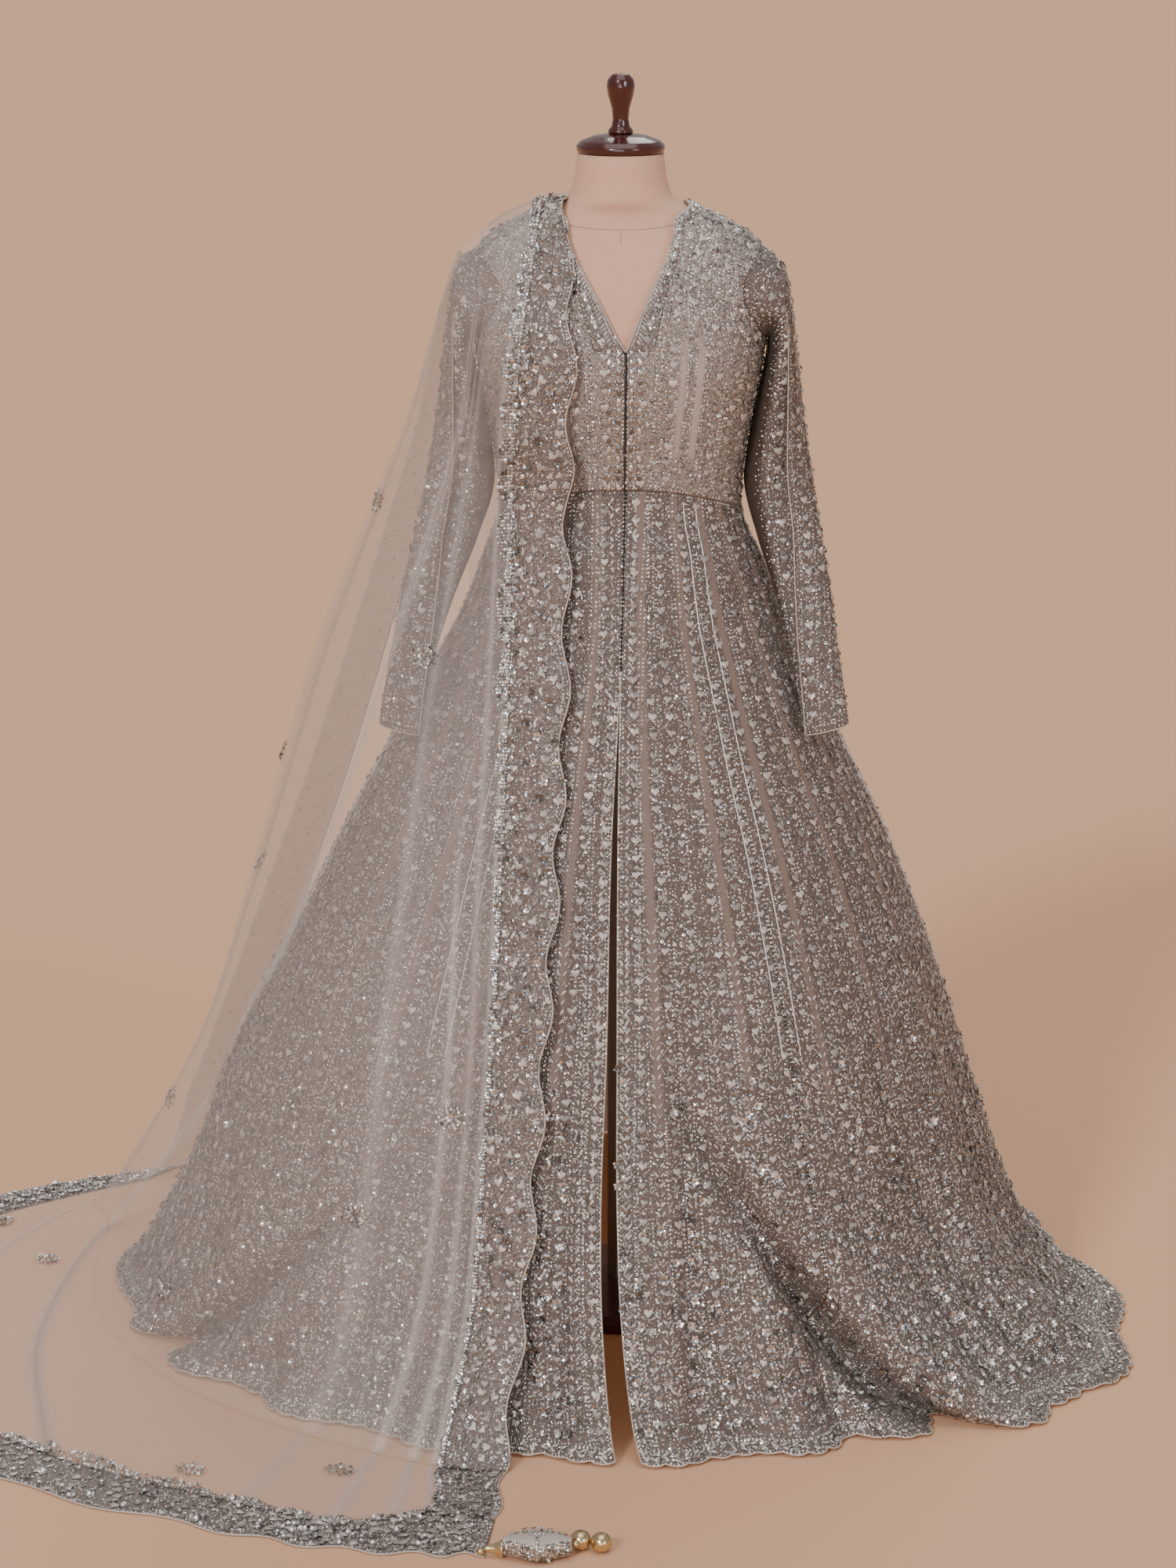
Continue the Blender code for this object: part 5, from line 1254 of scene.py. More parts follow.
def seed_bead_group() -> Tree:
    """Scattered seed beads: a mask, a shade and a height, by a place on the cloth in metres."""
    tree, given, out = group("seed_beads", {"Place": VECTOR, "Count": FLOAT, "Share": FLOAT},
                             {"Mask": FLOAT, "Shade": FLOAT, "Height": FLOAT})
    cells = add_node(tree, "ShaderNodeTexVoronoi", {"voronoi_dimensions": "2D"}, Randomness=0.8)
    tree.links.new(given.outputs["Place"], cells.inputs["Vector"])
    tree.links.new(given.outputs["Count"], cells.inputs["Scale"])
    parts = add_node(tree, "ShaderNodeSeparateColor")
    tree.links.new(cells.outputs["Color"], parts.inputs[0])
    chosen = maths(tree, "LESS_THAN", parts.outputs[0], given.outputs["Share"])
    near = maths(tree, "LESS_THAN", cells.outputs["Distance"], SEED_RADIUS)
    mask = maths(tree, "MULTIPLY", chosen, near)
    dome = maths(tree, "SUBTRACT", SEED_RADIUS, cells.outputs["Distance"])
    tree.links.new(mask, out.inputs["Mask"])
    tree.links.new(parts.outputs[1], out.inputs["Shade"])
    tree.links.new(maths(tree, "MULTIPLY", dome, mask), out.inputs["Height"])
    return tree


class Finishes:
    """Every material of the gown and its form."""

    net_threads, cloth_threads, sheer_threads = 900.0, 1100.0, 1000.0  # to the metre
    seed_count = 380.0  # cells for seed beads, to the metre
    # Seed beads take random tones, stretched so that a few are painted far brighter than the rest as glints.
    seed_contrast = 2.3
    seed_tone_and_glint_range = (0.24, 3.2)
    bare_shade = 1.65  # how much brighter the bare strips' net is
    painted_shade_tone = (0.052, 0.031, 0.020)  # painted shade on the sleeve's hidden inner side
    folded_share = 0.26  # how much denser the sheer net is along its folds
    warmth = (0.90, 0.86, 0.84)  # how far red, green and blue follow a stitch's glint
    glint_contrast = 1.25
    wood_tones = ((0.018, 0.002, 0.002), (0.085, 0.009, 0.006))

    def __init__(self) -> None:
        """Builds the shared node groups and the materials."""
        self.weave_tree = weave_group()
        self.bead_tree = seed_bead_group()
        self.gown = self.cloth("embroidered_net", (0.128, 0.093, 0.077), (0.57, 0.505, 0.475), 0.48)
        self.bodice = self.cloth("bodice_net", (0.278, 0.224, 0.198), (0.64, 0.58, 0.55), 0.54)
        self.border = self.cloth("dupatta_border", (0.180, 0.138, 0.120), (0.57, 0.51, 0.48), 0.50)
        # The lining glows faintly in its own colour: painted light where it shows in the slit and the
        # openings.
        self.lining = self.plain_cloth("lining", (0.50, 0.36, 0.26), 0.75, 0.20)
        self.satin = self.plain_cloth("satin", (0.52, 0.44, 0.385), 0.42)
        self.cover = self.plain_cloth("form_cover", (0.745, 0.450, 0.318), 0.80)
        self.seam = self.stitched("seam_thread", (0.30, 0.22, 0.19), 0.0, 0.75, 0.1)
        # A near-black cord, painted as the shadow in the gap where one front lies over the other.
        self.gap_shadow = self.stitched("painted_gap_shadow", (0.030, 0.020, 0.017), 0.0, 0.80, 0.1)
        self.cord = self.stitched("satin_cord", (0.76, 0.73, 0.71), 0.15, 0.28, 0.12)
        self.net = self.sheer("net", (0.66, 0.575, 0.54), 0.10)
        self.selvedge = self.sheer("net_selvedge", (0.52, 0.455, 0.415), 0.30)
        self.thread = self.stitched("silver_thread", (0.44, 0.395, 0.365), 0.25, 0.36, 0.45)
        self.bead = self.stitched("glass_bead", (0.62, 0.58, 0.56), 0.70, 0.15, 0.80)
        self.sequin = self.stitched("sequin", (0.74, 0.72, 0.70), 0.95, 0.14, 0.74)
        self.piping = self.stitched("piping", (0.52, 0.44, 0.38), 0.10, 0.45, 0.1)
        self.wood = self.turned_wood()
        self.steel = self.metal("steel", (0.30, 0.29, 0.28), 0.35)
        self.gilt = self.metal("gilt", (0.72, 0.58, 0.34), 0.22)

    def trims(self) -> list[Material]:
        """The materials of an embroidery, in the order of Trim."""
        return [self.thread, self.bead, self.sequin, self.piping, self.cord, self.gap_shadow]

    def begin(self, name: str) -> tuple[Material, Tree, Node]:
        """A new material, its nodes and its shader."""
        made = bpy.data.materials.new(name)
        made.use_nodes = True
        return made, made.node_tree, made.node_tree.nodes["Principled BSDF"]

    def woven(self, name: str, threads: float) -> tuple[Material, Tree, Node, Socket, Node]:
        """A new material of threads: the same, then its place on the cloth in metres, and the threads."""
        made, tree, shader = self.begin(name)
        place = add_node(tree, "ShaderNodeUVMap", {"uv_map": "cloth"}).outputs[0]
        return made, tree, shader, place, self.use(tree, self.weave_tree, place, Threads=threads)

    def own_place(self, tree: Tree) -> Socket:
        """The place in the piece's own coordinates."""
        return add_node(tree, "ShaderNodeTexCoord").outputs["Object"]

    def roughen(self, tree: Tree, shader: Node, least: float, noise: Socket, more: float) -> None:
        """Lets a shader's roughness rise with a noise."""
        rough = maths(tree, "ADD", least, maths(tree, "MULTIPLY", noise, more))
        tree.links.new(rough, shader.inputs["Roughness"])

    def bump(self, tree: Tree, shader: Node, height: Socket,
             distance: float, strength: float = 1.0) -> None:
        """Feeds a height to a shader's normal."""
        node = add_node(tree, "ShaderNodeBump", Strength=strength, Distance=distance)
        tree.links.new(height, node.inputs["Height"])
        tree.links.new(node.outputs[0], shader.inputs["Normal"])

    def use(self, tree: Tree, made: Tree, place: Socket,
            **values: float) -> Node:
        """A shared group placed in a material with its own values."""
        node = tree.nodes.new("ShaderNodeGroup")
        node.node_tree = made
        tree.links.new(place, node.inputs["Place"])
        for key, value in values.items():
            node.inputs[key].default_value = value
        return node

    def cloth(self, name: str, ground: Colour, bead: Colour,
              share: float) -> Material:
        """Net on its lining, strewn with seed beads.

        Args:
            name: the material's name.
            ground: colour of the net.
            bead: colour of the beads.
            share: how much of it they cover.

        Returns:
            The material.
        """
        made, tree, shader, place, threads = self.woven(name, self.net_threads)
        beads = self.use(tree, self.bead_tree, place, Count=self.seed_count, Share=share)
        bare, shaded = attribute(tree, "bare"), attribute(tree, "shaded")
        ground_tone = mixed(tree, threads.outputs["Tone"], *shades(ground, 0.75, 1.25))
        # Each seed bead's random tone, with the brightest ones painted as glints.
        bright = maths(tree, "POWER", beads.outputs["Shade"], self.seed_contrast)
        bead_tone = mixed(tree, bright, *shades(bead, *self.seed_tone_and_glint_range))
        strewn = maths(tree, "MULTIPLY", beads.outputs["Mask"], maths(tree, "SUBTRACT", 1.0, bare))
        ground_tone = mixed(tree, bare, ground_tone, [c * self.bare_shade for c in ground])
        tone = mixed(tree, strewn, ground_tone, bead_tone)
        # Painted shade: the marked inner side of a sleeve takes a dark tone and loses its seed beads.
        tone = mixed(tree, shaded, tone, self.painted_shade_tone)
        strewn = maths(tree, "MULTIPLY", strewn, maths(tree, "SUBTRACT", 1.0, shaded))
        tree.links.new(tone, shader.inputs["Base Color"])
        tree.links.new(maths(tree, "MULTIPLY", strewn, 0.8), shader.inputs["Metallic"])
        rough = maths(tree, "SUBTRACT", 0.62, maths(tree, "MULTIPLY", strewn, 0.42))
        tree.links.new(rough, shader.inputs["Roughness"])
        height = maths(tree, "ADD", maths(tree, "MULTIPLY", threads.outputs["Height"], 0.06),
                       maths(tree, "MULTIPLY", beads.outputs["Height"], maths(tree, "SUBTRACT", 1.0, bare)))
        self.bump(tree, shader, height, 0.0016)
        shader.inputs["Sheen Weight"].default_value = 0.05
        return made

    def plain_cloth(self, name: str, colour: Colour, rough: float,
                    painted_glow: float = 0.0) -> Material:
        """Plain woven cloth.

        Args:
            name: the material's name.
            colour: its middle colour.
            rough: its roughness.
            painted_glow: how strongly it glows in its own colour, a painted light standing for light that
                comes through it.

        Returns:
            The material.
        """
        made, tree, shader, _, threads = self.woven(name, self.cloth_threads)
        tone = mixed(tree, threads.outputs["Tone"], *shades(colour, 0.90, 1.08))
        tree.links.new(tone, shader.inputs["Base Color"])
        self.roughen(tree, shader, rough - 0.05, threads.outputs["Tone"], 0.1)
        self.bump(tree, shader, threads.outputs["Height"], 0.00025, 0.5)
        shader.inputs["Sheen Weight"].default_value = 0.1
        # Painted light: a faint glow in the cloth's own colour.
        if painted_glow:
            tree.links.new(tone, shader.inputs["Emission Color"])
            shader.inputs["Emission Strength"].default_value = painted_glow
        return made

    def sheer(self, name: str, colour: Colour, dense: float) -> Material:
        """Sheer net, denser along its folds.

        Args:
            name: the material's name.
            colour: colour of its threads.
            dense: the share that they cover.

        Returns:
            The material.
        """
        made, tree, shader, _, threads = self.woven(name, self.sheer_threads)
        tone = mixed(tree, threads.outputs["Tone"], *shades(colour, 0.92, 1.1))
        tree.links.new(tone, shader.inputs["Base Color"])
        alpha = maths(tree, "ADD", maths(tree, "MULTIPLY", threads.outputs["Tone"], 0.08), dense)
        more = maths(tree, "MULTIPLY", attribute(tree, "folded"), self.folded_share)
        alpha = maths(tree, "ADD", alpha, more)
        tree.links.new(alpha, shader.inputs["Alpha"])
        self.bump(tree, shader, threads.outputs["Height"], 0.0002, 0.4)
        shader.inputs["Roughness"].default_value = 0.7
        shader.inputs["Sheen Weight"].default_value = 0.5
        return made

    def stitched(self, name: str, colour: Colour, metallic: float, rough: float,
                 tone_and_glint_spread: float) -> Material:
        """Thread, beads or sequins, each of its own random shade, the brightest standing partly for painted
        glints.

        Args:
            name: the material's name.
            colour: its middle colour.
            metallic: how metallic it is.
            rough: its roughness.
            tone_and_glint_spread: how far shades differ, the bright end standing partly for painted glints.

        Returns:
            The material.
        """
        made, tree, shader = self.begin(name)
        # The brightest stitches stand partly for painted glints; the rest take random darker tones.
        warm = [min(1, c * (1 + tone_and_glint_spread * share)) for c, share in zip(colour, self.warmth)]
        glint = maths(tree, "POWER", attribute(tree, "glint"), self.glint_contrast)
        tone = mixed(tree, glint, [c * (1 - tone_and_glint_spread) for c in colour], warm)
        fine = add_node(tree, "ShaderNodeTexNoise", Scale=900.0, Detail=2.0)
        tree.links.new(self.own_place(tree), fine.inputs["Vector"])
        tree.links.new(tone, shader.inputs["Base Color"])
        self.roughen(tree, shader, rough, fine.outputs[0], 0.08)
        shader.inputs["Metallic"].default_value = metallic
        self.bump(tree, shader, fine.outputs[0], 0.0004, 0.5)
        return made

    def turned_wood(self) -> Material:
        """Lacquered dark red wood."""
        made, tree, shader = self.begin("mahogany")
        grain = add_node(tree, "ShaderNodeTexNoise", Scale=28.0, Detail=6.0, Roughness=0.65)
        stretch = add_node(tree, "ShaderNodeMapping", Scale=(4.0, 4.0, 0.6))
        tree.links.new(self.own_place(tree), stretch.inputs[0])
        tree.links.new(stretch.outputs[0], grain.inputs["Vector"])
        tree.links.new(mixed(tree, grain.outputs[0], *self.wood_tones), shader.inputs["Base Color"])
        self.roughen(tree, shader, 0.16, grain.outputs[0], 0.12)
        shader.inputs["Coat Weight"].default_value = 0.6
        self.bump(tree, shader, grain.outputs[0], 0.0002, 0.3)
        return made

    def metal(self, name: str, colour: Colour, rough: float) -> Material:
        """Worn metal."""
        made, tree, shader = self.begin(name)
        wear = add_node(tree, "ShaderNodeTexNoise", Scale=220.0, Detail=5.0)
        tree.links.new(self.own_place(tree), wear.inputs["Vector"])
        tree.links.new(mixed(tree, wear.outputs[0], *shades(colour, 0.75, 1.2)), shader.inputs["Base Color"])
        self.roughen(tree, shader, rough - 0.08, wear.outputs[0], 0.2)
        shader.inputs["Metallic"].default_value = 1.0
        self.bump(tree, shader, wear.outputs[0], 0.0003, 0.4)
        return made


def bent_grid(name: str, points: Array, wall: float, finishes: Sequence[Material],
              closed: bool = False, outward: float = 1.0, marks: Array | None = None,
              mark: str = "folded") -> Piece:
    """A piece of cloth: a grid bent onto points, with its UV map in metres and its wall inwards.

    Args:
        name: the piece's name.
        points: rows, columns and x, y, z.
        wall: thickness, or 0 for a closed skin.
        finishes: the outside's material, and the inside's where it has its own.
        closed: joins the last column to the first.
        outward: 1 where across, then down, leaves the outside on the right hand, otherwise -1.
        marks: how folded, bare of beads or painted in shade the cloth is at each point.
        mark: which of these they are.

    Returns:
        The piece.
    """
    rows, columns = points.shape[:2]
    bm = bmesh.new()
    bmesh.ops.create_grid(bm, x_segments=columns - 1, y_segments=rows - 1, size=0.5)
    uv = bm.loops.layers.uv.new("cloth")
    marked = bm.verts.layers.float.new(mark)
    weave = Weave(points)
    middle = weave.widths[:, -1:] / 2
    for v in bm.verts:
        i, j = round((v.co.x + 0.5) * (columns - 1)), round((v.co.y + 0.5) * (rows - 1))
        v.co = points[j, i]
        v[marked] = float(marks[j, i]) if marks is not None else 0.0
        for loop in v.link_loops:
            loop[uv].uv = (weave.widths[j, i] - middle[j, 0], weave.lengths[j, i])
    if closed:
        bmesh.ops.remove_doubles(bm, verts=bm.verts, dist=MERGE)
    if outward > 0:
        bmesh.ops.reverse_faces(bm, faces=bm.faces)
    made = placed(mesh_of(name, bm), finishes)
    if wall:
        solid = made.modifiers.new("wall", "SOLIDIFY")
        solid.thickness, solid.offset = wall, -1.0
        solid.material_offset = len(finishes) - 1
    return made


SIDE_FADE = 0.002  # metres over which a bare strip's side fades
START_FADE, END_FADE = 0.15, 0.02  # the shares of the way down over which its ends do
FLAT_SPARE = 1.01  # a sheet's flat sides, for the lengths of its grid
LEAST_FILLED = 0.4  # the least share of its flat rectangle that a flared piece fills


def bare_marks(weave: Weave, places: Sequence[float], end: float, half: float, start: float = -1.0) -> Array:
    """How bare of beads a cloth is at each of its points.

    Args:
        weave: the cloth.
        places: middles of the bare strips, as shares of the way across.
        end: how far down they run.
        half: half a strip's width.
        start: how far down they begin.

    Returns:
        1 in a strip and 0 elsewhere, for each point.
    """
    rows, columns = weave.points.shape[:2]
    u, v = np.meshgrid(np.linspace(0, 1, columns), np.linspace(0, 1, rows))
    wide = weave.width(v)
    out = np.zeros(u.shape)
    for place in places:
        near = np.clip((half + SIDE_FADE - np.abs(u - place) * wide) / SIDE_FADE, 0, 1)
        near = near * np.clip((end - v) / END_FADE, 0, 1) * np.clip((v - start) / START_FADE, 0, 1)
        out = np.maximum(out, near)
    return out


def clear_of(weave: Weave, u: Array, v: Array, places: Sequence[float], end: float, half: float,
             start: float = -1.0) -> Array:
    """Which places on a cloth lie clear of its bare strips."""
    out = np.ones(len(u), bool)
    for place in places:
        out &= (np.abs(u - place) * weave.width(v) > half) | (v > end) | (v < start)
    return out


def declare(weave: Weave,
            area: float = 0.0) -> None:
    """Works out a piece's size laid flat and its area, which are not kept.

    Args:
        weave: its grid.
        area: its area, where that isn't the grid's.
    """
    area = area or weave.area()
    width = float(weave.widths[:, -1].max()) * FLAT_SPARE
    length = float(weave.lengths[-1].max()) * FLAT_SPARE
    length = max(area / width, min(length, area / width / LEAST_FILLED))


def grid_of(surface: Surface, across: Array, down: Array) -> Array:
    """Points of a surface at every pair of places across and down."""
    u, v = np.meshgrid(across, down)
    return surface(u.ravel(), v.ravel()).reshape(len(down), len(across), 3)


@dataclass
class Part:
    """A part of the object whose pieces are embroidered."""

    finishes: Finishes
    motifs: dict[str, Motif]

    def start(self, name: str, seed: int) -> Embroidery:
        """The embroidery of a piece, still empty."""
        return Embroidery(name + "_embroidery", self.motifs, seed)

    def finish(self, sewn: Embroidery) -> Piece | None:
        """The embroidery, made of the gown's threads and beads."""
        return sewn.make(self.finishes.trims())

    def hang(self, name: str, cloth: Piece, weave: Weave, sewn: Piece | None, area: float = 0.0) -> None:
        """Hides the solid in whose place a piece of the gown hangs from the form."""
        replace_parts(cloth, name)
        declare(weave, area)


@dataclass
class Skirt(Part):
    """The skirt's twelve panels, their embroidery and their scalloped hem."""

    first_angle: int = -120
    panel_angle: int = 30
    columns: int = 44
    rows: int = 78
    scallops: int = 128
    scallop_depth: float = 0.0060
    waist_radius: float = 0.13
    bare: tuple[float, ...] = (0.21, 0.71)  # middles of the bare strips
    bare_end: float = 0.62
    bare_half: float = 0.004
    closed_length: float = 0.215  # of the front edges, from the waist down
    hem_from: float = 0.97  # where the rows of the hem's scallops begin
    column_count: int = 12
    line_starts: tuple[float, ...] = (0.006, 0.60, 0.26, 0.60)
    line_end: float = 0.945
    line_step: float = 0.0054
    double_gap: float = 0.0029
    column_starts: tuple[float, ...] = (0.42, 0.010, 0.42, 0.18)
    uneven_start: float = 0.022
    hearts_end: float = 0.93
    heart_step: float = 0.0225
    heart_shift: float = 0.0020
    heart_aside: float = 0.0012
    bead_below: float = 0.0108
    vines_end: float = 0.90
    leaf_step: float = 0.0120
    leaf_aside: float = 0.0038
    leaf_turn: float = 38
    satin_run: Span = (0.008, 0.56)
    satin_beside: Span = (0.0085, 0.0125)  # from the seam, at its upper and lower end
    satin_radius: float = 0.0010
    bead_rows: tuple[float, ...] = (0.0022, 0.948, 0.9525)
    leaf_rows: tuple[Span, ...] = ((0.965, 60), (0.981, -60))  # down, and the leaves' turn
    last_row: float = 0.9955
    hem_leaf_step: float = 0.0130
    hem_sequin_step: float = 0.0170
    edge_sunk: float = 0.0008
    leaf_lean: float = 30
    # Lines beside the front opening: the distance from it, the shape, from one to the next, its size
    front_lines: tuple[tuple[float, str, float, float], ...] = (
        (0.004, "bead", LONG_LINE, 0.0031), (0.011, "leaf", 0.0100, 0.0085),
        (0.022, "bead", LONG_LINE, 0.0033), (0.027, "bead", LONG_LINE, 0.0033))
    flowers: tuple[tuple[float, ...], ...] = ((0.56, 0.74, 0.93), (0.10, 0.55, 0.80))  # down, and how many
    flower_step: float = 0.0185
    sequin_step: float = 0.0125
    sequin_share: float = 0.46
    seed_step: float = 0.0086
    seed_step_behind: float = 0.0124

    names = ("kali_front_right", "kali_front_left", "kali_left_1", "kali_left_2", "kali_left_3",
             "kali_left_4", "kali_back_left", "kali_back_right", "kali_right_4", "kali_right_3",
             "kali_right_2", "kali_right_1")

    def build(self) -> None:
        """Makes each panel with its embroidery."""
        trim = math.degrees(SEAM / 2 / self.waist_radius)
        for i, name in enumerate(self.names):
            first = self.first_angle + i * self.panel_angle
            edge = {0: -1, 1: 1}.get(i, 0)
            surface = kali(first + trim, first + self.panel_angle - trim, edge)
            across = np.linspace(0, 1, self.columns + 1)
            down = np.concatenate([np.linspace(0, self.hem_from, self.rows), np.linspace(0.976, 1, 5)])
            u, v = np.meshgrid(across, down)
            phase = ((first + self.panel_angle * u) / 360 * self.scallops) % 1.0
            pull = -self.scallop_depth * (1 - np.sin(math.pi * phase) ** SCALLOP_ROUND)
            v = v + pull * np.clip((v - self.hem_from) / 0.03, 0, 1)
            points = surface(u.ravel(), v.ravel()).reshape(*u.shape, 3)
            weave = Weave(points)
            marks = bare_marks(weave, self.bare, self.bare_end, self.bare_half)
            cloth = bent_grid(name + "_cloth", points, WALL, (self.finishes.gown, self.finishes.lining),
                              marks=marks, mark="bare")
            self.hang(name, cloth, weave, self.embroider(name, weave, 100 + i, edge, i))

    def embroider(self, name: str, weave: Weave, seed: int, front_edge: int, place: int) -> Piece | None:
        """Columns of hearts, leaf vines and lines of beads that fan out, flowers below and a bordered hem."""
        sewn = self.start(name, seed)
        self.bead_lines(sewn, weave)
        self.stitch_columns(sewn, weave)
        self.strew_panel(sewn, weave, place)
        self.edge(sewn, weave, front_edge)
        self.satin(sewn, weave, place % 2)
        return self.finish(sewn)

    def bead_lines(self, sewn: Embroidery, weave: Weave) -> None:
        """Lines of beads down the panel, more of them the wider it is, every fourth one double."""
        for k in range(self.column_count + 1):
            u = np.clip(k / self.column_count, *OVER_ENDS)
            v = weave.down_line(u, self.line_starts[k % 4], self.line_end, self.line_step)
            shift = self.double_gap / weave.width(v)
            for way in (-1, 1) if k % 4 == 0 and 0 < k < self.column_count else (0,):
                sewn.sew("seed", weave, u + way * shift, v, (0.0030, 0.0042), tilt=0.08)

    def stitch_columns(self, sewn: Embroidery, weave: Weave) -> None:
        """Between the lines, columns of hearts with a bead below each, and vines with pairs of leaves."""
        dice, length = sewn.dice, float(weave.lengths[-1].mean())
        for k in range(self.column_count):
            u = (k + 0.5) / self.column_count
            start = self.column_starts[k % 4] + dice.uniform(0, self.uneven_start)
            if k % 2:
                v = weave.down_line(u, start, self.hearts_end, self.heart_step)
                v = v + dice.uniform(-self.heart_shift, self.heart_shift, len(v)) / length
                off = dice.uniform(-self.heart_aside, self.heart_aside, len(v)) / weave.width(v)
                sewn.sew("heart", weave, u + off, v, (0.0098, 0.0128), sway=(-12, 12), tilt=0.10, lift=0.0003)
                sewn.sew("bead", weave, u, v + self.bead_below / length, 0.0042)
            else:
                v = weave.down_line(u, start, self.vines_end, self.leaf_step)
                for side in (-1, 1):
                    across = u + side * (self.leaf_aside / weave.width(v))
                    sewn.sew("leaf", weave, across, v, (0.0075, 0.0095), turn=side * self.leaf_turn,
                             sway=(-10, 10), tilt=0.12, lift=0.0002)

    def strew_panel(self, sewn: Embroidery, weave: Weave, place: int) -> None:
        """Flowers, denser towards the hem, then sequins and seed beads all over but for the bare strips."""
        dice = sewn.dice
        u, v = weave.scatter(self.flower_step, dice, self.flowers[0][0], self.flowers[0][-1])
        field = np.sin(u * 2 * math.pi * 3 + place) * 0.35
        keep = dice.uniform(0, 1, len(u)) < np.interp(v, *self.flowers) + field
        sewn.sew("flower", weave, u[keep], v[keep], (0.0100, 0.0130), sway=(0, 72), tilt=0.14, lift=0.0012)
        u, v = weave.scatter(self.sequin_step, dice, 0.01, 0.95)
        keep = dice.uniform(0, 1, len(u)) < self.sequin_share
        keep &= clear_of(weave, u, v, self.bare, self.bare_end, self.bare_half + 0.002)
        sewn.sew("sequin", weave, u[keep], v[keep], (0.0030, 0.0054), tilt=0.28, lift=0.0008)
        hidden = place in range(4, 10)
        sewn.strew(weave, self.seed_step_behind if hidden else self.seed_step, self.bare, self.bare_end)

    def satin(self, sewn: Embroidery, weave: Weave, side: int) -> None:
        """A bright satin cord beside a seam, from the waist down."""
        v = np.linspace(*self.satin_run, 70)
        offset = np.interp(v, (0, self.satin_run[1]), self.satin_beside) / weave.width(v)
        line, _, _, out = weave.lay(1 - offset if side else offset, v)
        sewn.pipe(line + out * self.satin_radius, self.satin_radius, Trim.SATIN)

    def edge(self, sewn: Embroidery, weave: Weave, front_edge: int) -> None:
        """The waist's and the hem's rows of beads, the hem's border of leaves, and its piping."""
        dice = sewn.dice
        for v in self.bead_rows:
            u = weave.over_line(v, 0.0, 1.0, CLOSE_LINE)
            sewn.sew("bead", weave, np.clip(u, *WITHIN), v, 0.0034)
        for v, turn in self.leaf_rows:
            u = weave.over_line(v, 0.02, 0.98, self.hem_leaf_step)
            down = v + dice.uniform(-0.0015, 0.0015, len(u))
            sewn.sew("leaf", weave, u, down, 0.0095, turn=turn, sway=(-15, 15), tilt=0.15, lift=0.0004)
            u = weave.over_line(v, 0.02, 0.98, self.hem_sequin_step)
            down = v + dice.uniform(-0.004, 0.004, len(u))
            sewn.sew("sequin", weave, u, down, 0.0056, tilt=0.25, lift=0.0008)
        u = weave.over_line(1.0, *OVER_ENDS, LONG_LINE)
        sewn.sew("bead", weave, u, self.last_row, 0.0030)
        sewn.pipe(weave.under(-1, PIPING_SUNK), EDGE_PIPE)
        if front_edge:
            self.opening(sewn, weave, front_edge)

    def opening(self, sewn: Embroidery, weave: Weave, front_edge: int) -> None:
        """A front edge: piping where it is open, a dark cord of painted shadow where it lies over, and lines
        beside it.
        """
        side = 0 if front_edge > 0 else -1
        closed = int(np.searchsorted(weave.lengths[:, side], self.closed_length))
        edge = weave.under(np.s_[:, side], self.edge_sunk)
        sewn.pipe(edge[closed:], SHADOW_PIPE)
        # Painted shadow: a dark cord along the closed part of the edge that lies over.
        if front_edge > 0:
            over = edge[:closed + 1] + weave.normals[:closed + 1, side] * (2 * self.edge_sunk)
            sewn.pipe(over, SHADOW_PIPE, Trim.SHADOW)
        for distance, kind, pitch, size in self.front_lines:
            v = weave.down_line(float(side != 0), 0.01, 0.99, pitch)
            u = distance / weave.width(v)
            turn = self.leaf_lean * (-1) ** np.arange(len(v)) if kind == "leaf" else 0.0
            sewn.sew(kind, weave, u if side == 0 else 1 - u, v, size, turn=turn, lift=0.0004)


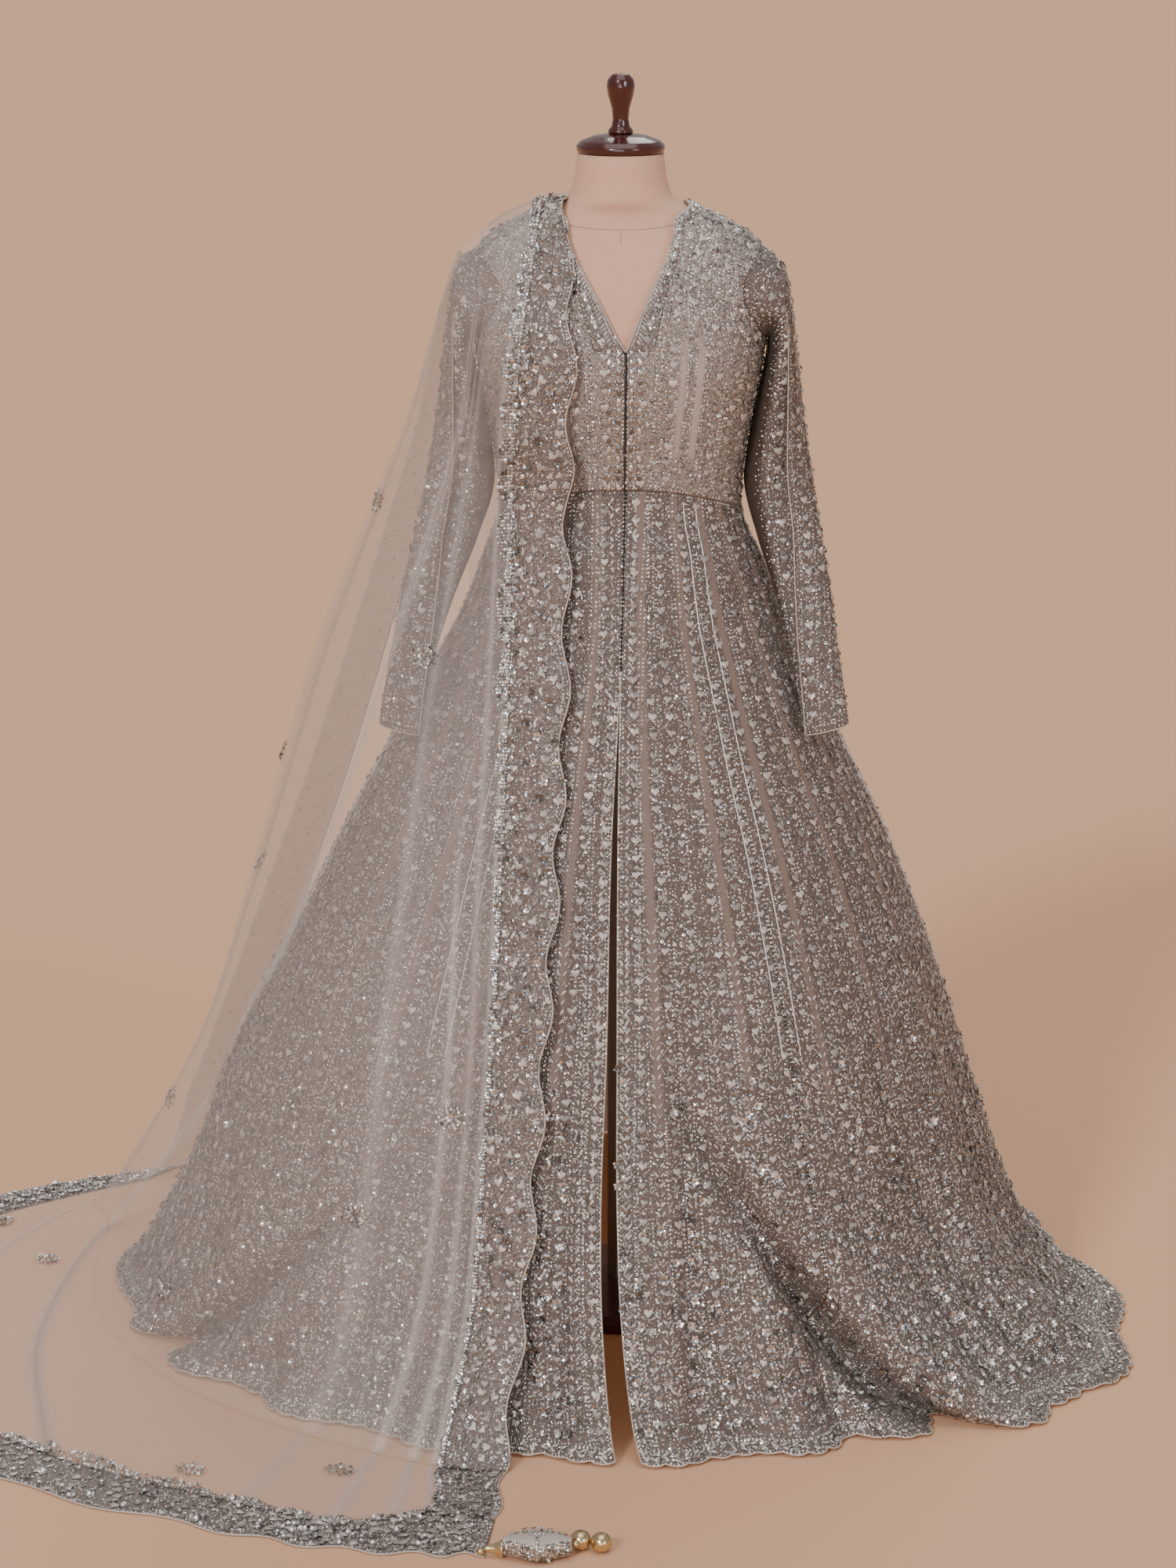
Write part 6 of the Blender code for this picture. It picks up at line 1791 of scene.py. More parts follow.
@dataclass
class Bodice(Part):
    """The bodice's two fronts and back, its neck bands and their embroidery."""

    bare: tuple[float, ...] = (0.235, 0.325)
    bare_start: float = 0.42
    bare_end: float = 0.88
    bare_half: float = 0.0040
    bare_reach: float = 0.042  # columns closer to a strip than this share stop beside it
    bare_beads: float = 0.0062  # from a strip's middle to the beads beside it
    neck_share: float = 0.5
    top: float = 0.01  # down the panels, where the columns begin
    low: float = 0.985
    column_count: int = 8
    heart_step: float = 0.0210
    double_gap: float = 0.0027
    sequin_step: float = 0.0098
    sequin_share: float = 0.48
    seed_step: float = 0.0070
    seed_step_behind: float = 0.0084
    paillette_step: float = 0.0125
    band_leaf: float = 0.0072

    def build(self) -> None:
        """Makes each piece with its embroidery."""
        left, right, back = bodice_front(1), bodice_front(-1), bodice_back()
        down = np.linspace(1, 0, 61)
        for i, (name, surface, columns, outward) in enumerate((
                ("bodice_front_left", left, 42, 1.0), ("bodice_front_right", right, 42, -1.0),
                ("bodice_back", back, 76, 1.0))):
            across = np.linspace(0, 1, columns + 1)
            points = grid_of(surface, across, down)
            weave = Weave(points, outward)
            marks = None if "back" in name else bare_marks(
                weave, self.bare, self.bare_end, self.bare_half, self.bare_start)
            cloth = bent_grid(name + "_cloth", points, WALL, (self.finishes.bodice, self.finishes.lining),
                              outward=outward, marks=marks, mark="bare")
            self.hang(name, cloth, weave, self.embroider(name, weave, 300 + i, "back" in name))
        self.bands(left, right, back)

    def embroider(self, name: str, weave: Weave, seed: int, whole: bool) -> Piece | None:
        """Columns of hearts and beads from the shoulder to the waist, and sequins and seed beads between."""
        sewn = self.start(name, seed)
        bare = () if whole else self.bare
        self.stitch_columns(sewn, weave, bare)
        u, v = weave.scatter(self.sequin_step, sewn.dice, self.top, 0.99)
        keep = sewn.dice.uniform(0, 1, len(u)) < self.sequin_share
        keep &= clear_of(weave, u, v, bare, self.bare_end, self.bare_half + 0.003, self.bare_start)
        sewn.sew("sequin", weave, u[keep], v[keep], (0.0030, 0.0052), tilt=0.28, lift=0.0008)
        u = weave.over_line(1.0, 0.0, 1.0, CLOSE_LINE)
        sewn.sew("bead", weave, np.clip(u, *WITHIN), 0.993, 0.0034)
        sewn.strew(weave, self.seed_step_behind if whole else self.seed_step, bare, self.bare_end,
                   self.bare_half, self.bare_start)
        if not whole:
            self.front_edge(sewn, weave, "left" in name)
        return self.finish(sewn)

    def stitch_columns(self, sewn: Embroidery, weave: Weave, bare: Sequence[float]) -> None:
        """Columns of hearts, and double lines of beads between them, that stop short of the bare strips."""
        dice, length = sewn.dice, float(weave.lengths[-1].mean())
        count = self.column_count if bare else 2 * self.column_count
        for k in range(count * 2 + 1):
            u = float(np.clip(k / count / 2, 0.01, 0.99))
            near = any(abs(u - place) < self.bare_reach for place in bare)
            if k % 2:
                v = weave.down_line(u, self.top + dice.uniform(0, 0.05), self.low, self.heart_step)
            else:
                v = weave.down_line(u, self.top, self.low, LONG_LINE)
            v = v[(v < self.bare_start) | (v > self.bare_end)] if near else v
            if k % 2:
                v = v + dice.uniform(-0.002, 0.002, len(v)) / length
                sewn.sew("heart", weave, u, v, (0.0095, 0.0125), sway=(-14, 14), tilt=0.10, lift=0.0003)
            else:
                for way in (-1, 1):
                    across = np.clip(u + way * (self.double_gap / weave.width(v)), *WITHIN)
                    sewn.sew("bead", weave, across, v, (0.0028, 0.0038), tilt=0.05)

    def front_edge(self, sewn: Embroidery, weave: Weave, upper: bool) -> None:
        """Beads beside a front's bare strips, a painted shadow line along the edge that lies over, and
        paillettes along the neck.

        Args:
            sewn: the front's embroidery.
            weave: the front.
            upper: gives it the dark cord of painted shadow along the edge that lies over.
        """
        for place in self.bare:
            for way in (-1, 1):
                v = weave.down_line(place, self.top, self.bare_end, 0.0046)
                sewn.sew("bead", weave, place + way * self.bare_beads / weave.width(v), v, 0.0034)
        if upper:
            # Painted shadow: a dark cord from half way down the edge that lies over to the waist.
            half_way = len(weave.points) // 2
            sewn.pipe(weave.under(np.s_[half_way:, 0], -0.0012), SHADOW_PIPE, Trim.SHADOW)
        for distance, turn in ((0.0045, 12), (0.0120, -12)):
            v = weave.down_line(0.0, self.neck_share, 0.995, self.paillette_step)
            sewn.sew("paillette", weave, distance / weave.width(v), v, (0.0085, 0.0105), turn=turn, tilt=0.06,
                     lift=0.0010)

    def bands(self, left: Surface, right: Surface, back: Surface) -> None:
        """The braided bands round the neck."""
        lift = LYING + BAND_WALL
        for name, surface, across, down, outward, more in (
                ("neckband_left", left, (0.0, 0.10), (1.0, HALF_WAY), 1.0, 0.0),
                ("neckband_right", right, (0.0, 0.10), (1.0, HALF_WAY), -1.0, 0.0),
                ("neckband_back", back, (NECK_FROM + 0.02, 1 - NECK_FROM - 0.02), (1.0, 0.95), 1.0, LYING)):
            whole = name.endswith("back")
            u, v = np.linspace(*across, 61 if whole else 9), np.linspace(*down, 7 if whole else 61)
            a, b = np.meshgrid(u, v)
            points = surface(a.ravel(), b.ravel()) + normals_of(surface, a.ravel(), b.ravel()) * (lift + more)
            points = points.reshape(*a.shape, 3)
            cloth = bent_grid(name + "_cloth", points, BAND_WALL, (self.finishes.border,),
                              outward=outward)
            weave = Weave(points, outward)
            self.hang(name, cloth, weave, self.braid(name, weave, whole))

    def braid(self, name: str, weave: Weave, whole: bool) -> Piece | None:
        """A band's two rows of leaves, in front with paillettes and beads beside them, and its piping."""
        sewn = self.start(name, 330)
        if whole:
            for v, turn in ((0.3, 40), (0.7, -40)):
                u = weave.over_line(v, 0.01, 0.99, LONG_LINE)
                sewn.sew("leaf", weave, u, v, self.band_leaf, turn=90 + turn, lift=0.0004)
            sewn.pipe(weave.under(0, PIPING_SUNK), BAND_PIPE)
            return self.finish(sewn)
        for u, turn in ((0.12, 35), (0.30, -35)):
            v = weave.down_line(u, 0.01, 0.97, CLOSE_LINE)
            sewn.sew("leaf", weave, u, v, self.band_leaf, turn=turn, lift=0.0004)
        v = weave.down_line(0.5, 0.01, 0.97, self.paillette_step)
        sewn.sew("paillette", weave, 0.62, v, 0.0090, lift=0.0008, tilt=0.05)
        v = weave.down_line(0.9, 0.01, 0.97, CLOSE_LINE)
        sewn.sew("bead", weave, 0.93, v, 0.0030)
        sewn.pipe(weave.under(np.s_[:, 0], PIPING_SUNK), BAND_PIPE)
        return self.finish(sewn)


@dataclass
class Sleeves(Part):
    """The two long sleeves, with a pressed crease in front and a piped cuff."""

    inner: tuple[float, float] = (0.58, 0.88)  # the hidden inner side, painted in shade, as shares of the way round
    column_count: int = 20
    long_end: float = 0.97
    short_end: float = 0.70
    heart_step: float = 0.0230
    sequin_step: float = 0.0125
    sequin_share: float = 0.6
    seed_step: float = 0.0074
    cuff_girth: float = 0.13  # metres round the cuff

    def build(self) -> None:
        """Makes each sleeve with its embroidery."""
        for i, (name, side) in enumerate((("sleeve_left", 1), ("sleeve_right", -1))):
            surface = sleeve(side)
            across = np.concatenate([np.linspace(0, FOLD_FROM, 41), np.linspace(0.815, CREASE_END, 12)])
            down = np.linspace(0, 1, 85)
            points = grid_of(surface, across, down)
            outward = float(side)
            closed = np.concatenate([points, points[:, :1]], axis=1)
            # Painted shade on the sleeve's inner side, fading in below the armhole.
            inside = smooth((np.append(across, 1.0) - self.inner[0]) / 0.06)
            inside = inside * smooth((self.inner[1] + 0.01 - np.append(across, 1.0)) / 0.03)
            cloth = bent_grid(name + "_cloth", closed, WALL, (self.finishes.gown, self.finishes.lining),
                              closed=True, outward=outward,
                              marks=np.outer(smooth(down / 0.1), inside), mark="shaded")
            weave = Weave(points, outward)
            self.hang(name, cloth, weave, self.embroider(name, weave, 400 + i), Weave(closed).area())

    def embroider(self, name: str, weave: Weave, seed: int) -> Piece | None:
        """Columns of hearts between lines of beads down the sleeve, and a bordered cuff."""
        sewn = self.start(name, seed)
        dice, (first, last) = sewn.dice, self.inner
        for k in range(self.column_count):
            u = 0.03 + 0.92 * k / (self.column_count - 1)
            end = self.long_end if k % 4 < 2 else self.short_end
            if first < u < last:
                continue
            if k % 2:
                v = weave.down_line(u, 0.03 + dice.uniform(0, 0.04), end, self.heart_step)
                sewn.sew("heart", weave, u, v, (0.0100, 0.0125), sway=(-10, 10), tilt=0.06, lift=0.0003)
            else:
                v = weave.down_line(u, 0.03, 0.99, LONG_LINE)
                sewn.sew("bead", weave, u, v, 0.0032)
        u, v = weave.scatter(self.sequin_step, dice, 0.02, 0.98)
        share = np.where((u > first) & (u < last), 0.0, self.sequin_share)
        keep = dice.uniform(0, 1, len(u)) < share
        sewn.sew("sequin", weave, u[keep] * 0.97 + 0.01, v[keep], (0.0035, 0.0060), tilt=0.28, lift=0.0008)
        sewn.strew(weave, self.seed_step, (sum(self.inner) / 2,), 1.0, (last - first) / 2 * self.cuff_girth)
        for v_at in (0.985, 0.995):
            u = weave.over_line(v_at, 0.01, 0.99, CLOSE_LINE)
            sewn.sew("bead", weave, u, v_at, 0.0030)
        sewn.pipe(weave.under(-1, 0.0008), BAND_PIPE)
        sewn.pipe(weave.under(np.s_[10:, 0], -0.0002), 0.0009)
        return self.finish(sewn)


@dataclass
class Dupatta(Part):
    """The sheer dupatta over one shoulder, with its embroidered borders."""

    shape: DrapeShape
    per_line: int = 14
    scallop_reach: float = 0.021
    scallop_length: float = 0.074
    scallop_pitch: float = 0.0044
    scallop_start: float = 0.0015
    scallop_least: float = 0.25  # the share of their reach that they have between two scallops
    bright_share: float = 0.25
    motif_step: float = 0.0135
    seed_step: float = 0.0080
    seed_step_low: float = 0.0074  # on the floor and at the ends
    seed_step_sheer: float = 0.022

    # The border's shapes: the share of places from and to which each has, its size and its tilt
    border_motifs = (("heart", 0.0, 0.34, 0.0115, 0.08), ("flower", 0.34, 0.60, 0.0115, 0.12),
                     ("sequin", 0.60, 0.86, 0.0062, 0.25), ("leaf", 0.86, 1.0, 0.0100, 0.1))
    # Creases in which the net lies double: place across the lines, width, and how far down each starts
    creases = ((1.5, 0.07, 0.5), (2.05, 0.06, 4.5), (4.0, 0.05, 0.5), (2.9, 0.03, 1.0), (5.05, 0.04, 1.0),
               (1.12, 0.05, 0.0))
    # Star flowers on the net, as shares of the way across and down each stretch
    sprays = {"dupatta_net_front": ((0.72, 0.415), (0.66, 0.80), (0.30, 0.72), (0.82, 0.93)),
              "dupatta_net_side": ((0.30, 0.33), (0.42, 0.52), (0.55, 0.63), (0.30, 0.86)),
              "dupatta_net_front_floor": ((0.45, 0.35), (0.75, 0.80)),
              "dupatta_net_side_floor": ((0.20, 0.30), (0.55, 0.55), (0.85, 0.35), (0.30, 0.85)),
              "dupatta_net_back": ((0.40, 0.45), (0.60, 0.80))}
    # Round each: the shape, how far out it is, its size, and how many degrees it is turned on
    spray_parts = (("leaf", 0.0100, 0.0105, 0.0), ("bead", 0.0125, 0.0046, 22.5),
                   ("sequin", 0.0165, 0.0050, 0.0))
    spray_wide, spray_long = 1.15, 0.85

    def build(self) -> None:
        """Makes each strip of the dupatta, on the gown and on the floor."""
        shape = self.shape
        whole = (float(len(shape.lines) - 1), float(shape.last))
        for i, (name, (first, last)) in enumerate(DRAPE_STRIPS.items()):
            surface = shape.edge if name == "border" else shape.point
            count = 10 if "border" in name else int((last - first) * self.per_line)
            for part, (top, low, rows) in {"": (0.0, float(shape.down), 128),
                                           "_floor": (float(shape.down), float(shape.last), 34)}.items():
                across, down = np.linspace(first, last, count + 1), np.linspace(top, low, rows + 1)
                self.strip("dupatta_" + name + part, surface, across, down, whole, 500 + i * 3 + bool(part))
        across = np.linspace(0, whole[0], 150)
        self.strip("dupatta_border_end", shape.end, across, np.linspace(0, 1, 9), (whole[0], 1.0), 530)
        last = len(BACK_FALL) - 1
        low = last - BACK_BORDER
        across, whole = np.linspace(0, BACK_LINES, 37), (BACK_LINES, last)
        self.strip("dupatta_net_back", shape.behind, across, np.linspace(0, low, 53), whole, 531)
        self.strip("dupatta_border_back", shape.behind, across, np.linspace(low, last, 12), whole, 532)

    def strip(self, name: str, surface: Surface, across: Array, down: Array, whole: tuple[float, float],
              seed: int) -> None:
        """One strip of the cloth, drawn in at its seams."""
        u, v = np.meshgrid(across, down)
        u, v = u.ravel(), v.ravel()
        step, p = WIDE_STEP, surface(u, v)
        a = unit(surface(np.minimum(u + step, whole[0]), v) - surface(np.maximum(u - step, 0), v))
        b = unit(surface(u, np.minimum(v + step, whole[1])) - surface(u, np.maximum(v - step, 0)))
        first = (u < across[0] + MERGE) * 1.0 - (u > across[-1] - MERGE)
        top = (v < down[0] + MERGE) * 1.0 - (v > down[-1] - MERGE)
        p = p + a * (HALF_SEAM * first)[:, None] + b * (HALF_SEAM * top)[:, None]
        points = p.reshape(len(down), len(across), 3)
        weave = Weave(points)
        away = np.where(points[..., 2:] < LOW + NEARLY, (0.0, 0.0, 1.0),
                        unit(points * (1, 1, 0) + (0.05, 0, 0)) + (0, 0, 0.6))
        outward = 1.0 if np.median(np.sum(weave.normals * away, -1)) > 0 else -1.0
        net, sheer = "net" in name, name == "dupatta_border_far"
        marks = self.folded(u, v).reshape(len(down), len(across)) if net and "back" not in name else None
        finish = self.finishes.net if net else self.finishes.selvedge if sheer else self.finishes.border
        cloth = bent_grid(name + "_cloth", points, NET_WALL if net else BORDER_WALL, (finish,),
                          outward=outward, marks=marks)
        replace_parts(cloth, name)
        weave = Weave(points, outward)
        sewn = self.stars(name, weave, seed) if net else self.embroider(name, weave, seed, sheer)
        declare(weave)

    def folded(self, across: Array, down: Array) -> Array:
        """How folded the net is at places on it: 1 along the middle of a crease."""
        out = np.zeros(len(across))
        for at, width, start in self.creases:
            out += np.exp(-((across - at) / width) ** 2) * smooth((down - start) / 0.8)
        return np.clip(out, 0, 1)

    def stars(self, name: str, weave: Weave, seed: int) -> Piece | None:
        """Small star flowers scattered over the net: a jewel, petals and leaves round each."""
        sewn = self.start(name, seed)
        for across, down in self.sprays.get(name, ()):
            sewn.sew("flower", weave, across, down, 0.0120, lift=0.0022, tilt=0.1)
            turns = np.arange(8) * 45.0 + 22.5
            for kind, reach, size, shift in self.spray_parts:
                angle = np.radians(turns + shift)
                aside = np.stack([self.spray_wide * reach * np.sin(angle),
                                  self.spray_long * reach * np.cos(angle)], -1)
                sewn.sew(kind, weave, across, np.full(len(turns), down), size, turn=-(turns + shift),
                         lift=0.0010, tilt=0.2, aside=aside)
        self.scallops(sewn, name, weave)
        return self.finish(sewn)

    def scallops(self, sewn: Embroidery, name: str, weave: Weave) -> None:
        """Beads in scallops on the net, along the border beside it.

        Args:
            sewn: the net's embroidery.
            name: the net's name.
            weave: the net.
        """
        length = float(weave.lengths[-1].mean())
        for distance in np.arange(self.scallop_start, self.scallop_reach, self.scallop_pitch):
            if name.endswith("_floor"):
                u = weave.over_line(1.0, 0.0, 1.0, self.scallop_pitch)
                inside = distance < self.reach(u * weave.width(1.0))
                self.scatter_on(sewn, weave, u[inside], np.full(inside.sum(), 1 - distance / length))
            if name.startswith("dupatta_net_front"):
                v = weave.down_line(0.0, 0.0, 1.0, self.scallop_pitch)
                inside = distance < self.reach(v * length)
                self.scatter_on(sewn, weave, distance / weave.width(v[inside]), v[inside])

    def reach(self, along: Array) -> Array:
        """How far the scallops reach onto the net."""
        wave = np.abs(np.sin(math.pi * along / self.scallop_length)) ** SCALLOP_ROUND
        return self.scallop_reach * (self.scallop_least + (1 - self.scallop_least) * wave)

    def scatter_on(self, sewn: Embroidery, weave: Weave, u: Array, v: Array) -> None:
        """Beads and a few sequins at places on the net."""
        bright = sewn.dice.uniform(0, 1, len(v)) < self.bright_share
        u = u + sewn.dice.uniform(-0.0012, 0.0012, len(v)) / weave.width(v)
        sewn.sew("bead", weave, u[~bright], v[~bright], (0.0032, 0.0046), tilt=0.1)
        sewn.sew("sequin", weave, u[bright], v[bright], 0.0058, tilt=0.25, lift=0.0006)

    def embroider(self, name: str, weave: Weave, seed: int, sheer: bool) -> Piece | None:
        """Dense flowers, hearts and sequins between lines of beads, and piping on the scalloped edge.

        Args:
            name: the strip's name.
            weave: its cloth.
            seed: the seed of its unevenness.
            sheer: strews it with few beads only.

        Returns:
            The embroidery.
        """
        sewn = self.start(name, seed)
        dice = sewn.dice
        if sheer:
            sewn.strew(weave, self.seed_step_sheer)
            sewn.pipe(weave.under(np.s_[:, -1], PIPING_SUNK), 0.0010)
            return self.finish(sewn)
        end = "end" in name or "back" in name
        u, v = weave.scatter(self.motif_step, dice, 0.01, 0.99)
        roll = dice.uniform(0, 1, len(u))
        for kind, low, high, size, tilt in self.border_motifs:
            keep = (roll >= low) & (roll < high)
            sewn.sew(kind, weave, u[keep] * 0.94 + 0.03, v[keep], size * dice.uniform(0.85, 1.15, keep.sum()),
                     sway=(-60, 60), tilt=tilt, lift=0.0006)
        seeds = self.seed_step_low if end or "floor" in name else self.seed_step
        u, v = weave.scatter(seeds, dice, 0.01, 0.99)
        sewn.sew("bead", weave, u, v, (0.0026, 0.0040), tilt=0.1)
        if end:
            for v_at in (0.93, 0.97):
                u = weave.over_line(v_at, *DOWN_ENDS, LONG_LINE)
                sewn.sew("bead", weave, u, v_at, 0.0032)
            sewn.pipe(weave.under(-1, PIPING_SUNK), EDGE_PIPE)
        else:
            outer = 1.0 if "far" in name else 0.0
            for distance in (0.0035, 0.0085):
                v = weave.down_line(outer, *DOWN_ENDS, LONG_LINE)
                u = distance / weave.width(v)
                sewn.sew("bead", weave, 1 - u if outer else u, v, 0.0032)
            side = -1 if outer else 0
            sewn.pipe(weave.under(np.s_[:, side], PIPING_SUNK), EDGE_PIPE)
        return self.finish(sewn)


@dataclass
class Form:
    """The limbless dress form, its turned cap and finial, and its stand."""

    finishes: Finishes
    frame: dict[str, object]
    cap_radius: float = 0.0560
    cap_height: float = 0.0235
    neck_top: float = 1.5260
    finial_top: float = 1.6250
    seam_front: float = 1.436
    seam_side: float = 1.461
    seam_down: float = 0.016
    cover_wall: float = 0.0015
    turned_steps: int = 64
    rounding: float = 0.0012
    rings: tuple[tuple[float, float], ...] = (
        (0.800, 0.024), (0.815, 0.012), (0.870, 0.0085), (0.960, 0.0085), (1.040, 0.0085), (1.100, 0.0085),
        (1.175, 0.0085), (1.250, 0.0085), (1.300, 0.0085), (1.345, 0.0080), (1.380, 0.0080), (1.405, 0.0085),
        (1.430, 0.0090), (1.4455, 0.0095), (1.4575, 0.0100))
    neck: tuple[tuple[float, float, float], ...] = (
        (0.0700, 0.0590, 1.4680), (0.0612, 0.0565, 1.4840), (0.0570, 0.0552, 1.5030),
        (0.0545, 0.0545, 1.5260))

    def build(self) -> None:
        """Makes the form, and finishes the solids that it keeps."""
        self.torso()
        cap = self.neck_top + SEAM
        r = self.cap_radius
        self.turn_wood("neck_cap", [(0, cap), (r - 0.002, cap), (r, cap + 0.004), (r, cap + 0.009),
                                    (r - 0.006, cap + 0.015), (0.034, cap + 0.021),
                                    (0.018, cap + self.cap_height), (0, cap + self.cap_height)])
        foot, top = cap + self.cap_height + SEAM, self.finial_top
        self.turn_wood("finial", [(0, foot), (0.0155, foot), (0.0160, foot + 0.004), (0.0115, foot + 0.009),
                                  (0.0100, foot + 0.018), (0.0115, foot + 0.032), (0.0160, foot + 0.047),
                                  (0.0178, foot + 0.058), (0.0165, foot + 0.067), (0.0105, top - 0.0012),
                                  (0, top)])
        for name, finish in (("stand_pole", self.finishes.steel), ("stand_foot", self.finishes.wood)):
            node = self.frame["nodes"][name]
            node.data.materials.clear()
            node.data.materials.append(finish)

    def torso(self) -> None:
        """The padded body and neck under its cloth cover."""
        angles = np.linspace(0, 360, 61)
        rows, level = [], np.ones(len(angles))
        for height, inset in self.rings:
            half, deep = body_ring(angles, height)
            rows.append((*oval(angles, half - inset, deep - inset, BODY_SQUARE), height * level))
        for wide, deep, height in self.neck:
            rows.append((*oval(angles, wide, deep, 1.0), height * level))
        rows = np.moveaxis(np.array(rows), 1, -1)
        fine = Table(np.column_stack([np.arange(len(rows)), rows.reshape(len(rows), -1)]))
        at = np.linspace(0, len(rows) - 1, (len(rows) - 1) * 2 + 1)
        points = np.stack([fine.at(k + 1, at) for k in range(rows[0].size)], -1)
        points = points.reshape(len(at), *rows[0].shape)
        points[:, -1] = points[:, 0]
        made = bent_grid("form_cover", points[::-1], self.cover_wall, (self.finishes.cover,),
                         closed=True)
        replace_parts(made, "form_torso")
        self.neck_seam(points)

    def neck_seam(self, points: Array) -> None:
        """The seam where the neck is set on, dipping in front, and a short seam down from it.

        Args:
            points: the form's outside, from the lowest ring to the highest.
        """
        columns = points.shape[1]
        angles = np.linspace(0, 360, columns)
        dip = np.maximum(0, -np.sin(np.radians(angles))) ** 2
        heights = self.seam_side + (self.seam_front - self.seam_side) * dip

        def on_form(column: int, height: float) -> list[float]:
            line = points[:, column]
            return [float(np.interp(height, line[:, 2], line[:, k])) for k in range(3)]

        ring = np.array([on_form(k, h) for k, h in enumerate(heights)])
        front = int(np.argmin(np.abs(angles - 270)))
        levels = np.linspace(self.seam_front, self.seam_front - self.seam_down, 6)
        down = np.array([on_form(front, h) for h in levels])
        sewn = Embroidery("form_neck_seam", {}, 0)
        for path in (ring, down):
            outwards = unit(path * (1, 1, 0))
            sewn.pipe(path - outwards * 0.0003, 0.0006, Trim.SHADOW)
        sewn.make(self.finishes.trims()[:-1] + [self.finishes.seam])

    def turn_wood(self, name: str, profile: Sequence[tuple[float, float]]) -> None:
        """A turned wooden piece: radius and height pairs, ending on the axis."""
        outline = [(r, 0, z) for r, z in profile]
        mesh = turned_skin(name + "_turned", outline, (0, 0, 0), (0, 0, 1), self.turned_steps, self.rounding)
        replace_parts(placed(mesh, (self.finishes.wood,)), name)


class Studio:
    """The floor, the lights and the camera."""

    ground = (0.716, 0.437, 0.276)
    floor_half = 40
    around = (0.38, 0.345, 0.33)  # the world's light
    seen = (0.782, 0.452, 0.284)  # the world behind the floor's far edge
    camera_place = (-0.041, -5.2, 2.0)
    camera_tilt = 76.0435
    lens_length = 94.188
    sensor_width = 36.0
    far_enough = 300
    # Lights: name, the side that each comes from, how soft it is in degrees, its power and colour
    lamps = (("key", (-0.50, -1.0, 0.62), 10, 1.60, (1.0, 0.98, 0.97)),
             ("front", (-0.10, -1.0, -0.04), 30, 0.95, (1.0, 0.98, 0.98)),
             ("fill", (0.80, -1.0, 0.36), 16, 0.55, (0.93, 0.95, 1.0)),
             ("back", (0.2, 1.0, 0.9), 30, 0.7, (1.0, 0.97, 0.94)),
             ("top", (0.0, -0.10, 1.0), 50, 0.85, (1.0, 0.97, 0.95)))

    def build(self) -> None:
        """Sets the stage round the gown."""
        bm = bmesh.new()
        bmesh.ops.create_grid(bm, x_segments=2, y_segments=2, size=self.floor_half)
        floor = linked("floor", mesh_of("floor", bm))
        paint = bpy.data.materials.new("floor_paint")
        paint.use_nodes = True
        shader = paint.node_tree.nodes["Principled BSDF"]
        shader.inputs["Base Color"].default_value = (*self.ground, 1)
        shader.inputs["Roughness"].default_value = 0.95
        shader.inputs["Specular IOR Level"].default_value = 0.0
        floor.data.materials.append(paint)
        world = bpy.data.worlds.new("studio")
        world.use_nodes = True
        tree = world.node_tree
        straight = add_node(tree, "ShaderNodeLightPath").outputs["Is Camera Ray"]
        tree.links.new(mixed(tree, straight, self.around, self.seen), tree.nodes["Background"].inputs[0])
        bpy.context.scene.world = world
        for name, way, soft, power, colour in self.lamps:
            self.light(name, way, soft, power, colour)
        self.camera()

    def light(self, name: str, way: tuple[float, float, float], soft: float, power: float,
              colour: Colour) -> None:
        """A soft light from far away, as even on the floor as on the gown."""
        lamp = bpy.data.lights.new(name, "SUN")
        lamp.angle, lamp.energy, lamp.color = math.radians(soft), power, colour
        linked(name, lamp).rotation_euler = (-Vector(way)).to_track_quat("-Z", "Y").to_euler()

    def camera(self) -> None:
        """The camera at the photograph's viewing angle."""
        lens = bpy.data.cameras.new("camera")
        lens.lens = self.lens_length
        lens.sensor_width, lens.sensor_fit = self.sensor_width, "AUTO"
        lens.clip_end = self.far_enough
        made = linked("camera", lens)
        made.location = self.camera_place
        made.rotation_euler = (math.radians(self.camera_tilt), 0, 0)
        bpy.context.scene.camera = made


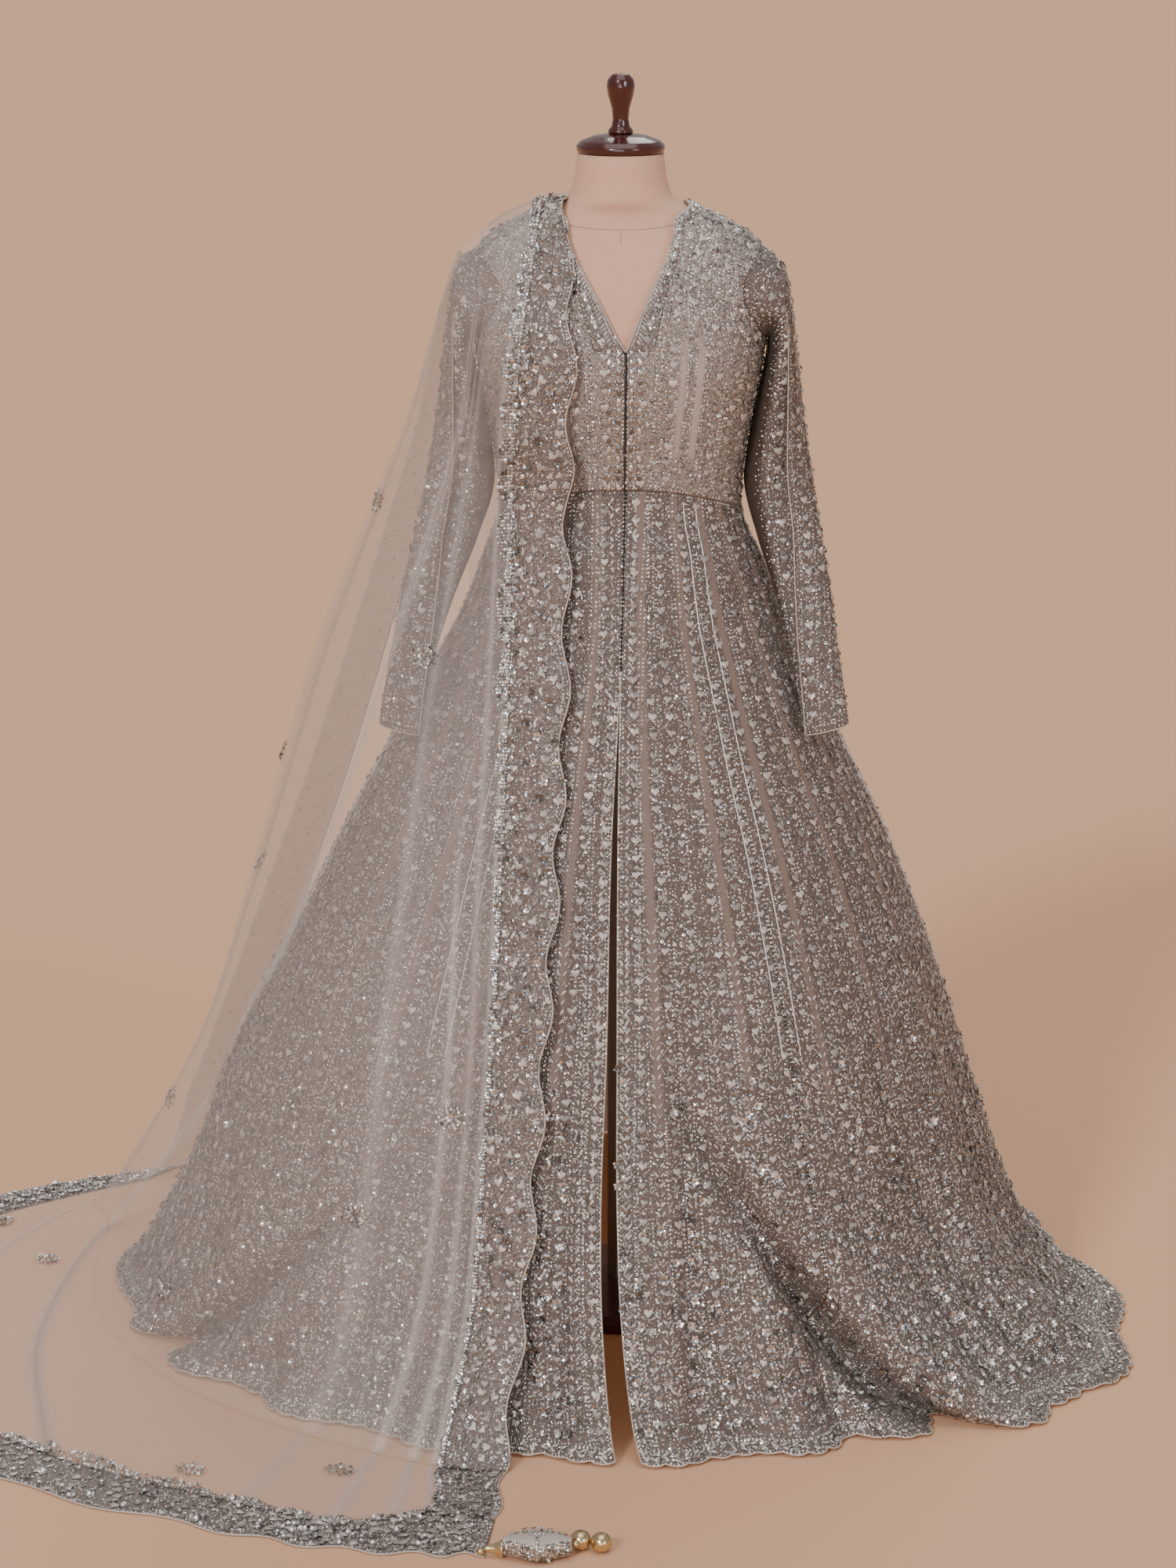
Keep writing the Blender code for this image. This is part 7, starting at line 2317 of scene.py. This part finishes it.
@dataclass
class Tassel(Part):
    """The corner tassel: beads, cone, stuffed diamond and two balls, along +X on the floor."""

    tip: float = 0.0070
    thinning: float = 0.32
    squareness: float = 0.62
    band_rise: float = 0.075
    band_rows: tuple[float, float, float] = (0.445, 0.64, 0.0185)
    band_step: float = 0.0027
    # The jewelled spray: its beads' places along the diamond in two rows, and how far round the rows lie
    spray_upper: tuple[float, ...] = (0.32, 0.38, 0.44, 0.50, 0.56, 0.62, 0.68)
    spray_lower: tuple[float, ...] = (0.41, 0.47, 0.53, 0.59)
    spray_at: float = 0.205
    line_beads: int = 14
    rows: int = 41
    columns: int = 48
    ribs: int = 20
    rib_depth: float = 0.035
    cone_steps: int = 36
    cone_profile: tuple[Span, ...] = ((0.0, 0.0), (0.0, 0.33), (0.10, 0.38), (0.45, 0.52), (0.80, 0.80),
                                      (0.90, 0.99), (0.97, 1.0), (1.0, 0.92), (1.0, 0.0))

    def build(self) -> None:
        """Turns the small gilt parts and sews the stuffed diamond."""
        for name in ("tassel_bead_1", "tassel_bead_2", "tassel_ball_1", "tassel_ball_2"):
            self.ball(name)
        self.cone()
        self.puff()

    def ball(self, name: str) -> None:
        """A ball with fine ribs from end to end."""
        low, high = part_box(name)
        middle, radius = (low + high) / 2, (high.z - low.z) / 2
        bm = bmesh.new()
        bmesh.ops.create_uvsphere(bm, u_segments=40, v_segments=18, radius=radius)
        for v in bm.verts:
            turn = math.atan2(v.co.y, v.co.x)
            v.co = v.co * (1 - self.rib_depth * abs(math.sin(turn * self.ribs / 2)))
            v.co = Vector((v.co.z, v.co.y, -v.co.x)) + middle
        bmesh.ops.recalc_face_normals(bm, faces=bm.faces)
        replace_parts(placed(mesh_of(name + "_gilt", bm), (self.finishes.gilt,)), name)

    def cone(self) -> None:
        """The cone cap, with a rolled rim."""
        low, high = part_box("tassel_cone")
        middle, radius = (low + high) / 2, (high.z - low.z) / 2
        length = high.x - low.x
        outline = [(low.x + length * a, middle.y, middle.z + radius * r) for a, r in self.cone_profile]
        mesh = turned_skin("tassel_cone_gilt", outline, middle, (1, 0, 0), self.cone_steps)
        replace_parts(placed(mesh, (self.finishes.gilt,)), "tassel_cone")

    def puff(self) -> None:
        """The stuffed diamond: its edges trimmed with sequins, a jewelled spray on its top."""
        low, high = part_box("tassel_puff")
        middle = (low + high) / 2
        half = (high - low) / 2
        t = np.concatenate([[-1.0], np.linspace(-1, 1, self.rows - 1), [1.0]])
        turn = np.linspace(0, 2 * math.pi, self.columns + 1)
        a, b = np.meshgrid(turn, np.abs(t))
        shut = np.ones(len(t))
        shut[[0, -1]] = 0.0
        wide = (self.tip + (half.y - self.tip) * (1 - b)) * shut[:, None]
        thick = half.z * (1 - self.thinning * b * b) * shut[:, None]
        points = np.stack([middle.x + half.x * np.meshgrid(turn, t)[1],
                           middle.y + wide * signed_power(np.cos(a), self.squareness),
                           middle.z + thick * signed_power(np.sin(a), self.squareness)], -1)
        points[:, -1] = points[:, 0]
        made = bent_grid("tassel_puff_cloth", points, 0.0, (self.finishes.satin,), closed=True,
                         outward=-1.0)
        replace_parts(made, "tassel_puff")
        weave = Weave(points[1:-1], -1.0)
        sewn = self.start("tassel_puff", 600)
        for row in np.arange(*self.band_rows):
            v = weave.down_line(row, 0.02, 0.98, self.band_step)
            u = row - self.band_rise * np.abs(2 * v - 1)
            sewn.sew("sequin", weave, u, v, (0.0026, 0.0036), tilt=0.3, lift=0.0003)
        spray_v = np.array(self.spray_upper + self.spray_lower)
        spray_u = self.spray_at + np.where(np.arange(len(spray_v)) < len(self.spray_upper), 0.0, 0.045)
        sewn.sew("flower", weave, spray_u[:7:2], spray_v[:7:2], 0.0085, tilt=0.1, lift=0.0022)
        sewn.sew("bead", weave, spray_u, spray_v, 0.0048, tilt=0.1, lift=0.0010)
        for way in (-1, 1):
            v = 0.5 + way * np.linspace(0.14, 0.42, self.line_beads)
            sewn.sew("bead", weave, 0.180, v, 0.0034, lift=0.0006)
        for across in (-0.008, 0.012):
            u = np.linspace(0.25, 0.43, self.line_beads)
            sewn.sew("bead", weave, u, 0.5 + across, 0.0032, lift=0.0006)
        self.finish(sewn)


def gown_tree(frame: dict[str, object]) -> BVHTree:
    """The faces of the form, the bodice and the sleeves.

    Args:
        frame: the loaded frame.

    Returns:
        A tree of them, to keep the dupatta clear.
    """
    bm = bmesh.new()
    for name, node in frame["nodes"].items():
        if name.startswith(("bodice", "neckband", "sleeve", "form")):
            bm.from_mesh(node.data)
    bmesh.ops.triangulate(bm, faces=bm.faces)
    tree = BVHTree.FromBMesh(bm)
    bm.free()
    return tree


def main() -> None:
    """Builds the gown, its dupatta, the form and the studio, in order."""
    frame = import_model()
    Studio().build()
    finishes = Finishes()
    motifs = make_motifs()
    for part in (Form(finishes, frame), Skirt(finishes, motifs), Bodice(finishes, motifs),
                 Sleeves(finishes, motifs), Dupatta(finishes, motifs, DrapeShape(gown_tree(frame))),
                 Tassel(finishes, motifs)):
        part.build()
        log.info("%s is built", type(part).__name__)


if __name__ == "__main__":
    main()
